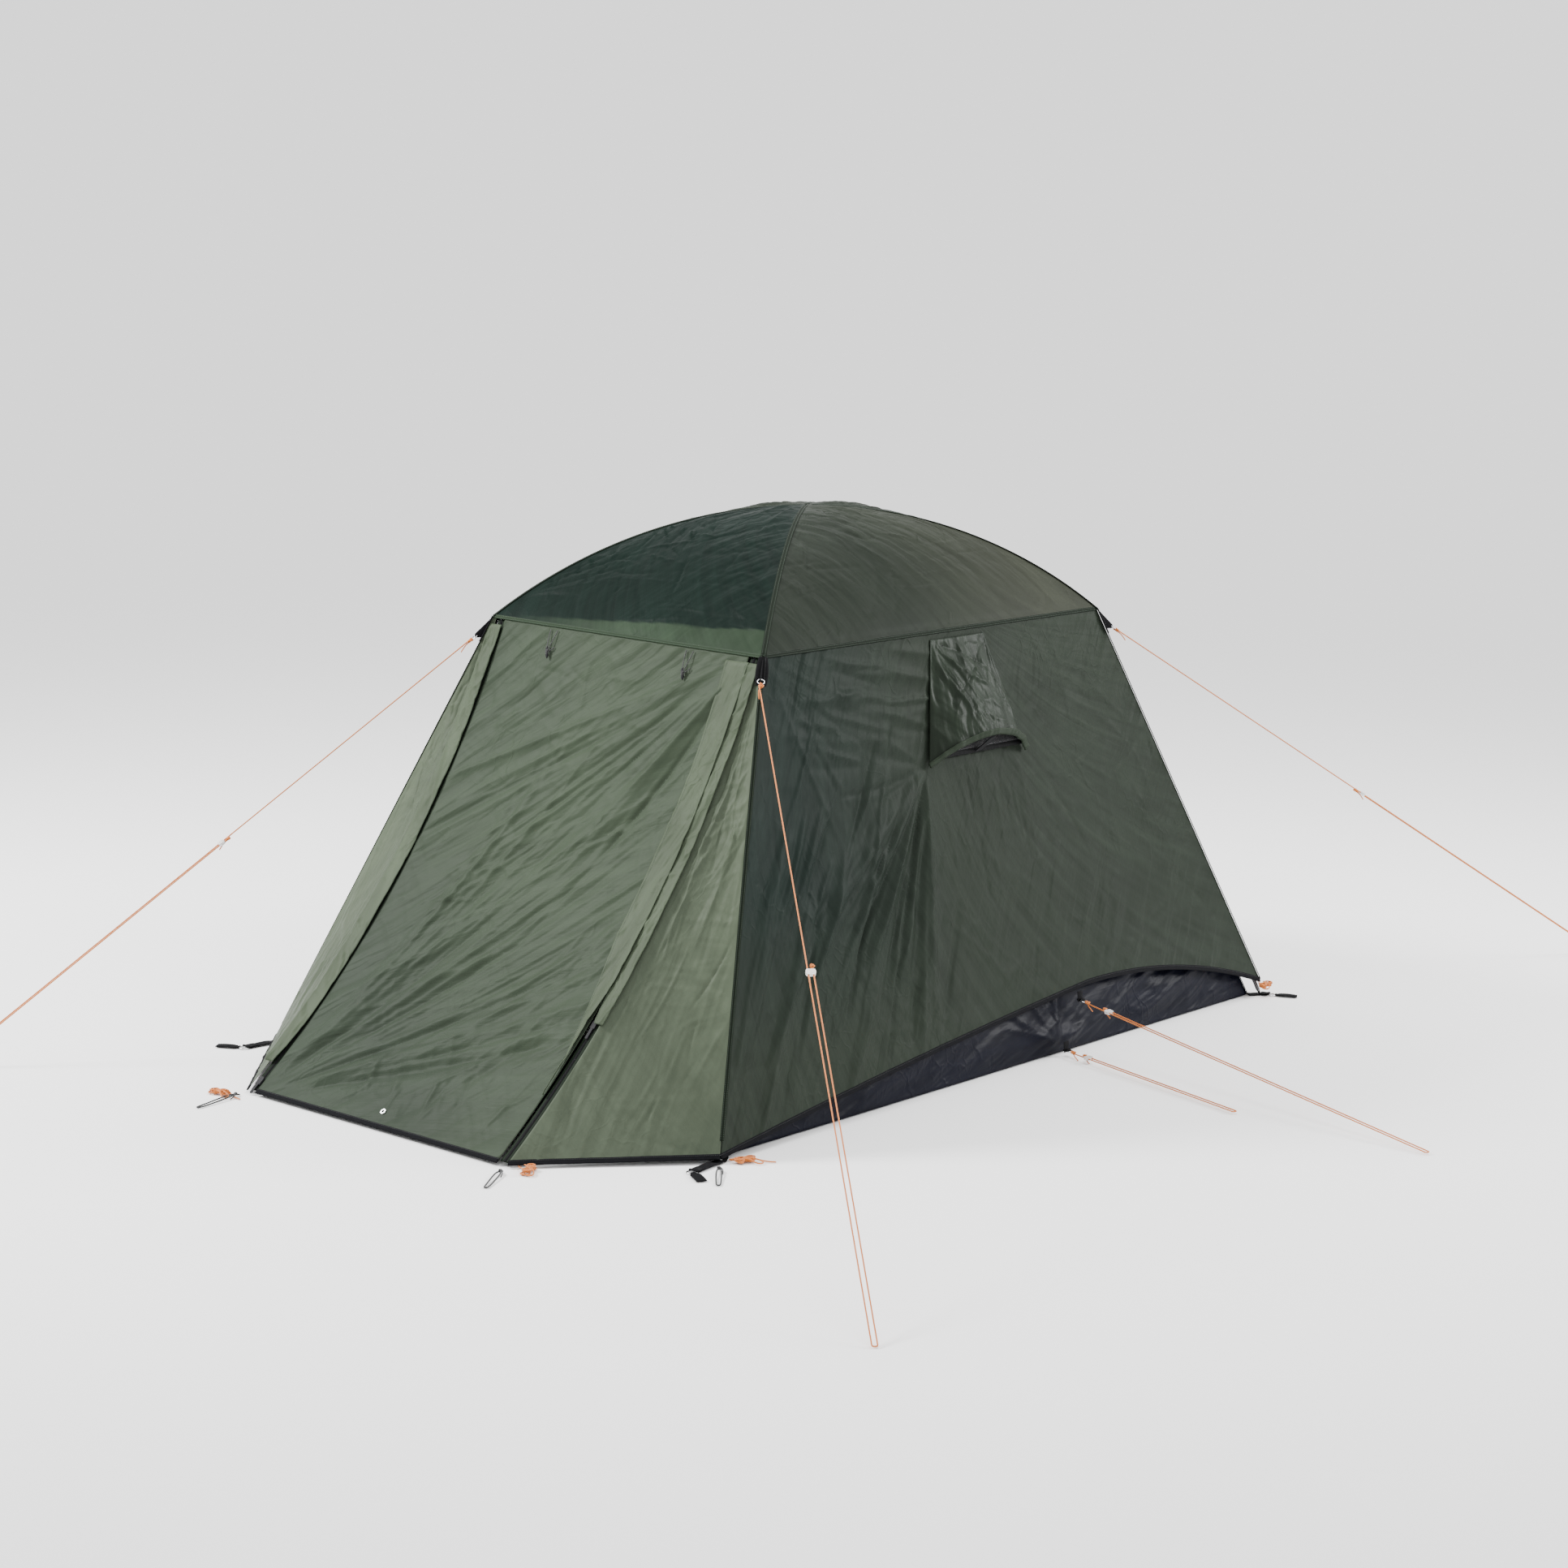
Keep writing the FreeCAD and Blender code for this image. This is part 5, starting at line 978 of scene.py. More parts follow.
def door_relief(a, b, u, v):
    width = 2 * DOOR_HALF
    ease = edge_ease((1 - v) * DOOR_LENGTH, 0.025) * (0.15 + 0.85 * edge_ease(u * width, 0.03))
    ease *= 0.12 + 0.88 * edge_ease((1 - u) * width, 0.05)
    ease *= 0.35 + 0.65 * edge_ease(v * DOOR_LENGTH, 0.10)
    relief = -0.006 * np.sin(np.pi * u) * np.sin(np.pi * v) ** 0.7
    corner = (-DOOR_HALF, 0.0)
    relief = add_folds(
        relief, a, b,
        (fan_of_folds, corner, 24, 76, 44, 0.06, 1.30, 0.015, 0.0050, 51, 0.015),
        (fan_of_folds, (DOOR_HALF, DOOR_LENGTH), 208, 250, 26, 0.06, 1.25, 0.014, 0.0052, 52, 0.015),
        (scattered_folds, (-0.30, 0.34, 0.20, 0.95), 46, 5, 34, 0.62, 0.012, 0.0042, 53, 0.02),
        (scattered_folds, (-0.38, -0.12, 0.55, 1.2), 28, 12, 16, 0.16, 0.011, 0.0034, 54, 0.15),
        (scattered_folds, (0.18, 0.38, 0.08, 0.60), 62, 12, 18, 0.26, 0.013, 0.0036, 55, 0.08),
        (scattered_folds, (-0.16, 0.12, 0.03, 0.20), 90, 9, 14, 0.14, 0.009, 0.0042, 56, 0.06),
        (scattered_folds, (-0.30, 0.32, 0.03, 0.45), 90, 32, 22, 0.16, 0.010, 0.0022, 57, 0.1),
        (scattered_folds, (-0.30, 0.35, 1.05, 1.24), 8, 16, 12, 0.18, 0.010, 0.0018, 58, 0.1))
    relief += 0.0030 * (crumple(a, b, 59, 0.075, 3, (1.0, 0.40), 0.8) - 0.42)
    return relief * ease


def porch_surface(side):
    """Side of the porch, ruled from the zip's curve to the leg edge; a is across, b is up."""
    low_leg = np.array((leg_outward(0.0138) * ALONG_X, -leg_outward(0.0138) * ALONG_Y - 0.0015, 0.0138))
    high_leg = np.array((HALF_DIAGONAL * ALONG_X, -HALF_DIAGONAL * ALONG_Y - 0.0015, SHOULDER_Z - 0.0015))

    def surface(u, v):
        run = DOOR_FOOT + (DOOR_HEAD - DOOR_FOOT) * v
        curve = door_place(PORCH_HALF + 0 * u, run)
        leg = low_leg + (high_leg - low_leg) * v[..., None]
        points = curve + (leg - curve) * u[..., None]
        width = np.linalg.norm(leg - curve, axis=-1)
        a = (u - 1) * width
        b = 1.2 * v
        if side < 0:
            points = points * np.array((-1.0, 1.0, 1.0))
        return points, a, b
    return surface


def porch_side_relief(side):
    seed = 61 if side > 0 else 81

    def relief(a, b, u, v):
        width = 0.06 + 0.40 * (1 - v)
        ease = (0.25 + 0.75 * edge_ease(u * width, 0.04)) * edge_ease((1 - u) * width, 0.035) * edge_ease((1 - v) * 1.2, 0.02)
        shape = -0.006 * np.sin(np.pi * u) * np.sin(np.pi * v) ** 0.6
        shape = add_folds(
            shape, a, b,
            (fan_of_folds, (0.0, 1.18), 222, 268, 12, 0.06, 0.70, 0.012, 0.0040, seed),
            (scattered_folds, (-0.36, -0.03, 0.04, 0.75), 74, 9, 44, 0.26, 0.009, 0.0034, seed + 1, 0.05),
            (scattered_folds, (-0.12, 0.0, 0.70, 1.12), 60, 28, 24, 0.10, 0.009, 0.0036, seed + 2, 0.15),
            (fan_of_folds, (0.0, 0.0), 100, 160, 8, 0.04, 0.40, 0.013, 0.0024, seed + 3))
        shape += 0.0042 * (crumple(a, b, seed + 4, 0.055, 3, (1.0, 0.5), 1.2) - 0.42) * edge_ease(b, 0.4)
        shape += 0.0018 * (crumple(a, b, seed + 4, 0.060, 3, (1.0, 0.6), 1.2) - 0.42)
        return shape * ease
    return relief


def wall_painted_shade(a, b, u, v):
    """Painted shade: cooler, darker colour towards the porch."""
    return np.clip((-0.10 - a) / 0.55, 0, 1) * np.clip((b - 0.18) / 0.35, 0, 1) * 0.85


def side_roof_painted_sheen(a, b, u, v):
    """Painted sheen: paler towards the back."""
    return np.clip((a + 0.10) / 0.55, 0, 1)


def front_roof_painted_light(a, b, u, v):
    """Painted light shining through the cloth: a paler band above the front eave that widens towards the right
    shoulder.
    """
    length = -b[-1, 0]
    above = length + b
    edge = 0.018 + 0.058 * np.clip((a + 0.30) / 0.70, 0, 1)
    wobble = 0.004 * cloth_noise(a * 9, b * 0, 77)
    return np.clip((edge + wobble - above) / 0.004, 0, 1) * np.clip((a + 0.36) / 0.25, 0.0, 1)


def door_painted_shade(a, b, u, v):
    """Painted shade: darker towards the foot and the left zip."""
    low = np.clip(1.05 - b / 0.75, 0, 1)
    left = np.clip((-0.02 - a) / 0.40, 0, 1) * 0.55
    return np.clip(low * (1.1 - np.clip((a - 0.05) / 0.4, 0, 0.6)) + left, 0, 1) * 0.9


def porch_painted_light(a, b, u, v):
    """Painted light: paler towards the leg."""
    return np.clip(u, 0, 1) ** 1.5 * np.clip(b / 0.5, 0.0, 1) * 0.55


def build_fly():
    """All the sewn panels of the fly."""
    points = {}
    gores = (
        ("roof_cloth_front", "fly_roof_front", "Y", -1, ROOF_FRONT, "roof_front_fabric", 91, front_roof_painted_light),
        ("roof_cloth_back", "fly_roof_back", "Y", 1, ROOF_SIDE, "roof_side_fabric", 121, None),
        ("roof_cloth_right", "fly_roof_right", "X", 1, ROOF_SIDE, "roof_side_fabric", 141, side_roof_painted_sheen),
        ("roof_cloth_left", "fly_roof_left", "X", -1, ROOF_SIDE, "roof_side_fabric", 161, None),
    )
    for name, node, across, sign, cloth, slot, seed, painted_light_shade in gores:
        wide, length = (SHOULDER_X, 0.712) if across == "Y" else (SHOULDER_Y, 0.512)
        shape = (150, 130) if across == "Y" else (210, 110)
        _, points[name] = sheet_piece(
            name, node, roof_surface(across, sign), shape, gore_relief(seed, length, wide), strain_from((0.0, 0.0)),
            cloth, slot, painted_light_shade=painted_light_shade)
    for side, label, relief, shape in ((1, "right", right_wall_relief, (300, 150)), (-1, "left", left_wall_relief, (220, 110))):
        _, points[f"wall_{label}"] = sheet_piece(
            f"wall_cloth_{label}", f"fly_wall_{label}", side_surface(side), shape, relief,
            strain_from((VENT_MIDDLE - VENT_LIP_HALF + 0.25, VENT_LIP + 0.35)), WALL, "wall_fabric",
            painted_light_shade=wall_painted_shade, flip=side < 0)
    _, points["wall_back"] = sheet_piece(
        "wall_cloth_back", "fly_wall_back", back_surface, (150, 120), back_wall_relief, strain_along(88), WALL, "wall_fabric")
    _, points["door"] = sheet_piece(
        "door_cloth", "porch_door", door_surface, (170, 260), door_relief, strain_from((-DOOR_HALF - 0.2, -0.25)), DOOR,
        "door_fabric", body="porch_door", painted_light_shade=door_painted_shade)
    for side, label in ((1, "right"), (-1, "left")):
        _, points[f"porch_{label}"] = sheet_piece(
            f"porch_cloth_{label}", f"porch_side_{label}", porch_surface(side), (80, 240), porch_side_relief(side),
            strain_from((0.1, 1.4)), PORCH, "porch_side_fabric", painted_light_shade=porch_painted_light, flip=side < 0)
    return points


PANELS = build_fly()


# ---------------------------------------------------------------- tapes, bindings and webbing

def add_profile(builder, path, outward, profile, widths=None):
    """Sweep a cross-section along a path; outward is the side away from the tent."""
    path, outward = np.asarray(path, dtype=float), np.asarray(outward, dtype=float)
    tangents = unit_rows(np.gradient(path, axis=0))
    if outward.ndim == 1:
        outward = np.tile(outward, (len(path), 1))
    ups = outward - tangents * np.sum(outward * tangents, axis=1)[:, None]
    ups /= np.linalg.norm(ups, axis=1)[:, None]
    sides = np.cross(tangents, ups)
    lengths = np.r_[0, np.cumsum(np.linalg.norm(np.diff(path, axis=0), axis=1))]
    widths = np.ones(len(path)) if widths is None else np.asarray(widths)
    base, count = len(builder["points"]), len(profile)
    for index in range(len(path)):
        for across, up in profile:
            builder["points"].append(tuple(path[index] + sides[index] * across * widths[index] + ups[index] * up))
    for index in range(len(path) - 1):
        for turn in range(count):
            other = (turn + 1) % count
            builder["faces"].append([base + index * count + turn, base + (index + 1) * count + turn,
                                     base + (index + 1) * count + other, base + index * count + other])
            low, high = profile[turn][0], profile[other][0]
            builder["map"].append([(low, lengths[index]), (low, lengths[index + 1]),
                                   (high, lengths[index + 1]), (high, lengths[index])])
    for index, order in ((0, list(range(count))), (len(path) - 1, list(reversed(range(count))))):
        builder["faces"].append([base + index * count + turn for turn in order])
        builder["map"].append([(profile[turn][0], lengths[index]) for turn in order])


def tape_profile(width, thickness):
    """Flat tape, edges rounded over, in order round its section."""
    half = width / 2
    return [(-half, 0.0), (-half * 0.98, thickness * 0.7), (-half * 0.9, thickness), (0.0, thickness * 0.92),
            (half * 0.9, thickness), (half * 0.98, thickness * 0.7), (half, 0.0), (half * 0.9, -thickness * 0.2),
            (-half * 0.9, -thickness * 0.2)]


def seam_profile(width, thickness):
    """Folded seam: two raised laps with a stitched valley between them."""
    half = width / 2
    return [(-half, -0.0003), (-half * 0.94, thickness * 0.8), (-half * 0.75, thickness), (-half * 0.18, thickness * 0.95),
            (0.0, thickness * 0.3), (half * 0.18, thickness * 0.9), (half * 0.75, thickness * 0.85), (half * 0.94, thickness * 0.6),
            (half, -0.0003), (0.0, -0.0006)]


def binding_profile(width, thickness):
    """Tape folded round an edge: rounded on the edge side, thin where it ends."""
    half, depth = width / 2, thickness / 2
    return [(-half, 0.0), (-half * 0.9, depth * 0.75), (-half * 0.6, depth), (half * 0.5, depth * 0.8), (half, depth * 0.45),
            (half, -depth * 0.45), (half * 0.5, -depth * 0.8), (-half * 0.6, -depth), (-half * 0.9, -depth * 0.75)]


def line_points(start, end, step=0.012):
    """Evenly spaced points on a straight line."""
    start, end = np.asarray(start, dtype=float), np.asarray(end, dtype=float)
    count = max(2, int(np.linalg.norm(end - start) / step))
    return start + (end - start) * np.linspace(0, 1, count + 1)[:, None]


def hip_path(side, end):
    """Roof seam over a pole, from the crown to the shoulder."""
    t = np.linspace(0.012, math.asin(HALF_DIAGONAL / ROOF_RADIUS), 60)
    reach = ROOF_RADIUS * np.sin(t)
    path = np.stack([side * ALONG_X * reach, end * ALONG_Y * reach, ROOF_CENTRE + ROOF_RADIUS * np.cos(t)], axis=-1)
    normals = np.stack([side * ALONG_X * np.sin(t), end * ALONG_Y * np.sin(t), np.cos(t)], axis=-1)
    return path, normals


def leg_path(side, end, low=0.045, high=SHOULDER_Z - 0.004):
    """Seam down a leg, from the shoulder to the foot."""
    z = np.linspace(high, low, 90)
    reach = np.array([leg_outward(value) for value in z])
    path = np.stack([side * ALONG_X * reach, end * ALONG_Y * reach, z], axis=-1)
    side_normal = np.array((side * SIDE_OUT[0], 0, SIDE_OUT[2]))
    end_normal = np.array((0, end * SHOULDER_Z / BACK_SLOPE, (FOOT_Y - SHOULDER_Y) / BACK_SLOPE))
    normal = side_normal + end_normal
    return path, normal / np.linalg.norm(normal)


def eave_path(across, sign):
    """Seam between a roof gore and the wall below it."""
    x, y, z = SHOULDER_X, SHOULDER_Y, SHOULDER_Z
    if across == "Y":
        return line_points((-x, sign * y, z), (x, sign * y, z)), np.array((0, sign * 0.78, 0.62))
    return line_points((sign * x, -y, z), (sign * x, y, z)), np.array((sign * 0.85, 0, 0.53))


def repeat_tree():
    """Node tree that sets one small rounded shape at even spacing along a route, turned to the route and its outward side."""
    tree = bpy.data.node_groups.new("repeat_along_route", "GeometryNodeTree")
    face = tree.interface
    face.new_socket("Geometry", in_out="INPUT", socket_type="NodeSocketGeometry")
    names = {}
    for label, kind in (("Spacing", "NodeSocketFloat"), ("Size", "NodeSocketVector"), ("Finish", "NodeSocketMaterial")):
        names[label] = face.new_socket(label, in_out="INPUT", socket_type=kind).identifier
    face.new_socket("Geometry", in_out="OUTPUT", socket_type="NodeSocketGeometry")
    make, join = tree.nodes.new, tree.links.new
    entry, leave = make("NodeGroupInput"), make("NodeGroupOutput")
    curve, points = make("GeometryNodeMeshToCurve"), make("GeometryNodeCurveToPoints")
    points.mode = "LENGTH"
    outward = make("GeometryNodeInputNamedAttribute")
    outward.data_type = "FLOAT_VECTOR"
    outward.inputs["Name"].default_value = "outward"
    first, second = make("FunctionNodeAlignRotationToVector"), make("FunctionNodeAlignRotationToVector")
    first.axis, second.axis, second.pivot_axis = "X", "Z", "X"
    shape = make("GeometryNodeMeshUVSphere")
    shape.inputs["Segments"].default_value = 6
    shape.inputs["Rings"].default_value = 4
    shape.inputs["Radius"].default_value = 0.5
    place, realize = make("GeometryNodeInstanceOnPoints"), make("GeometryNodeRealizeInstances")
    finish = make("GeometryNodeSetMaterial")
    join(entry.outputs["Geometry"], curve.inputs["Mesh"])
    join(curve.outputs["Curve"], points.inputs["Curve"])
    join(entry.outputs["Spacing"], points.inputs["Length"])
    join(points.outputs["Tangent"], first.inputs["Vector"])
    join(first.outputs["Rotation"], second.inputs["Rotation"])
    join(outward.outputs["Attribute"], second.inputs["Vector"])
    join(points.outputs["Points"], place.inputs["Points"])
    join(shape.outputs["Mesh"], place.inputs["Instance"])
    join(second.outputs["Rotation"], place.inputs["Rotation"])
    join(entry.outputs["Size"], place.inputs["Scale"])
    join(place.outputs["Instances"], realize.inputs["Geometry"])
    join(realize.outputs["Geometry"], finish.inputs["Geometry"])
    join(entry.outputs["Finish"], finish.inputs["Material"])
    join(finish.outputs["Geometry"], leave.inputs["Geometry"])
    return tree, names


REPEAT, REPEAT_NAMES = repeat_tree()


def repeat_along(name, routes, spacing, size, material, body, slot):
    """One mesh of small shapes along several routes, each a path and its outward sides."""
    vertices, edges, normals = [], [], []
    for path, outward in routes:
        path, outward = np.asarray(path), np.asarray(outward)
        if outward.ndim == 1:
            outward = np.tile(outward, (len(path), 1))
        start = len(vertices)
        vertices += [tuple(point) for point in path]
        normals += [tuple(value) for value in outward]
        edges += [(start + index, start + index + 1) for index in range(len(path) - 1)]
    mesh = bpy.data.meshes.new(f"{name}_route")
    mesh.from_pydata(vertices, edges, [])
    attribute = mesh.attributes.new("outward", "FLOAT_VECTOR", "POINT")
    attribute.data.foreach_set("vector", np.array(normals, dtype=np.float32).ravel())
    holder = bpy.data.objects.new(f"{name}_route", mesh)
    bpy.context.scene.collection.objects.link(holder)
    modifier = holder.modifiers.new("repeat", "NODES")
    modifier.node_group = REPEAT
    modifier[REPEAT_NAMES["Spacing"]] = spacing * 1
    modifier[REPEAT_NAMES["Size"]] = size
    modifier[REPEAT_NAMES["Finish"]] = material
    graph = bpy.context.evaluated_depsgraph_get()
    result = bpy.data.meshes.new_from_object(holder.evaluated_get(graph))
    result.name = name
    holder.modifiers.clear()
    bpy.data.objects.remove(holder)
    bpy.data.meshes.remove(mesh)
    return link_piece(name, result, material, body, slot)


STITCH = (0.0028, 0.0009, 0.0008)
STITCH_STEP = 0.0042


def offset_route(path, outward, across, lift):
    """The same route moved sideways on the cloth and a little outwards."""
    path, outward = np.asarray(path, dtype=float), np.asarray(outward, dtype=float)
    if outward.ndim == 1:
        outward = np.tile(outward, (len(path), 1))
    tangents = unit_rows(np.gradient(path, axis=0))
    sides = np.cross(tangents, outward)
    return path + sides * across + outward * lift, outward


def build_seams():
    """Folded seams over the hips, legs and eaves, each with two rows of stitches."""
    routes = []
    for group, material, paths in (
            ("hip", SEAM, [hip_path(side, end) for side in (1, -1) for end in (1, -1)]),
            ("leg", SEAM, [leg_path(side, end) for side in (1, -1) for end in (1, -1)]),
            ("eave", SEAM, [eave_path("X", 1), eave_path("X", -1), eave_path("Y", 1)]),
            ("front_eave", SEAM_PAINTED_LIGHT, [eave_path("Y", -1)])):
        builder = new_builder()
        width, height = (0.013, 0.0016) if group == "hip" else (0.010, 0.0014)
        for path, outward in paths:
            add_profile(builder, path, outward, seam_profile(width, height))
            routes += [offset_route(path, outward, across, height) for across in (-width * 0.28, width * 0.28)]
        slot = "roof_front_fabric" if group in ("hip", "front_eave") else "wall_fabric"
        made_piece(builder, f"seam_{group}", material, "frame", slot)
    repeat_along("seam_stitches", routes, 0.0050, STITCH, THREAD, "frame", "wall_fabric")


build_seams()


HEM_TAPE = (0.013, 0.0042)


def foot_of(points, inset):
    """Foot of a panel's grid with the outward side of the cloth there."""
    edge, above = points[0], points[1] - points[0]
    return edge + unit_rows(above) * inset, unit_rows(np.cross(np.gradient(edge, axis=0), above))


def hem_stitch_route(path, normal, turn=1):
    """Route of the stitches on a hem's tape."""
    up = unit_rows(np.cross(normal, np.gradient(path, axis=0)))
    return path + up * turn * 0.0035 + normal * 0.0021, normal


def build_hems():
    """Black tape folded round the foot of every panel, with a row of stitches above it."""
    routes = []
    builder = new_builder()
    hems = (("wall_right", 1), ("wall_left", -1), ("wall_back", 1), ("porch_right", 1), ("porch_left", -1))
    for name, turn in hems:
        path, normal = foot_of(PANELS[name], 0.001)
        normal = normal * turn
        path = path - normal * (CLOTH / 2)
        path[:, 2] = np.maximum(path[:, 2], 0.0062)
        profile = [(across * -turn, up) for across, up in binding_profile(*HEM_TAPE)]
        if turn > 0:
            profile = profile[::-1]
        add_profile(builder, path, normal, profile)
        routes.append(hem_stitch_route(path, normal, turn))
    made_piece(builder, "hem_tape", BLACK_TAPE, "frame", "black_binding", ("fly_hem_binding",))
    repeat_along("hem_stitches", routes, 0.0048, STITCH, BLACK_THREAD, "frame", "black_binding")
    builder = new_builder()
    path, normal = foot_of(PANELS["door"], 0.0)
    path = path - normal * (CLOTH / 2)
    add_profile(builder, path, normal, binding_profile(*HEM_TAPE)[::-1])
    made_piece(builder, "door_hem_tape", BLACK_TAPE, "porch_door", "black_binding", ("door_binding",))
    repeat_along("door_hem_stitches", [hem_stitch_route(path, normal)], STITCH_STEP, STITCH, BLACK_THREAD, "porch_door",
                 "black_binding")


build_hems()


# ---------------------------------------------------------------- porch door furniture

FLAP_TOP = 0.985
FLAP_STARTS = {"right": 0.30, "left": 0.075}
FACING_START = 0.15
ZIP_X = 0.4005
TOGGLE_X = 0.215
INNER_FRONT_UP = np.array((0.0, 0.395301, 0.918551))
INNER_FRONT_OUT = np.array((0.0, -0.918551, 0.395301))


def door_outward(run):
    """Outward direction of the door at a distance up its curve."""
    turn = DOOR_START + np.asarray(run) / DOOR_RADIUS
    return np.stack([0 * turn, -np.cos(turn), -np.sin(turn)], axis=-1)


def strip_surface(side, low, high, start, stop, out):
    """Strip on the door's curve between two edges that vary with the share of its height."""
    def surface(u, v):
        share = start + (stop - start) * v
        x = low(share) + (high(share) - low(share)) * u
        return door_place(x * side, share * DOOR_LENGTH, out[0] + (out[1] - out[0]) * u ** 2), x, share * DOOR_LENGTH
    return surface


def flap_relief(seed):
    """Relief of a narrow strip of cloth that hangs loose."""
    def relief(a, b, u, v):
        ease = edge_ease(v * DOOR_LENGTH, 0.01) * edge_ease((1 - v) * DOOR_LENGTH, 0.01)
        shape = 0.0030 * (crumple(a, b, seed, 0.045, 3, (1.0, 0.45), 0.15) - 0.25)
        shape += 0.0016 * cloth_noise(b * 7, a * 0, seed + 1) + 0.0012
        area = (a.min(), a.max(), b.min(), b.max())
        shape += scattered_folds(a, b, area, 72, 22, 40, 0.07, 0.006, 0.0024, seed + 2, 0.15)
        return np.maximum(shape, -0.0012) * ease
    return relief


def facing_edge(share):
    """Free edge of the flap where it lies over the door: wide in the middle, gone near the foot."""
    places = np.array((0.0, 0.14, 0.24, 0.34, 0.46, 0.60, 0.80, 0.97, 1.0))
    widths = np.array((0.0, 0.000, 0.010, 0.030, 0.052, 0.056, 0.054, 0.060, 0.060))
    return DOOR_HALF - np.interp(share, places, widths)


def facing_lap(share):
    """Sewn edge of the facing; above the foot it laps over the flap and hides the zip."""
    return DOOR_HALF + 0.011 * np.clip((share - 0.30) / 0.08, 0, 1)


def sew_strip(name, edge, start, body, slot):
    """Row of stitches along one edge of a strip on the door's curve."""
    outward = door_outward(np.linspace(start, FLAP_TOP, len(edge)) * DOOR_LENGTH)
    repeat_along(name, [(edge + outward * 0.0003, outward)], STITCH_STEP, STITCH, THREAD, body, slot)


def build_flaps():
    """Storm flaps beside the zips; the right-hand one laps far over the door."""
    for side, label in ((1, "right"), (-1, "left")):
        start = FLAP_STARTS[label]

        def outer(share):
            return 0.4275 + 0 * share

        def inner(share, start=start):
            return 0.3885 + 0.014 * np.clip(1 - (share - start) / 0.10, 0, 1) ** 2

        _, points = sheet_piece(
            f"flap_cloth_{label}", f"storm_flap_{label}", strip_surface(side, inner, outer, start, FLAP_TOP, (0.0046, 0.0046)),
            (16, 260), flap_relief(201 if side > 0 else 211), strain_along(84), FLAP, "flap_fabric", flip=side < 0)
        sew_strip(f"flap_stitches_{label}", points[:, 1], start, "frame", "flap_fabric")
    _, points = sheet_piece(
        "door_facing", "porch_door", strip_surface(1, facing_edge, facing_lap, FACING_START, FLAP_TOP, (0.0030, 0.0080)),
        (26, 250), flap_relief(221), strain_along(84), FLAP, "door_fabric", body="porch_door")
    sew_strip("facing_stitches", points[:, 2], FACING_START, "porch_door", "door_fabric")


build_flaps()


def build_zips():
    """Zip guards with their black coils, beside the door and round the inner doorway."""
    for side, label in ((1, "right"), (-1, "left")):
        run = np.linspace(DOOR_FOOT + 0.003, DOOR_LENGTH - 0.006, 150)
        path = door_place(np.full_like(run, ZIP_X * side), run, -0.0052)
        outward = door_outward(run)
        builder = new_builder()
        add_profile(builder, path, outward, tape_profile(0.0215, 0.0009))
        made_piece(builder, f"zip_guard_{label}", ZIP_GUARD_SHADED, "frame", "zip_tape", (f"door_zip_{label}",))
        builder = new_builder()
        add_profile(builder, path + outward * 0.0008, outward, tape_profile(0.0085, 0.0006))
        made_piece(builder, f"zip_strip_{label}", ZIP_TAPE, "frame", "zip_tape")
        repeat_along(f"zip_coil_{label}", [(path + outward * 0.0017, outward)], 0.0019, (0.0013, 0.0050, 0.0015), NYLON,
                     "frame", "zip_tape")
    turn = np.radians(np.linspace(-36.0, 216.0, 170))
    outward = INNER_FRONT_OUT
    centre = np.array((0.0, -0.87263, 0.41894))
    ring = np.cos(turn)[:, None] * np.array((1.0, 0, 0)) + np.sin(turn)[:, None] * INNER_FRONT_UP
    path = centre + 0.4299 * ring + outward * 0.0002
    builder = new_builder()
    add_profile(builder, path, outward, tape_profile(0.016, 0.0009))
    made_piece(builder, "inner_zip_guard", ZIP_TAPE, "frame", "zip_tape", ("inner_zip",))
    repeat_along("inner_zip_coil", [(path + outward * 0.0011, outward)], 0.0021, (0.0014, 0.0042, 0.0013), NYLON, "frame",
                 "zip_tape")


build_zips()


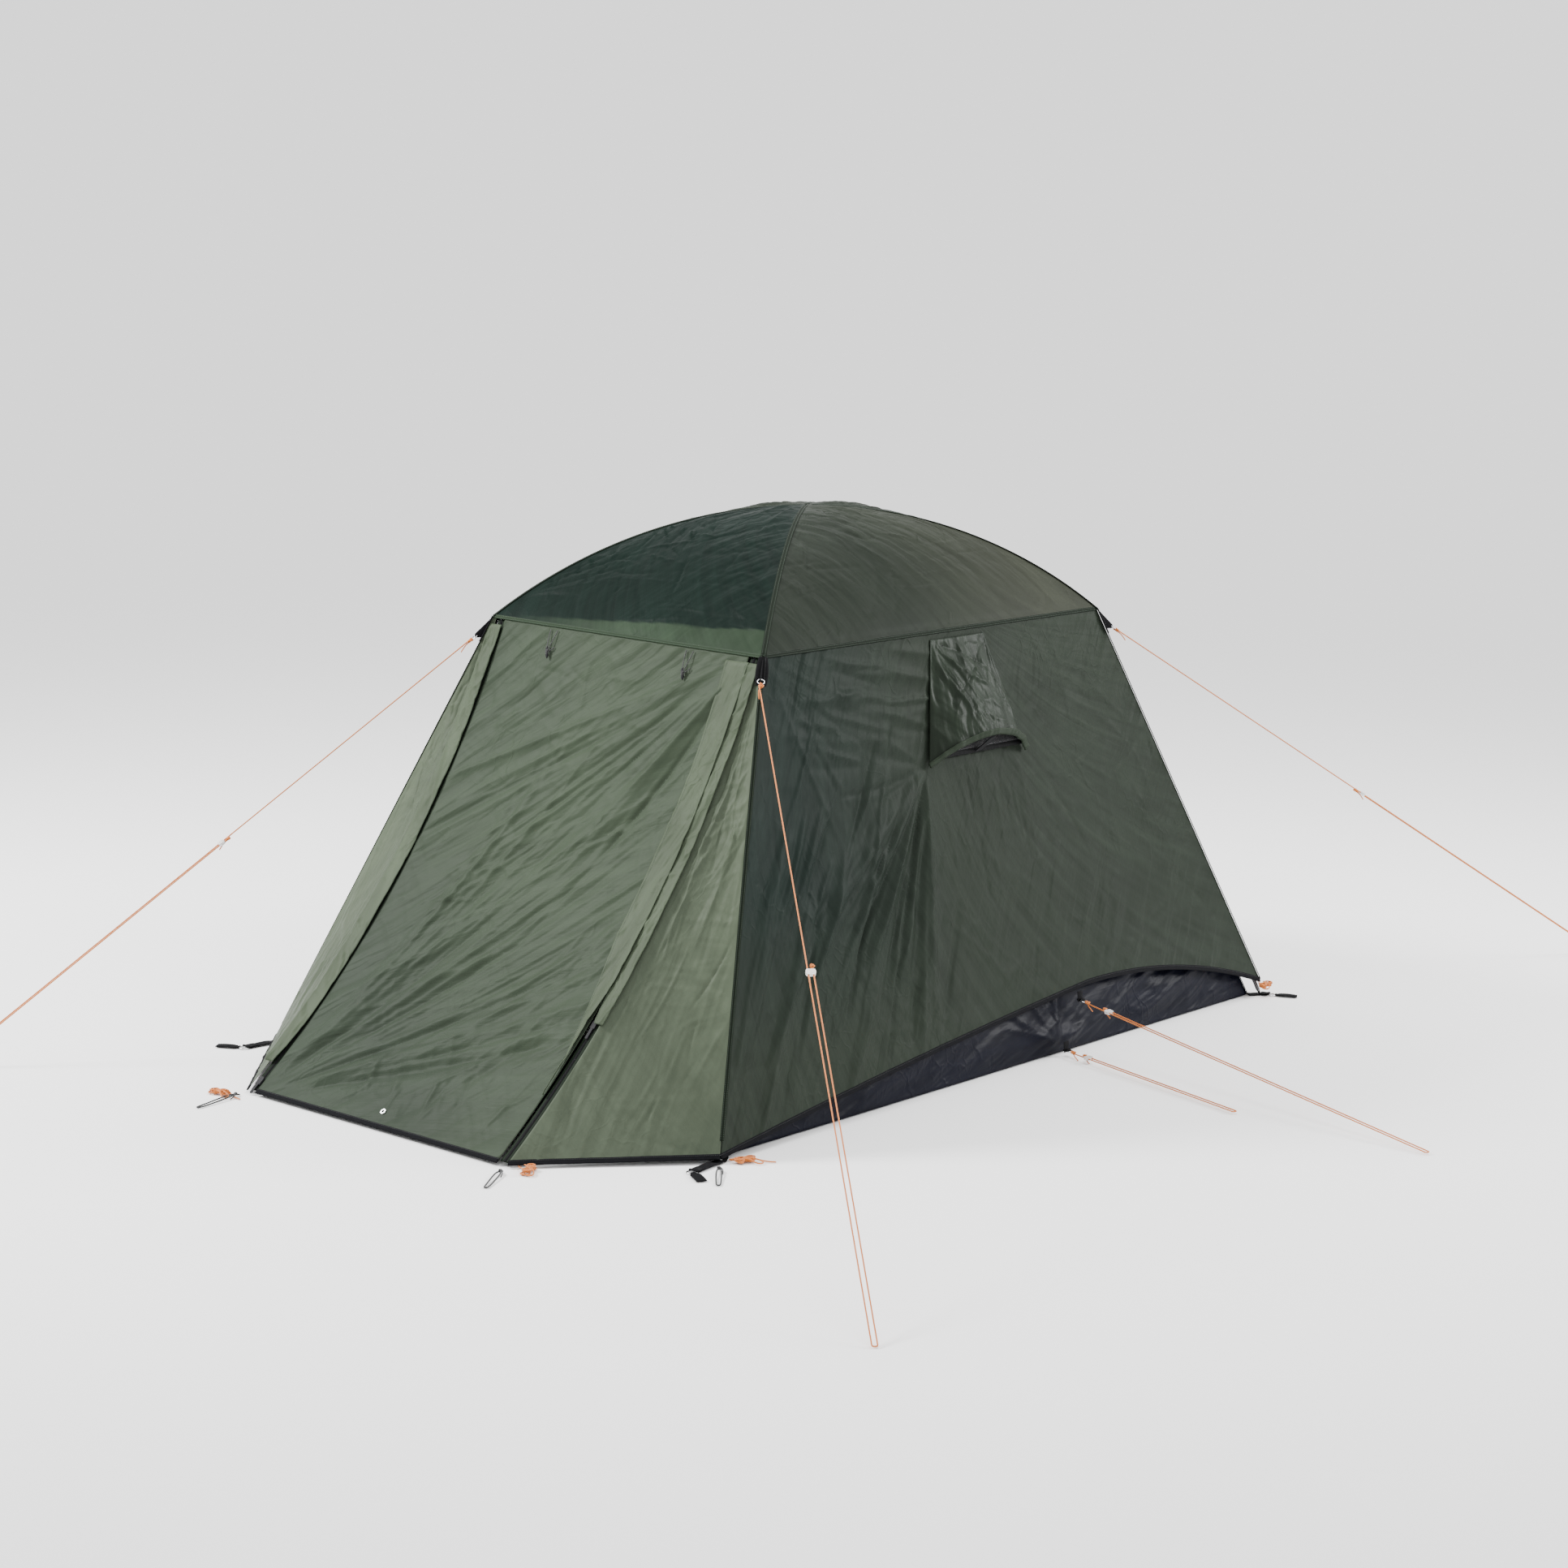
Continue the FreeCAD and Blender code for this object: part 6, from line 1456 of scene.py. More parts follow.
def build_toggles():
    """Toggles with a waisted bar, each hung on a thin loop from the top seam."""
    for side, label in ((1, "right"), (-1, "left")):
        body = f"toggle_{label}"
        run = DOOR_LENGTH - np.array((0.053, 0.058, 0.062, 0.067, 0.071, 0.075, 0.080, 0.084))
        radii = np.array((0.0008, 0.0028, 0.0040, 0.0030, 0.0030, 0.0040, 0.0028, 0.0008))
        path = door_place(np.full_like(run, TOGGLE_X * side) + np.linspace(-0.006, 0.006, len(run)), run, 0.0064)
        builder = new_builder()
        sides, ups = tube_frames(path)
        for index, point in enumerate(path):
            for step in range(12):
                angle = 2 * math.pi * step / 12
                reach = sides[index] * math.cos(angle) + ups[index] * math.sin(angle)
                builder["points"].append(tuple(point + reach * radii[index]))
        for index in range(len(path) - 1):
            for step in range(12):
                other = (step + 1) % 12
                first, second = index * 12, index * 12 + 12
                builder["faces"].append([first + step, first + other, second + other, second + step])
                builder["map"].append([(step / 12, index), (other / 12, index), (other / 12, index + 1), (step / 12, index + 1)])
        builder["faces"] += [list(range(11, -1, -1)), [84 + step for step in range(12)]]
        builder["map"] += [[(0, 0)] * 12, [(0, 1)] * 12]
        made_piece(builder, f"toggle_bar_{label}", NYLON, body, "black_plastic", (f"tie_toggle_{label}",))
        builder = new_builder()
        x = TOGGLE_X * side
        for spread_x in (-0.012, 0.010):
            route = [door_place(np.array(x + spread_x * share), np.array(DOOR_LENGTH - drop), out)
                     for share, drop, out in ((1.0, 0.012, 0.0036), (0.9, 0.024, 0.0050), (0.45, 0.050, 0.0075),
                                              (0.1, 0.068, 0.0085))]
            add_tube(builder, even_steps(nurbs_points(route, "toggle_route"), 0.003)[0], 0.0011, 7)
        knot_turns(builder, door_place(np.array(x), np.array(DOOR_LENGTH - 0.069), 0.0075), np.array((0.25, 0.3, 0.92)),
                   np.array((0.96, 0, -0.26)), 0.008, 0.0013)
        made_piece(builder, f"toggle_loop_{label}", ELASTIC, body, "black_plastic")


build_toggles()


# ---------------------------------------------------------------- vent

def build_vent():
    """Hood sewn over the side vent, its piping, its net and a dark sheet behind the net as painted shade of the vent's
    opening.
    """
    top = VENT_TOP - 0.006
    half_arc = VENT_LIP_HALF
    rise = math.hypot(0.052, 0.0638)
    radius = (half_arc ** 2 + rise ** 2) / (2 * rise)
    reach = math.asin(half_arc / radius)

    def lip(u):
        turn = (2 * u - 1) * reach
        lift = radius * np.cos(turn) - (radius - rise)
        return radius * np.sin(turn), VENT_LIP + lift * 0.052 / rise, 0.0012 + lift * 0.0638 / rise

    def surface(u, v):
        along, up, out = lip(u)
        head = (2 * u - 1) * VENT_TOP_HALF
        share = 1 - v
        bow = np.sin(np.pi * share) * 0.006 * np.sin(np.pi * u)
        a = head * (1 - share) + along * share
        b = top * (1 - share) + up * share
        c = 0.0012 * (1 - share) + out * share + bow
        return side_place(VENT_MIDDLE + a, b, c), VENT_MIDDLE + a, b

    def relief(a, b, u, v):
        ease = edge_ease(u * 0.3, 0.02) * edge_ease((1 - u) * 0.3, 0.02) * edge_ease((1 - v) * 0.28, 0.02)
        shape = fan_of_folds(a, b, (VENT_MIDDLE - VENT_TOP_HALF, top), 262, 330, 9, 0.02, 0.26, 0.012, 0.0060, 301, 0.1)
        shape += fan_of_folds(a, b, (VENT_MIDDLE + VENT_TOP_HALF, top), 215, 275, 7, 0.02, 0.24, 0.011, 0.0045, 302, 0.1)
        shape += scattered_folds(a, b, (-0.08, 0.2, 0.82, 1.03), 80, 25, 14, 0.12, 0.010, 0.0040, 303, 0.15)
        shape += 0.0085 * (crumple(a, b, 304, 0.055, 3, (1.0, 0.5), 0.4) - 0.4)
        return shape * ease

    _, points = sheet_piece("hood_cloth", "vent_hood", surface, (110, 90), relief, strain_along(80), HOOD, "hood_fabric")
    edge = points[0]
    builder = new_builder()
    outward = np.tile(SIDE_OUT, (len(edge), 1))
    path = edge + SIDE_OUT * 0.001 - SIDE_UP * 0.002
    add_profile(builder, path, outward + np.array((0, 0, -0.5)), binding_profile(0.017, 0.0056))
    made_piece(builder, "hood_piping", PIPING, "frame", "hood_fabric")
    routes = [(points[:, column] + np.array((0, 0.004 * shift, 0)) + SIDE_OUT * 0.0010, SIDE_OUT)
              for column, shift in ((0, 1), (-1, -1))]
    routes.append((points[-1] - SIDE_UP * 0.005 + SIDE_OUT * 0.0010, SIDE_OUT))
    repeat_along("hood_stitches", routes, 0.0042, STITCH, THREAD, "frame", "hood_fabric")

    margin = 0.022

    def net_surface(u, v):
        b = VENT_LIP + margin + (VENT_TOP - 3 * margin - VENT_LIP - margin) * v
        half = (VENT_LIP_HALF - margin) + (VENT_TOP_HALF - VENT_LIP_HALF) * v
        a = VENT_MIDDLE + (2 * u - 1) * half
        return side_place(a, b, 0.0010), a, b

    def painted_shade_surface(u, v):
        b = VENT_LIP + 0.010 + (VENT_TOP - 0.03 - VENT_LIP) * v
        a = VENT_MIDDLE + (2 * u - 1) * (VENT_LIP_HALF - 0.010 + (VENT_TOP_HALF - VENT_LIP_HALF) * v)
        return side_place(a, b, 0.0006), a, b

    def still(a, b, u, v):
        return 0.0004 * np.sin(40 * a) * np.sin(30 * b)

    sheet_piece("vent_net", "vent_mesh", net_surface, (50, 40), still, strain_along(90), NET, "mesh",
                offset=0.0008)
    sheet_piece("vent_painted_shade", "vent_mesh", painted_shade_surface, (40, 30), still, strain_along(90), VENT_PAINTED_SHADE, "mesh",
                offset=0.0002)


# Near-black sheet behind the vent net: painted shade where the open vent shows the dark inside.
VENT_PAINTED_SHADE = coated_cloth("vent_painted_shade_cloth", (0.0040, 0.0042, 0.0046), roughness=0.7, shade=0.7, gloss=0.1)
build_vent()


# ---------------------------------------------------------------- floor and cabin

def slope_side(across, sign, low, rise):
    """Side of the inner tent that faces along X or Y, from a height up by a rise."""
    def surface(u, v):
        z = low + rise * v
        reach = leg_outward(z, INNER_DEPTH)
        if across == "X":
            a = (2 * u - 1) * reach * ALONG_Y
            return np.stack([sign * reach * ALONG_X, a * sign, z], axis=-1), a, z
        a = (2 * u - 1) * reach * ALONG_X
        return np.stack([-a * sign, sign * reach * ALONG_Y, z], axis=-1), a, z
    return surface


def tub_relief(seed, pulls):
    """Relief of a bathtub side: slack along its length, pulled out where a guy line holds it."""
    def relief(a, b, u, v):
        ease = edge_ease(u * 2, 0.04) * edge_ease((1 - u) * 2, 0.04)
        shape = 0.010 * np.sin(np.pi * np.clip(v, 0, 1)) * (0.6 + 0.4 * cloth_noise(a * 2.2, b * 0, seed))
        shape += scattered_folds(a, b, (a.min(), a.max(), 0.03, 0.14), 8, 10, 26, 0.26, 0.014, 0.0050, seed + 1, 0.06)
        shape += 0.0035 * (crumple(a, b, seed + 2, 0.09, 3, (0.5, 1.0)) - 0.4)
        for place, height in pulls:
            shape += fan_of_folds(a, b, (place, height), 20, 160, 9, 0.01, 0.22, 0.012, 0.0075, seed + 3, 0.06)
            shape += 0.014 * np.exp(-(((a - place) / 0.10) ** 2 + ((b - height) / 0.05) ** 2))
        return shape * ease * (0.15 + 0.85 * edge_ease(v * TUB_HEIGHT, 0.04))
    return relief


def build_tub():
    """Bathtub floor: four raised sides and the groundsheet."""
    for label, across, sign in (("right", "X", 1), ("left", "X", -1), ("back", "Y", 1), ("front", "Y", -1)):
        pulls = ((0.194, 0.02),) if label == "right" else ()
        columns, size = (240, 2.1) if across == "X" else (140, 1.37)
        sheet_piece(f"tub_cloth_{label}", "floor_tray", slope_side(across, sign, 0.003, TUB_HEIGHT - 0.003), (columns, 26),
                    tub_relief(401 + 10 * len(label), pulls), strain_along(0), TUB, "tub_fabric")

    def ground(u, v):
        reach = leg_outward(0.003, INNER_DEPTH)
        a, b = (2 * u - 1) * reach * ALONG_X, (2 * v - 1) * reach * ALONG_Y
        return np.stack([a, b, 0 * a + 0.003], axis=-1), a, b

    sheet_piece("groundsheet", "floor_tray", ground, (70, 110), lambda a, b, u, v: 0.0008 * crumple(a, b, 451, 0.12, 2),
                strain_along(90), TUB, "tub_fabric")
    builder = new_builder()
    for side in (1, -1):
        for end in (1, -1):
            z = np.linspace(0.004, TUB_HEIGHT, 20)
            reach = np.array([leg_outward(value, INNER_DEPTH) for value in z]) + 0.001
            path = np.stack([side * ALONG_X * reach, end * ALONG_Y * reach, z], axis=-1)
            add_profile(builder, path, np.array((side * 0.7, end * 0.7, 0.1)), seam_profile(0.012, 0.0014))
    made_piece(builder, "tub_corner_seams", BLACK_TAPE, "frame", "tub_fabric")


build_tub()


def cabin_shoulder():
    """Height of the cabin's eaves, where its roof arc meets its leg lines."""
    low, high = 0.0, SHOULDER_Z
    for _ in range(50):
        middle = (low + high) / 2
        if math.hypot(leg_outward(middle, INNER_DEPTH), middle - ROOF_CENTRE) > ROOF_RADIUS - INNER_DEPTH:
            high = middle
        else:
            low = middle
    return low


CABIN_EAVE = cabin_shoulder()


def cabin_relief(seed):
    """Relief of a cabin panel: pulled in over the middle, with a few long folds."""
    def relief(a, b, u, v):
        ease = edge_ease(u, 0.05) * edge_ease(1 - u, 0.05) * edge_ease(v, 0.05) * edge_ease(1 - v, 0.05)
        shape = -0.008 * np.sin(np.pi * u) * np.sin(np.pi * v)
        shape += scattered_folds(a, b, (a.min(), a.max(), b.min(), b.max()), 80, 20, 16, 0.4, 0.02, 0.004, seed, 0.05)
        return shape * ease
    return relief


def reach_in(outline, centre, angle):
    """Distance from a centre to a convex outline in a direction."""
    direction = np.array((math.cos(angle), math.sin(angle)))
    best = 9.0
    for first, second in zip(outline, outline[1:] + outline[:1]):
        edge = np.subtract(second, first)
        normal = np.array((edge[1], -edge[0]))
        facing = normal @ direction
        if facing > 1e-9:
            best = min(best, normal @ np.subtract(first, centre) / facing)
    return best


def build_cabin():
    """Inner tent: walls, roof gores and a front wall round its doorway."""
    for label, across, sign, size in (("right", "X", 1, 1.9), ("left", "X", -1, 1.9), ("back", "Y", 1, 1.2)):
        wall = slope_side(across, sign, TUB_HEIGHT, CABIN_EAVE - TUB_HEIGHT - 0.001)
        sheet_piece(f"cabin_wall_{label}", "inner_canopy", wall, (90, 50), cabin_relief(501 + len(label)), strain_along(85),
                    CABIN, "inner_fabric")
    for label, across, sign in (("front", "Y", -1), ("back", "Y", 1), ("right", "X", 1), ("left", "X", -1)):
        sheet_piece(f"cabin_roof_{label}", "inner_canopy", roof_surface(across, sign, INNER_DEPTH), (60, 50),
                    lambda a, b, u, v: 0 * a, strain_along(90), CABIN, "inner_fabric")
    base_y = -leg_outward(0, INNER_DEPTH) * ALONG_Y

    def front_place(x, up, lift=0.0):
        lift = np.asarray(lift)[..., None]
        return np.stack([x, base_y + 0 * x, 0 * x], axis=-1) + np.asarray(up)[..., None] * INNER_FRONT_UP + lift * INNER_FRONT_OUT

    sill, head, half = 0.190, 0.880, 0.330
    radius = (half ** 2 + (head - sill) ** 2) / (2 * (head - sill))
    level = head - radius
    start = math.asin((sill - level) / radius)
    arc = [(radius * math.cos(t), level + radius * math.sin(t)) for t in np.linspace(start, math.pi - start, 60)]
    low_up, high_up = TUB_HEIGHT / INNER_FRONT_UP[2], (CABIN_EAVE - 0.001) / INNER_FRONT_UP[2]
    low_half = leg_outward(TUB_HEIGHT, INNER_DEPTH) * ALONG_X
    high_half = leg_outward(CABIN_EAVE, INNER_DEPTH) * ALONG_X
    frame_outline = [(-low_half, low_up), (low_half, low_up), (high_half, high_up), (-high_half, high_up)]
    centre = (0.0, 0.5)
    angles = np.linspace(-math.pi / 2 + 0.001, 1.5 * math.pi - 0.001, 300)
    inner = np.array([reach_in(arc, centre, angle) for angle in angles])
    outer = np.array([reach_in(frame_outline, centre, angle) for angle in angles])

    def front_surface(u, v):
        shares = np.linspace(0, 1, len(angles))
        angle = np.interp(u, shares, angles)
        reach = np.interp(u, shares, inner) * (1 - v) + np.interp(u, shares, outer) * v
        x, up = centre[0] + reach * np.cos(angle), centre[1] + reach * np.sin(angle)
        return front_place(x, up), x, up

    sheet_piece("cabin_wall_front", "inner_front", front_surface, (300, 14), lambda a, b, u, v: 0 * a, strain_along(85), CABIN,
                "inner_fabric", flip=True)

    def leaf(u, v):
        up = sill + 0.002 + (head - 0.004 - sill) * v
        wide = np.sqrt(np.maximum((radius - 0.002) ** 2 - (up - level) ** 2, 0.0004))
        x = (2 * u - 1) * np.minimum(wide, radius)
        return front_place(x, up, -0.0004 + 0 * x), x, up

    sheet_piece("cabin_door_cloth", "inner_door", leaf, (80, 70),
                lambda a, b, u, v: 0.004 * np.sin(np.pi * u) * np.sin(np.pi * v) * cloth_noise(a * 5, b * 5, 521),
                strain_along(85), CABIN, "inner_fabric", body="inner_door")


build_cabin()


# ---------------------------------------------------------------- corner tackle

LEG_DEPTH = 0.0175
GROUND = {
    "front": {"strap": -84, "tab": -30, "length": 0.096},
    "back": {"strap": 25, "tab": 28, "length": 0.016},
}


def plan_direction(degrees, side):
    """Level direction at an angle from the side the corner is on."""
    return np.array((side * math.cos(math.radians(degrees)), math.sin(math.radians(degrees)), 0.0))


def webbing_run(builder, start, direction, length, seed, sag=0.0):
    """Webbing laid on the ground: it wavers a little in height and never sinks into the ground."""
    share = np.linspace(0, 1, max(6, int(length / 0.004)))
    path = np.asarray(start) + np.outer(share * length, direction)
    wave = np.abs(cloth_noise(share * 2.4 + seed, share * 0 + seed, 611 + seed)) * sag * np.sin(np.pi * share)
    path[:, 2] = 0.0011 + wave
    add_profile(builder, path, UP, tape_profile(0.025, 0.0018))
    return path


def build_corners():
    """Corner straps round the rings and pull tabs."""
    builder = new_builder()
    routes = []
    for side, end in CORNERS.values():
        kind = GROUND["front" if end < 0 else "back"]
        outward = np.array((side * ALONG_X, end * ALONG_Y, 0.0))
        floor = outward * (leg_outward(0, INNER_DEPTH) + 0.001)
        foot = outward * leg_outward(0, LEG_DEPTH)
        direction, tab = plan_direction(kind["strap"], side), plan_direction(kind["tab"], side)
        webbing_run(builder, floor, outward, float(np.linalg.norm(foot - floor)), seed=1)
        path = webbing_run(builder, foot, direction, kind["length"], sag=0.004 if end < 0 else 0.0, seed=3)
        centre = foot + direction * (kind["length"] + 0.0130) + np.array((0, 0, 0.0018))
        turn = np.linspace(-0.5 * math.pi, 0.9 * math.pi, 14)
        wrap_at = centre - direction * 0.011
        fold = wrap_at + np.outer(np.sin(turn + 0.5 * math.pi) * 0.0034 - 0.004, direction) * -1
        fold[:, 2] = 0.0032 - np.cos(turn + 0.5 * math.pi) * 0.0024
        lap_end = foot + direction * max(kind["length"] - 0.022, 0.001) + np.array((0, 0, 0.0044))
        lap = np.concatenate([np.linspace(path[-1], wrap_at + np.array((0, 0, -0.0004)), 6), fold[2:],
                              np.linspace(fold[-1], lap_end, 8)[1:]])
        add_profile(builder, lap, UP, tape_profile(0.0235, 0.0014))
        across = np.cross(direction, (0, 0, 1))
        for step in (0.004, 0.010):
            place = foot + direction * max(kind["length"] - step, 0.002) + np.array((0, 0, 0.0062))
            routes.append((line_points(place - across * 0.009, place + across * 0.009, 0.003), UP))
        start = centre + tab * 0.0130
        share = np.linspace(0, 1, 40)
        tab_path = start + np.outer(share * 0.054, tab)
        tab_path[:, 2] = 0.0014 + 0.0016 * np.sin(np.pi * share) + 0.0005 * np.sin(share * 60)
        add_profile(builder, tab_path, UP, tape_profile(0.0245, 0.0026),
                    widths=1 - 0.45 * np.clip((0.25 - share) / 0.25, 0, 1) ** 1.5)
        add_profile(builder, np.linspace(centre + tab * 0.010 + np.array((0, 0, 0.0018)), tab_path[3] + np.array((0, 0, 0.001)), 8),
                    UP, tape_profile(0.0140, 0.0016))
    made_piece(builder, "corner_webbing", WEBBING, "frame", "black_binding", ("corner_straps",))
    repeat_along("corner_stitches", routes, 0.0032, STITCH, BLACK_THREAD, "frame", "black_binding")


build_corners()


PEG_LOOP_ENDS = (
    ((0.742, -1.128), (0.818, -1.218)),
    ((0.428, -1.474), (0.484, -1.578)),
    ((-0.414, -1.474), (-0.399, -1.606)),
)


def build_peg_loops():
    """Elastic loops for the ground pegs, each pinched by a knot near the tent."""
    for index, (start, end) in enumerate(PEG_LOOP_ENDS):
        start, end = np.array((*start, 0.0019)), np.array((*end, 0.0019))
        along = (end - start) / np.linalg.norm(end - start)
        across = np.cross((0, 0, 1), along) * 0.0042
        tip = end + along * 0.0050
        lift = np.array((0, 0, 0.0042))
        route = [start, start + along * 0.012 + across * 0.3 + lift, start + along * 0.034 + across * 1.5 + lift,
                 end - along * 0.02 + across * 1.3, end + across, tip + across * 0.7, tip - across * 0.7, end - across,
                 end - along * 0.02 - across * 1.3,
                 start + along * 0.034 - across * 1.5 + lift, start + along * 0.012 - across * 0.3 + lift, start + across * 0.4]
        path, run = even_steps(nurbs_points(route, "elastic_route"), 0.003)
        builder = new_builder()
        add_tube(builder, path, 0.0018, 8)
        loop = made_piece(builder, f"elastic_loop_{index}", ELASTIC, "frame", "elastic",
                          ("peg_loops",))
        builder = new_builder()
        knot_turns(builder, start + along * 0.012 + lift, along, across / 0.0042, 0.005, 0.0015)
        rest_on_ground(builder)
        knot = made_piece(builder, f"elastic_knot_{index}", ELASTIC, "frame", "elastic")


build_peg_loops()


HANKS = {
    "front_right": ((0.748, -1.050, 0.0), 72),
    "porch_right": ((0.470, -1.436, 0.0), 115),
    "porch_left": ((-0.452, -1.500, 0.0), 20),
    "back_right": ((0.727, 1.078, 0.024), 95),
}


HANK_TAIL = (
    (0.016, 0.011, 0.2), (0.034, 0.007, 0.9), (0.044, 0.003, 0.0), (0.030, 0.003, -0.9), (0.010, 0.012, -0.3),
    (-0.022, 0.006, -1.2), (-0.038, 0.003, -0.4), (-0.024, 0.003, 1.1), (0.004, 0.010, 1.4), (0.022, 0.004, 2.0),
    (0.046, 0.0020, 1.7), (0.064, 0.0018, 2.3),
)


def build_hanks():
    """Spare cord wound into small figure-of-eight bundles, tied round the middle, with a loose tail."""
    for index, (name, (place, degrees)) in enumerate(HANKS.items()):
        rng = np.random.default_rng(700 + index)
        turn = math.radians(degrees)
        along = np.array((math.cos(turn), math.sin(turn), 0.0))
        across = np.array((-math.sin(turn), math.cos(turn), 0.0))
        origin = np.array(place)
        radius = 0.0016
        route = []
        for lap in range(9):
            reach, wide = 0.0225 * rng.uniform(0.60, 1.40), 0.0088 * rng.uniform(0.6, 1.5)
            skew = rng.uniform(-0.0030, 0.0030)
            level = 0.0024 + 0.0011 * lap
            for a, b, c in ((0.0, 0.2, 0.0), (0.65, 1.0, 0.0006), (1.0, 0.1, 0.0), (0.65, -1.0, 0.0004), (0.0, 0.0, 0.0008),
                            (-0.65, 1.0, 0.0), (-1.0, 0.1, 0.0004), (-0.65, -1.0, 0.0)):
                route.append(origin + along * (a * reach) + across * (b * wide + skew) + UP * (level + c))
        for step in range(13):
            angle = step * math.pi / 2
            route.append(origin + along * (-0.004 + 0.0007 * step) + across * (math.cos(angle) * 0.0085)
                         + UP * (0.0070 + math.sin(angle) * 0.0054))
        tail_turn = turn + rng.uniform(-0.9, 0.9)
        tail = np.array((math.cos(tail_turn), math.sin(tail_turn), 0.0))
        for far, height, swing in HANK_TAIL:
            route.append(origin + tail * far + np.cross(UP, tail) * 0.010 * swing + UP * height)
        path, run = even_steps(nurbs_points(route, "hank_route"), 0.0022)
        path[:, 2] = np.maximum(path[:, 2], radius + 0.0002)
        builder = new_builder()
        add_tube(builder, path, radius, 7)
        hank = made_piece(builder, f"wound_cord_{name}", ORANGE, "frame", "orange_cord",
                          (f"cord_hank_{name}",))


build_hanks()


def add_plate(builder, outline, normal, thickness):
    """Flat plate with softened edges from an outline in space."""
    outline, normal = np.asarray(outline, dtype=float), np.asarray(normal, dtype=float)
    middle = outline.mean(axis=0)
    rings = []
    for shrink, lift in ((0.86, -0.5), (1.0, -0.25), (1.0, 0.25), (0.86, 0.5)):
        rings.append(middle + (outline - middle) * shrink + normal * thickness * lift)
    base, count = len(builder["points"]), len(outline)
    for ring in rings:
        builder["points"] += [tuple(point) for point in ring]
    flat = [(point[1], point[2]) for point in outline]
    for level in range(3):
        for turn in range(count):
            other = (turn + 1) % count
            builder["faces"].append([base + level * count + turn, base + level * count + other,
                                     base + (level + 1) * count + other, base + (level + 1) * count + turn])
            builder["map"].append([flat[turn], flat[other], flat[other], flat[turn]])
    builder["faces"] += [[base + turn for turn in reversed(range(count))], [base + 3 * count + turn for turn in range(count)]]
    builder["map"] += [[flat[turn] for turn in reversed(range(count))], flat]


def build_gussets():
    """Shoulder gussets with stitched patches on the cloth, and looped tabs on the sides."""
    builder = new_builder()
    routes = []
    height = SHOULDER_Z - GUSSET_DROP
    reach, top = leg_outward(height) + GUSSET_REACH, SHOULDER_Z - 0.004
    for side, end in CORNERS.values():
        outward = np.array((side * ALONG_X, end * ALONG_Y, 0.0))
        across = np.array((-end * ALONG_Y, side * ALONG_X, 0.0))
        outline = [(leg_outward(top) + 0.0020, top), (leg_outward(height) + 0.0022, height - 0.006),
                   (reach + 0.002, height - 0.006), (reach + 0.0050, height - 0.003), (reach + 0.0056, height),
                   (reach + 0.0050, height + 0.003), (reach + 0.002, height + 0.006)]
        add_plate(builder, [outward * a + UP * z for a, z in outline], across, 0.0024)
        path, normal = leg_path(side, end, low=SHOULDER_Z - 0.062, high=SHOULDER_Z - 0.001)
        share = np.linspace(0, 1, len(path))
        add_profile(builder, path + normal * 0.0013, normal, seam_profile(0.030, 0.0016),
                    widths=0.35 + 0.65 * np.sin(np.pi * (0.15 + 0.6 * share)))
        routes.append((path + normal * 0.0029 + across * 0.006, normal))
        routes.append((path + normal * 0.0029 - across * 0.006, normal))
    for name, (x, y, z) in SIDE_LOOPS.items():
        for side in (1, -1):
            turn = np.linspace(0, 2 * math.pi, 26)
            path = np.stack([side * (x + 0.0005 + 0.0075 * np.cos(turn)), y + 0 * turn, z + 0.0022 * np.sin(turn) + 0.001], axis=-1)
            flat = np.stack([side * np.cos(turn), 0 * turn, np.sin(turn)], axis=-1)
            add_profile(builder, path, flat, tape_profile(0.013, 0.0012))
            patch = line_points((side * (x - 0.0045), y, z + 0.022), (side * (x - 0.0020), y, z - 0.004), 0.003)
            add_profile(builder, patch, np.array((side * 1.0, 0, 0.28)), tape_profile(0.020, 0.0014))
    made_piece(builder, "gusset_webbing", WEBBING, "frame", "black_binding", ("guy_gussets",))
    repeat_along("gusset_stitches", routes, 0.0034, STITCH, BLACK_THREAD, "frame", "black_binding")


build_gussets()


def finish_hardware():
    """Finishes of the rigid parts that keep their own shape."""
    finishes = (
        (STEEL, ("corner_rings", "guy_rings", "door_eyelet")),
        (NYLON, ("zip_slider_right", "zip_slider_left", "inner_zip_slider", "vent_strut", "crown_clip", "pole_clips",
                 "shock_cords")),
        (FIBRE, ("roof_pole_upper", "roof_pole_lower", "leg_pole_front_right", "leg_pole_front_left", "leg_pole_back_right",
                 "leg_pole_back_left")),
        (ALLOY, ("pole_elbows", "pole_tips")),
        (CLEAR, tuple(f"line_lock_{name}" for name in GUY_PEGS)),
    )
    for material, nodes in finishes:
        for node in nodes:
            paint_node(node, material)


finish_hardware()


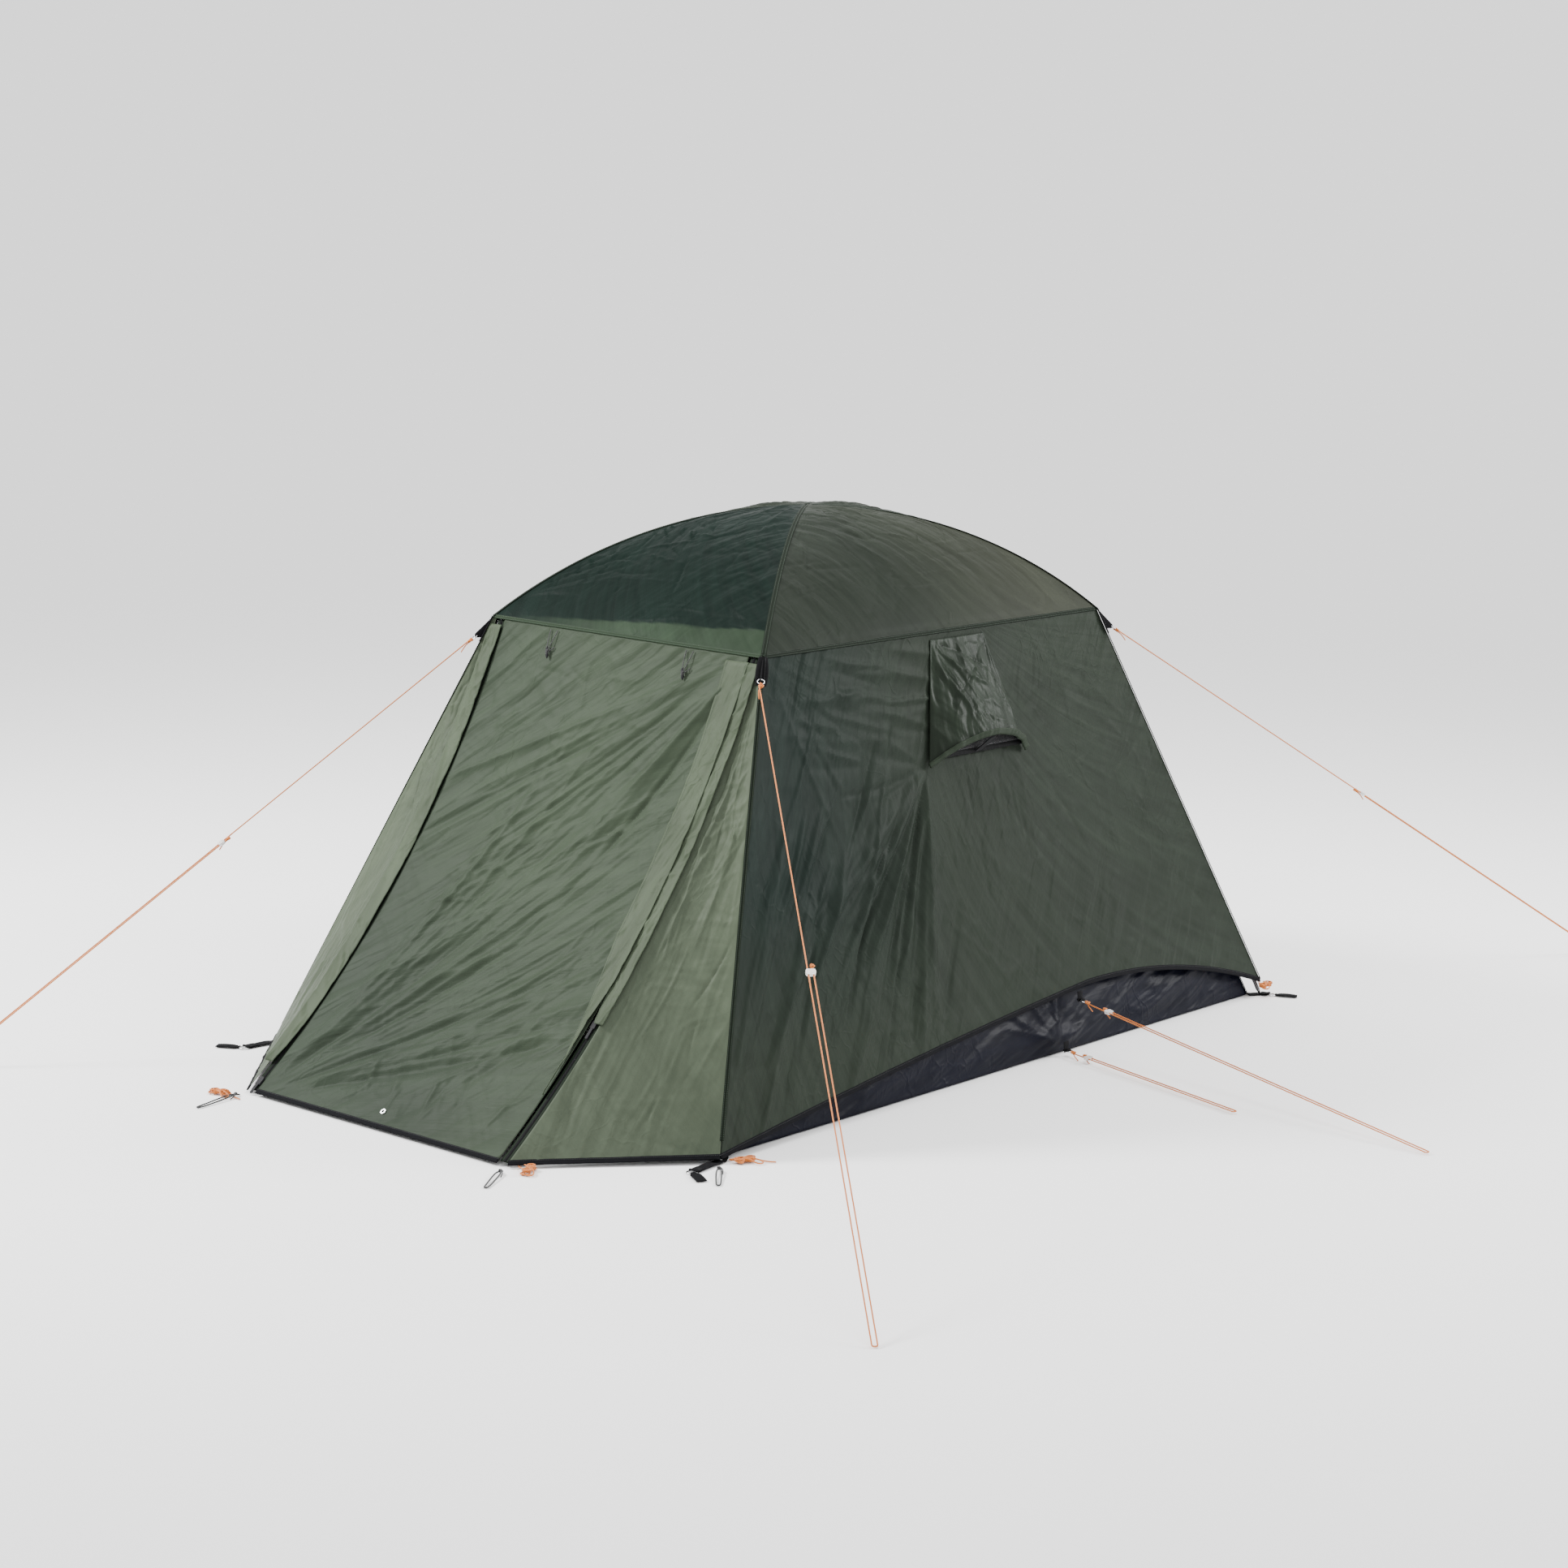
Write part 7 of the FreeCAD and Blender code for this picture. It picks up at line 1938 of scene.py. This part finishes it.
# ---------------------------------------------------------------- stage and light

SURROUND = 1.6


def build_stage():
    """Plain pale floor, white surroundings and soft studio light."""
    mesh = bpy.data.meshes.new("studio_floor")
    reach = 40.0
    mesh.from_pydata([(-reach, -reach, -0.0012), (reach, -reach, -0.0012), (reach, reach, -0.0012), (-reach, reach, -0.0012)],
                     [], [(0, 1, 2, 3)])
    floor = bpy.data.objects.new("studio_floor", mesh)
    bpy.context.scene.collection.objects.link(floor)
    material, tree, shader = new_material("studio_white")
    shader.inputs["Base Color"].default_value = (0.88, 0.88, 0.88, 1)
    shader.inputs["Roughness"].default_value = 0.85
    shader.inputs["Specular IOR Level"].default_value = 0.0
    place = add_node(tree, "TexCoord").outputs["Object"]
    far = add_node(tree, "VectorMath", {0: place}, operation="LENGTH").outputs["Value"]
    glow = add_node(tree, "Emission", {"Color": (1, 1, 1, 1), "Strength": SURROUND})
    blend = add_node(tree, "MixShader", {0: spread(tree, far, 2.6, 9.0), 1: shader.outputs[0], 2: glow.outputs[0]})
    output = [node for node in tree.nodes if node.type == "OUTPUT_MATERIAL"][0]
    tree.links.new(blend.outputs[0], output.inputs[0])
    mesh.materials.append(material)
    world = bpy.data.worlds.new("studio")
    bpy.context.scene.world = world
    world.use_nodes = True
    world.node_tree.nodes["Background"].inputs[0].default_value = (1.0, 1.0, 1.0, 1)
    world.node_tree.nodes["Background"].inputs[1].default_value = SURROUND
    for name, place, aim, size, power in (
            ("key", (-3.6, -3.4, 4.4), (0, -0.3, 0.5), 1.6, 640),
            ("side", (3.8, 4.2, 3.0), (0.3, 0.3, 0.6), 2.2, 340),
            ("top", (0.4, 0.6, 5.2), (0, 0, 0.5), 3.0, 190)):
        data = bpy.data.lights.new(name, "AREA")
        data.shape = "DISK"
        data.size = size
        data.energy = power
        lamp = bpy.data.objects.new(name, data)
        lamp.location = place
        lamp.rotation_euler = (Vector(aim) - Vector(place)).to_track_quat("-Z", "Y").to_euler()
        bpy.context.scene.collection.objects.link(lamp)


build_stage()
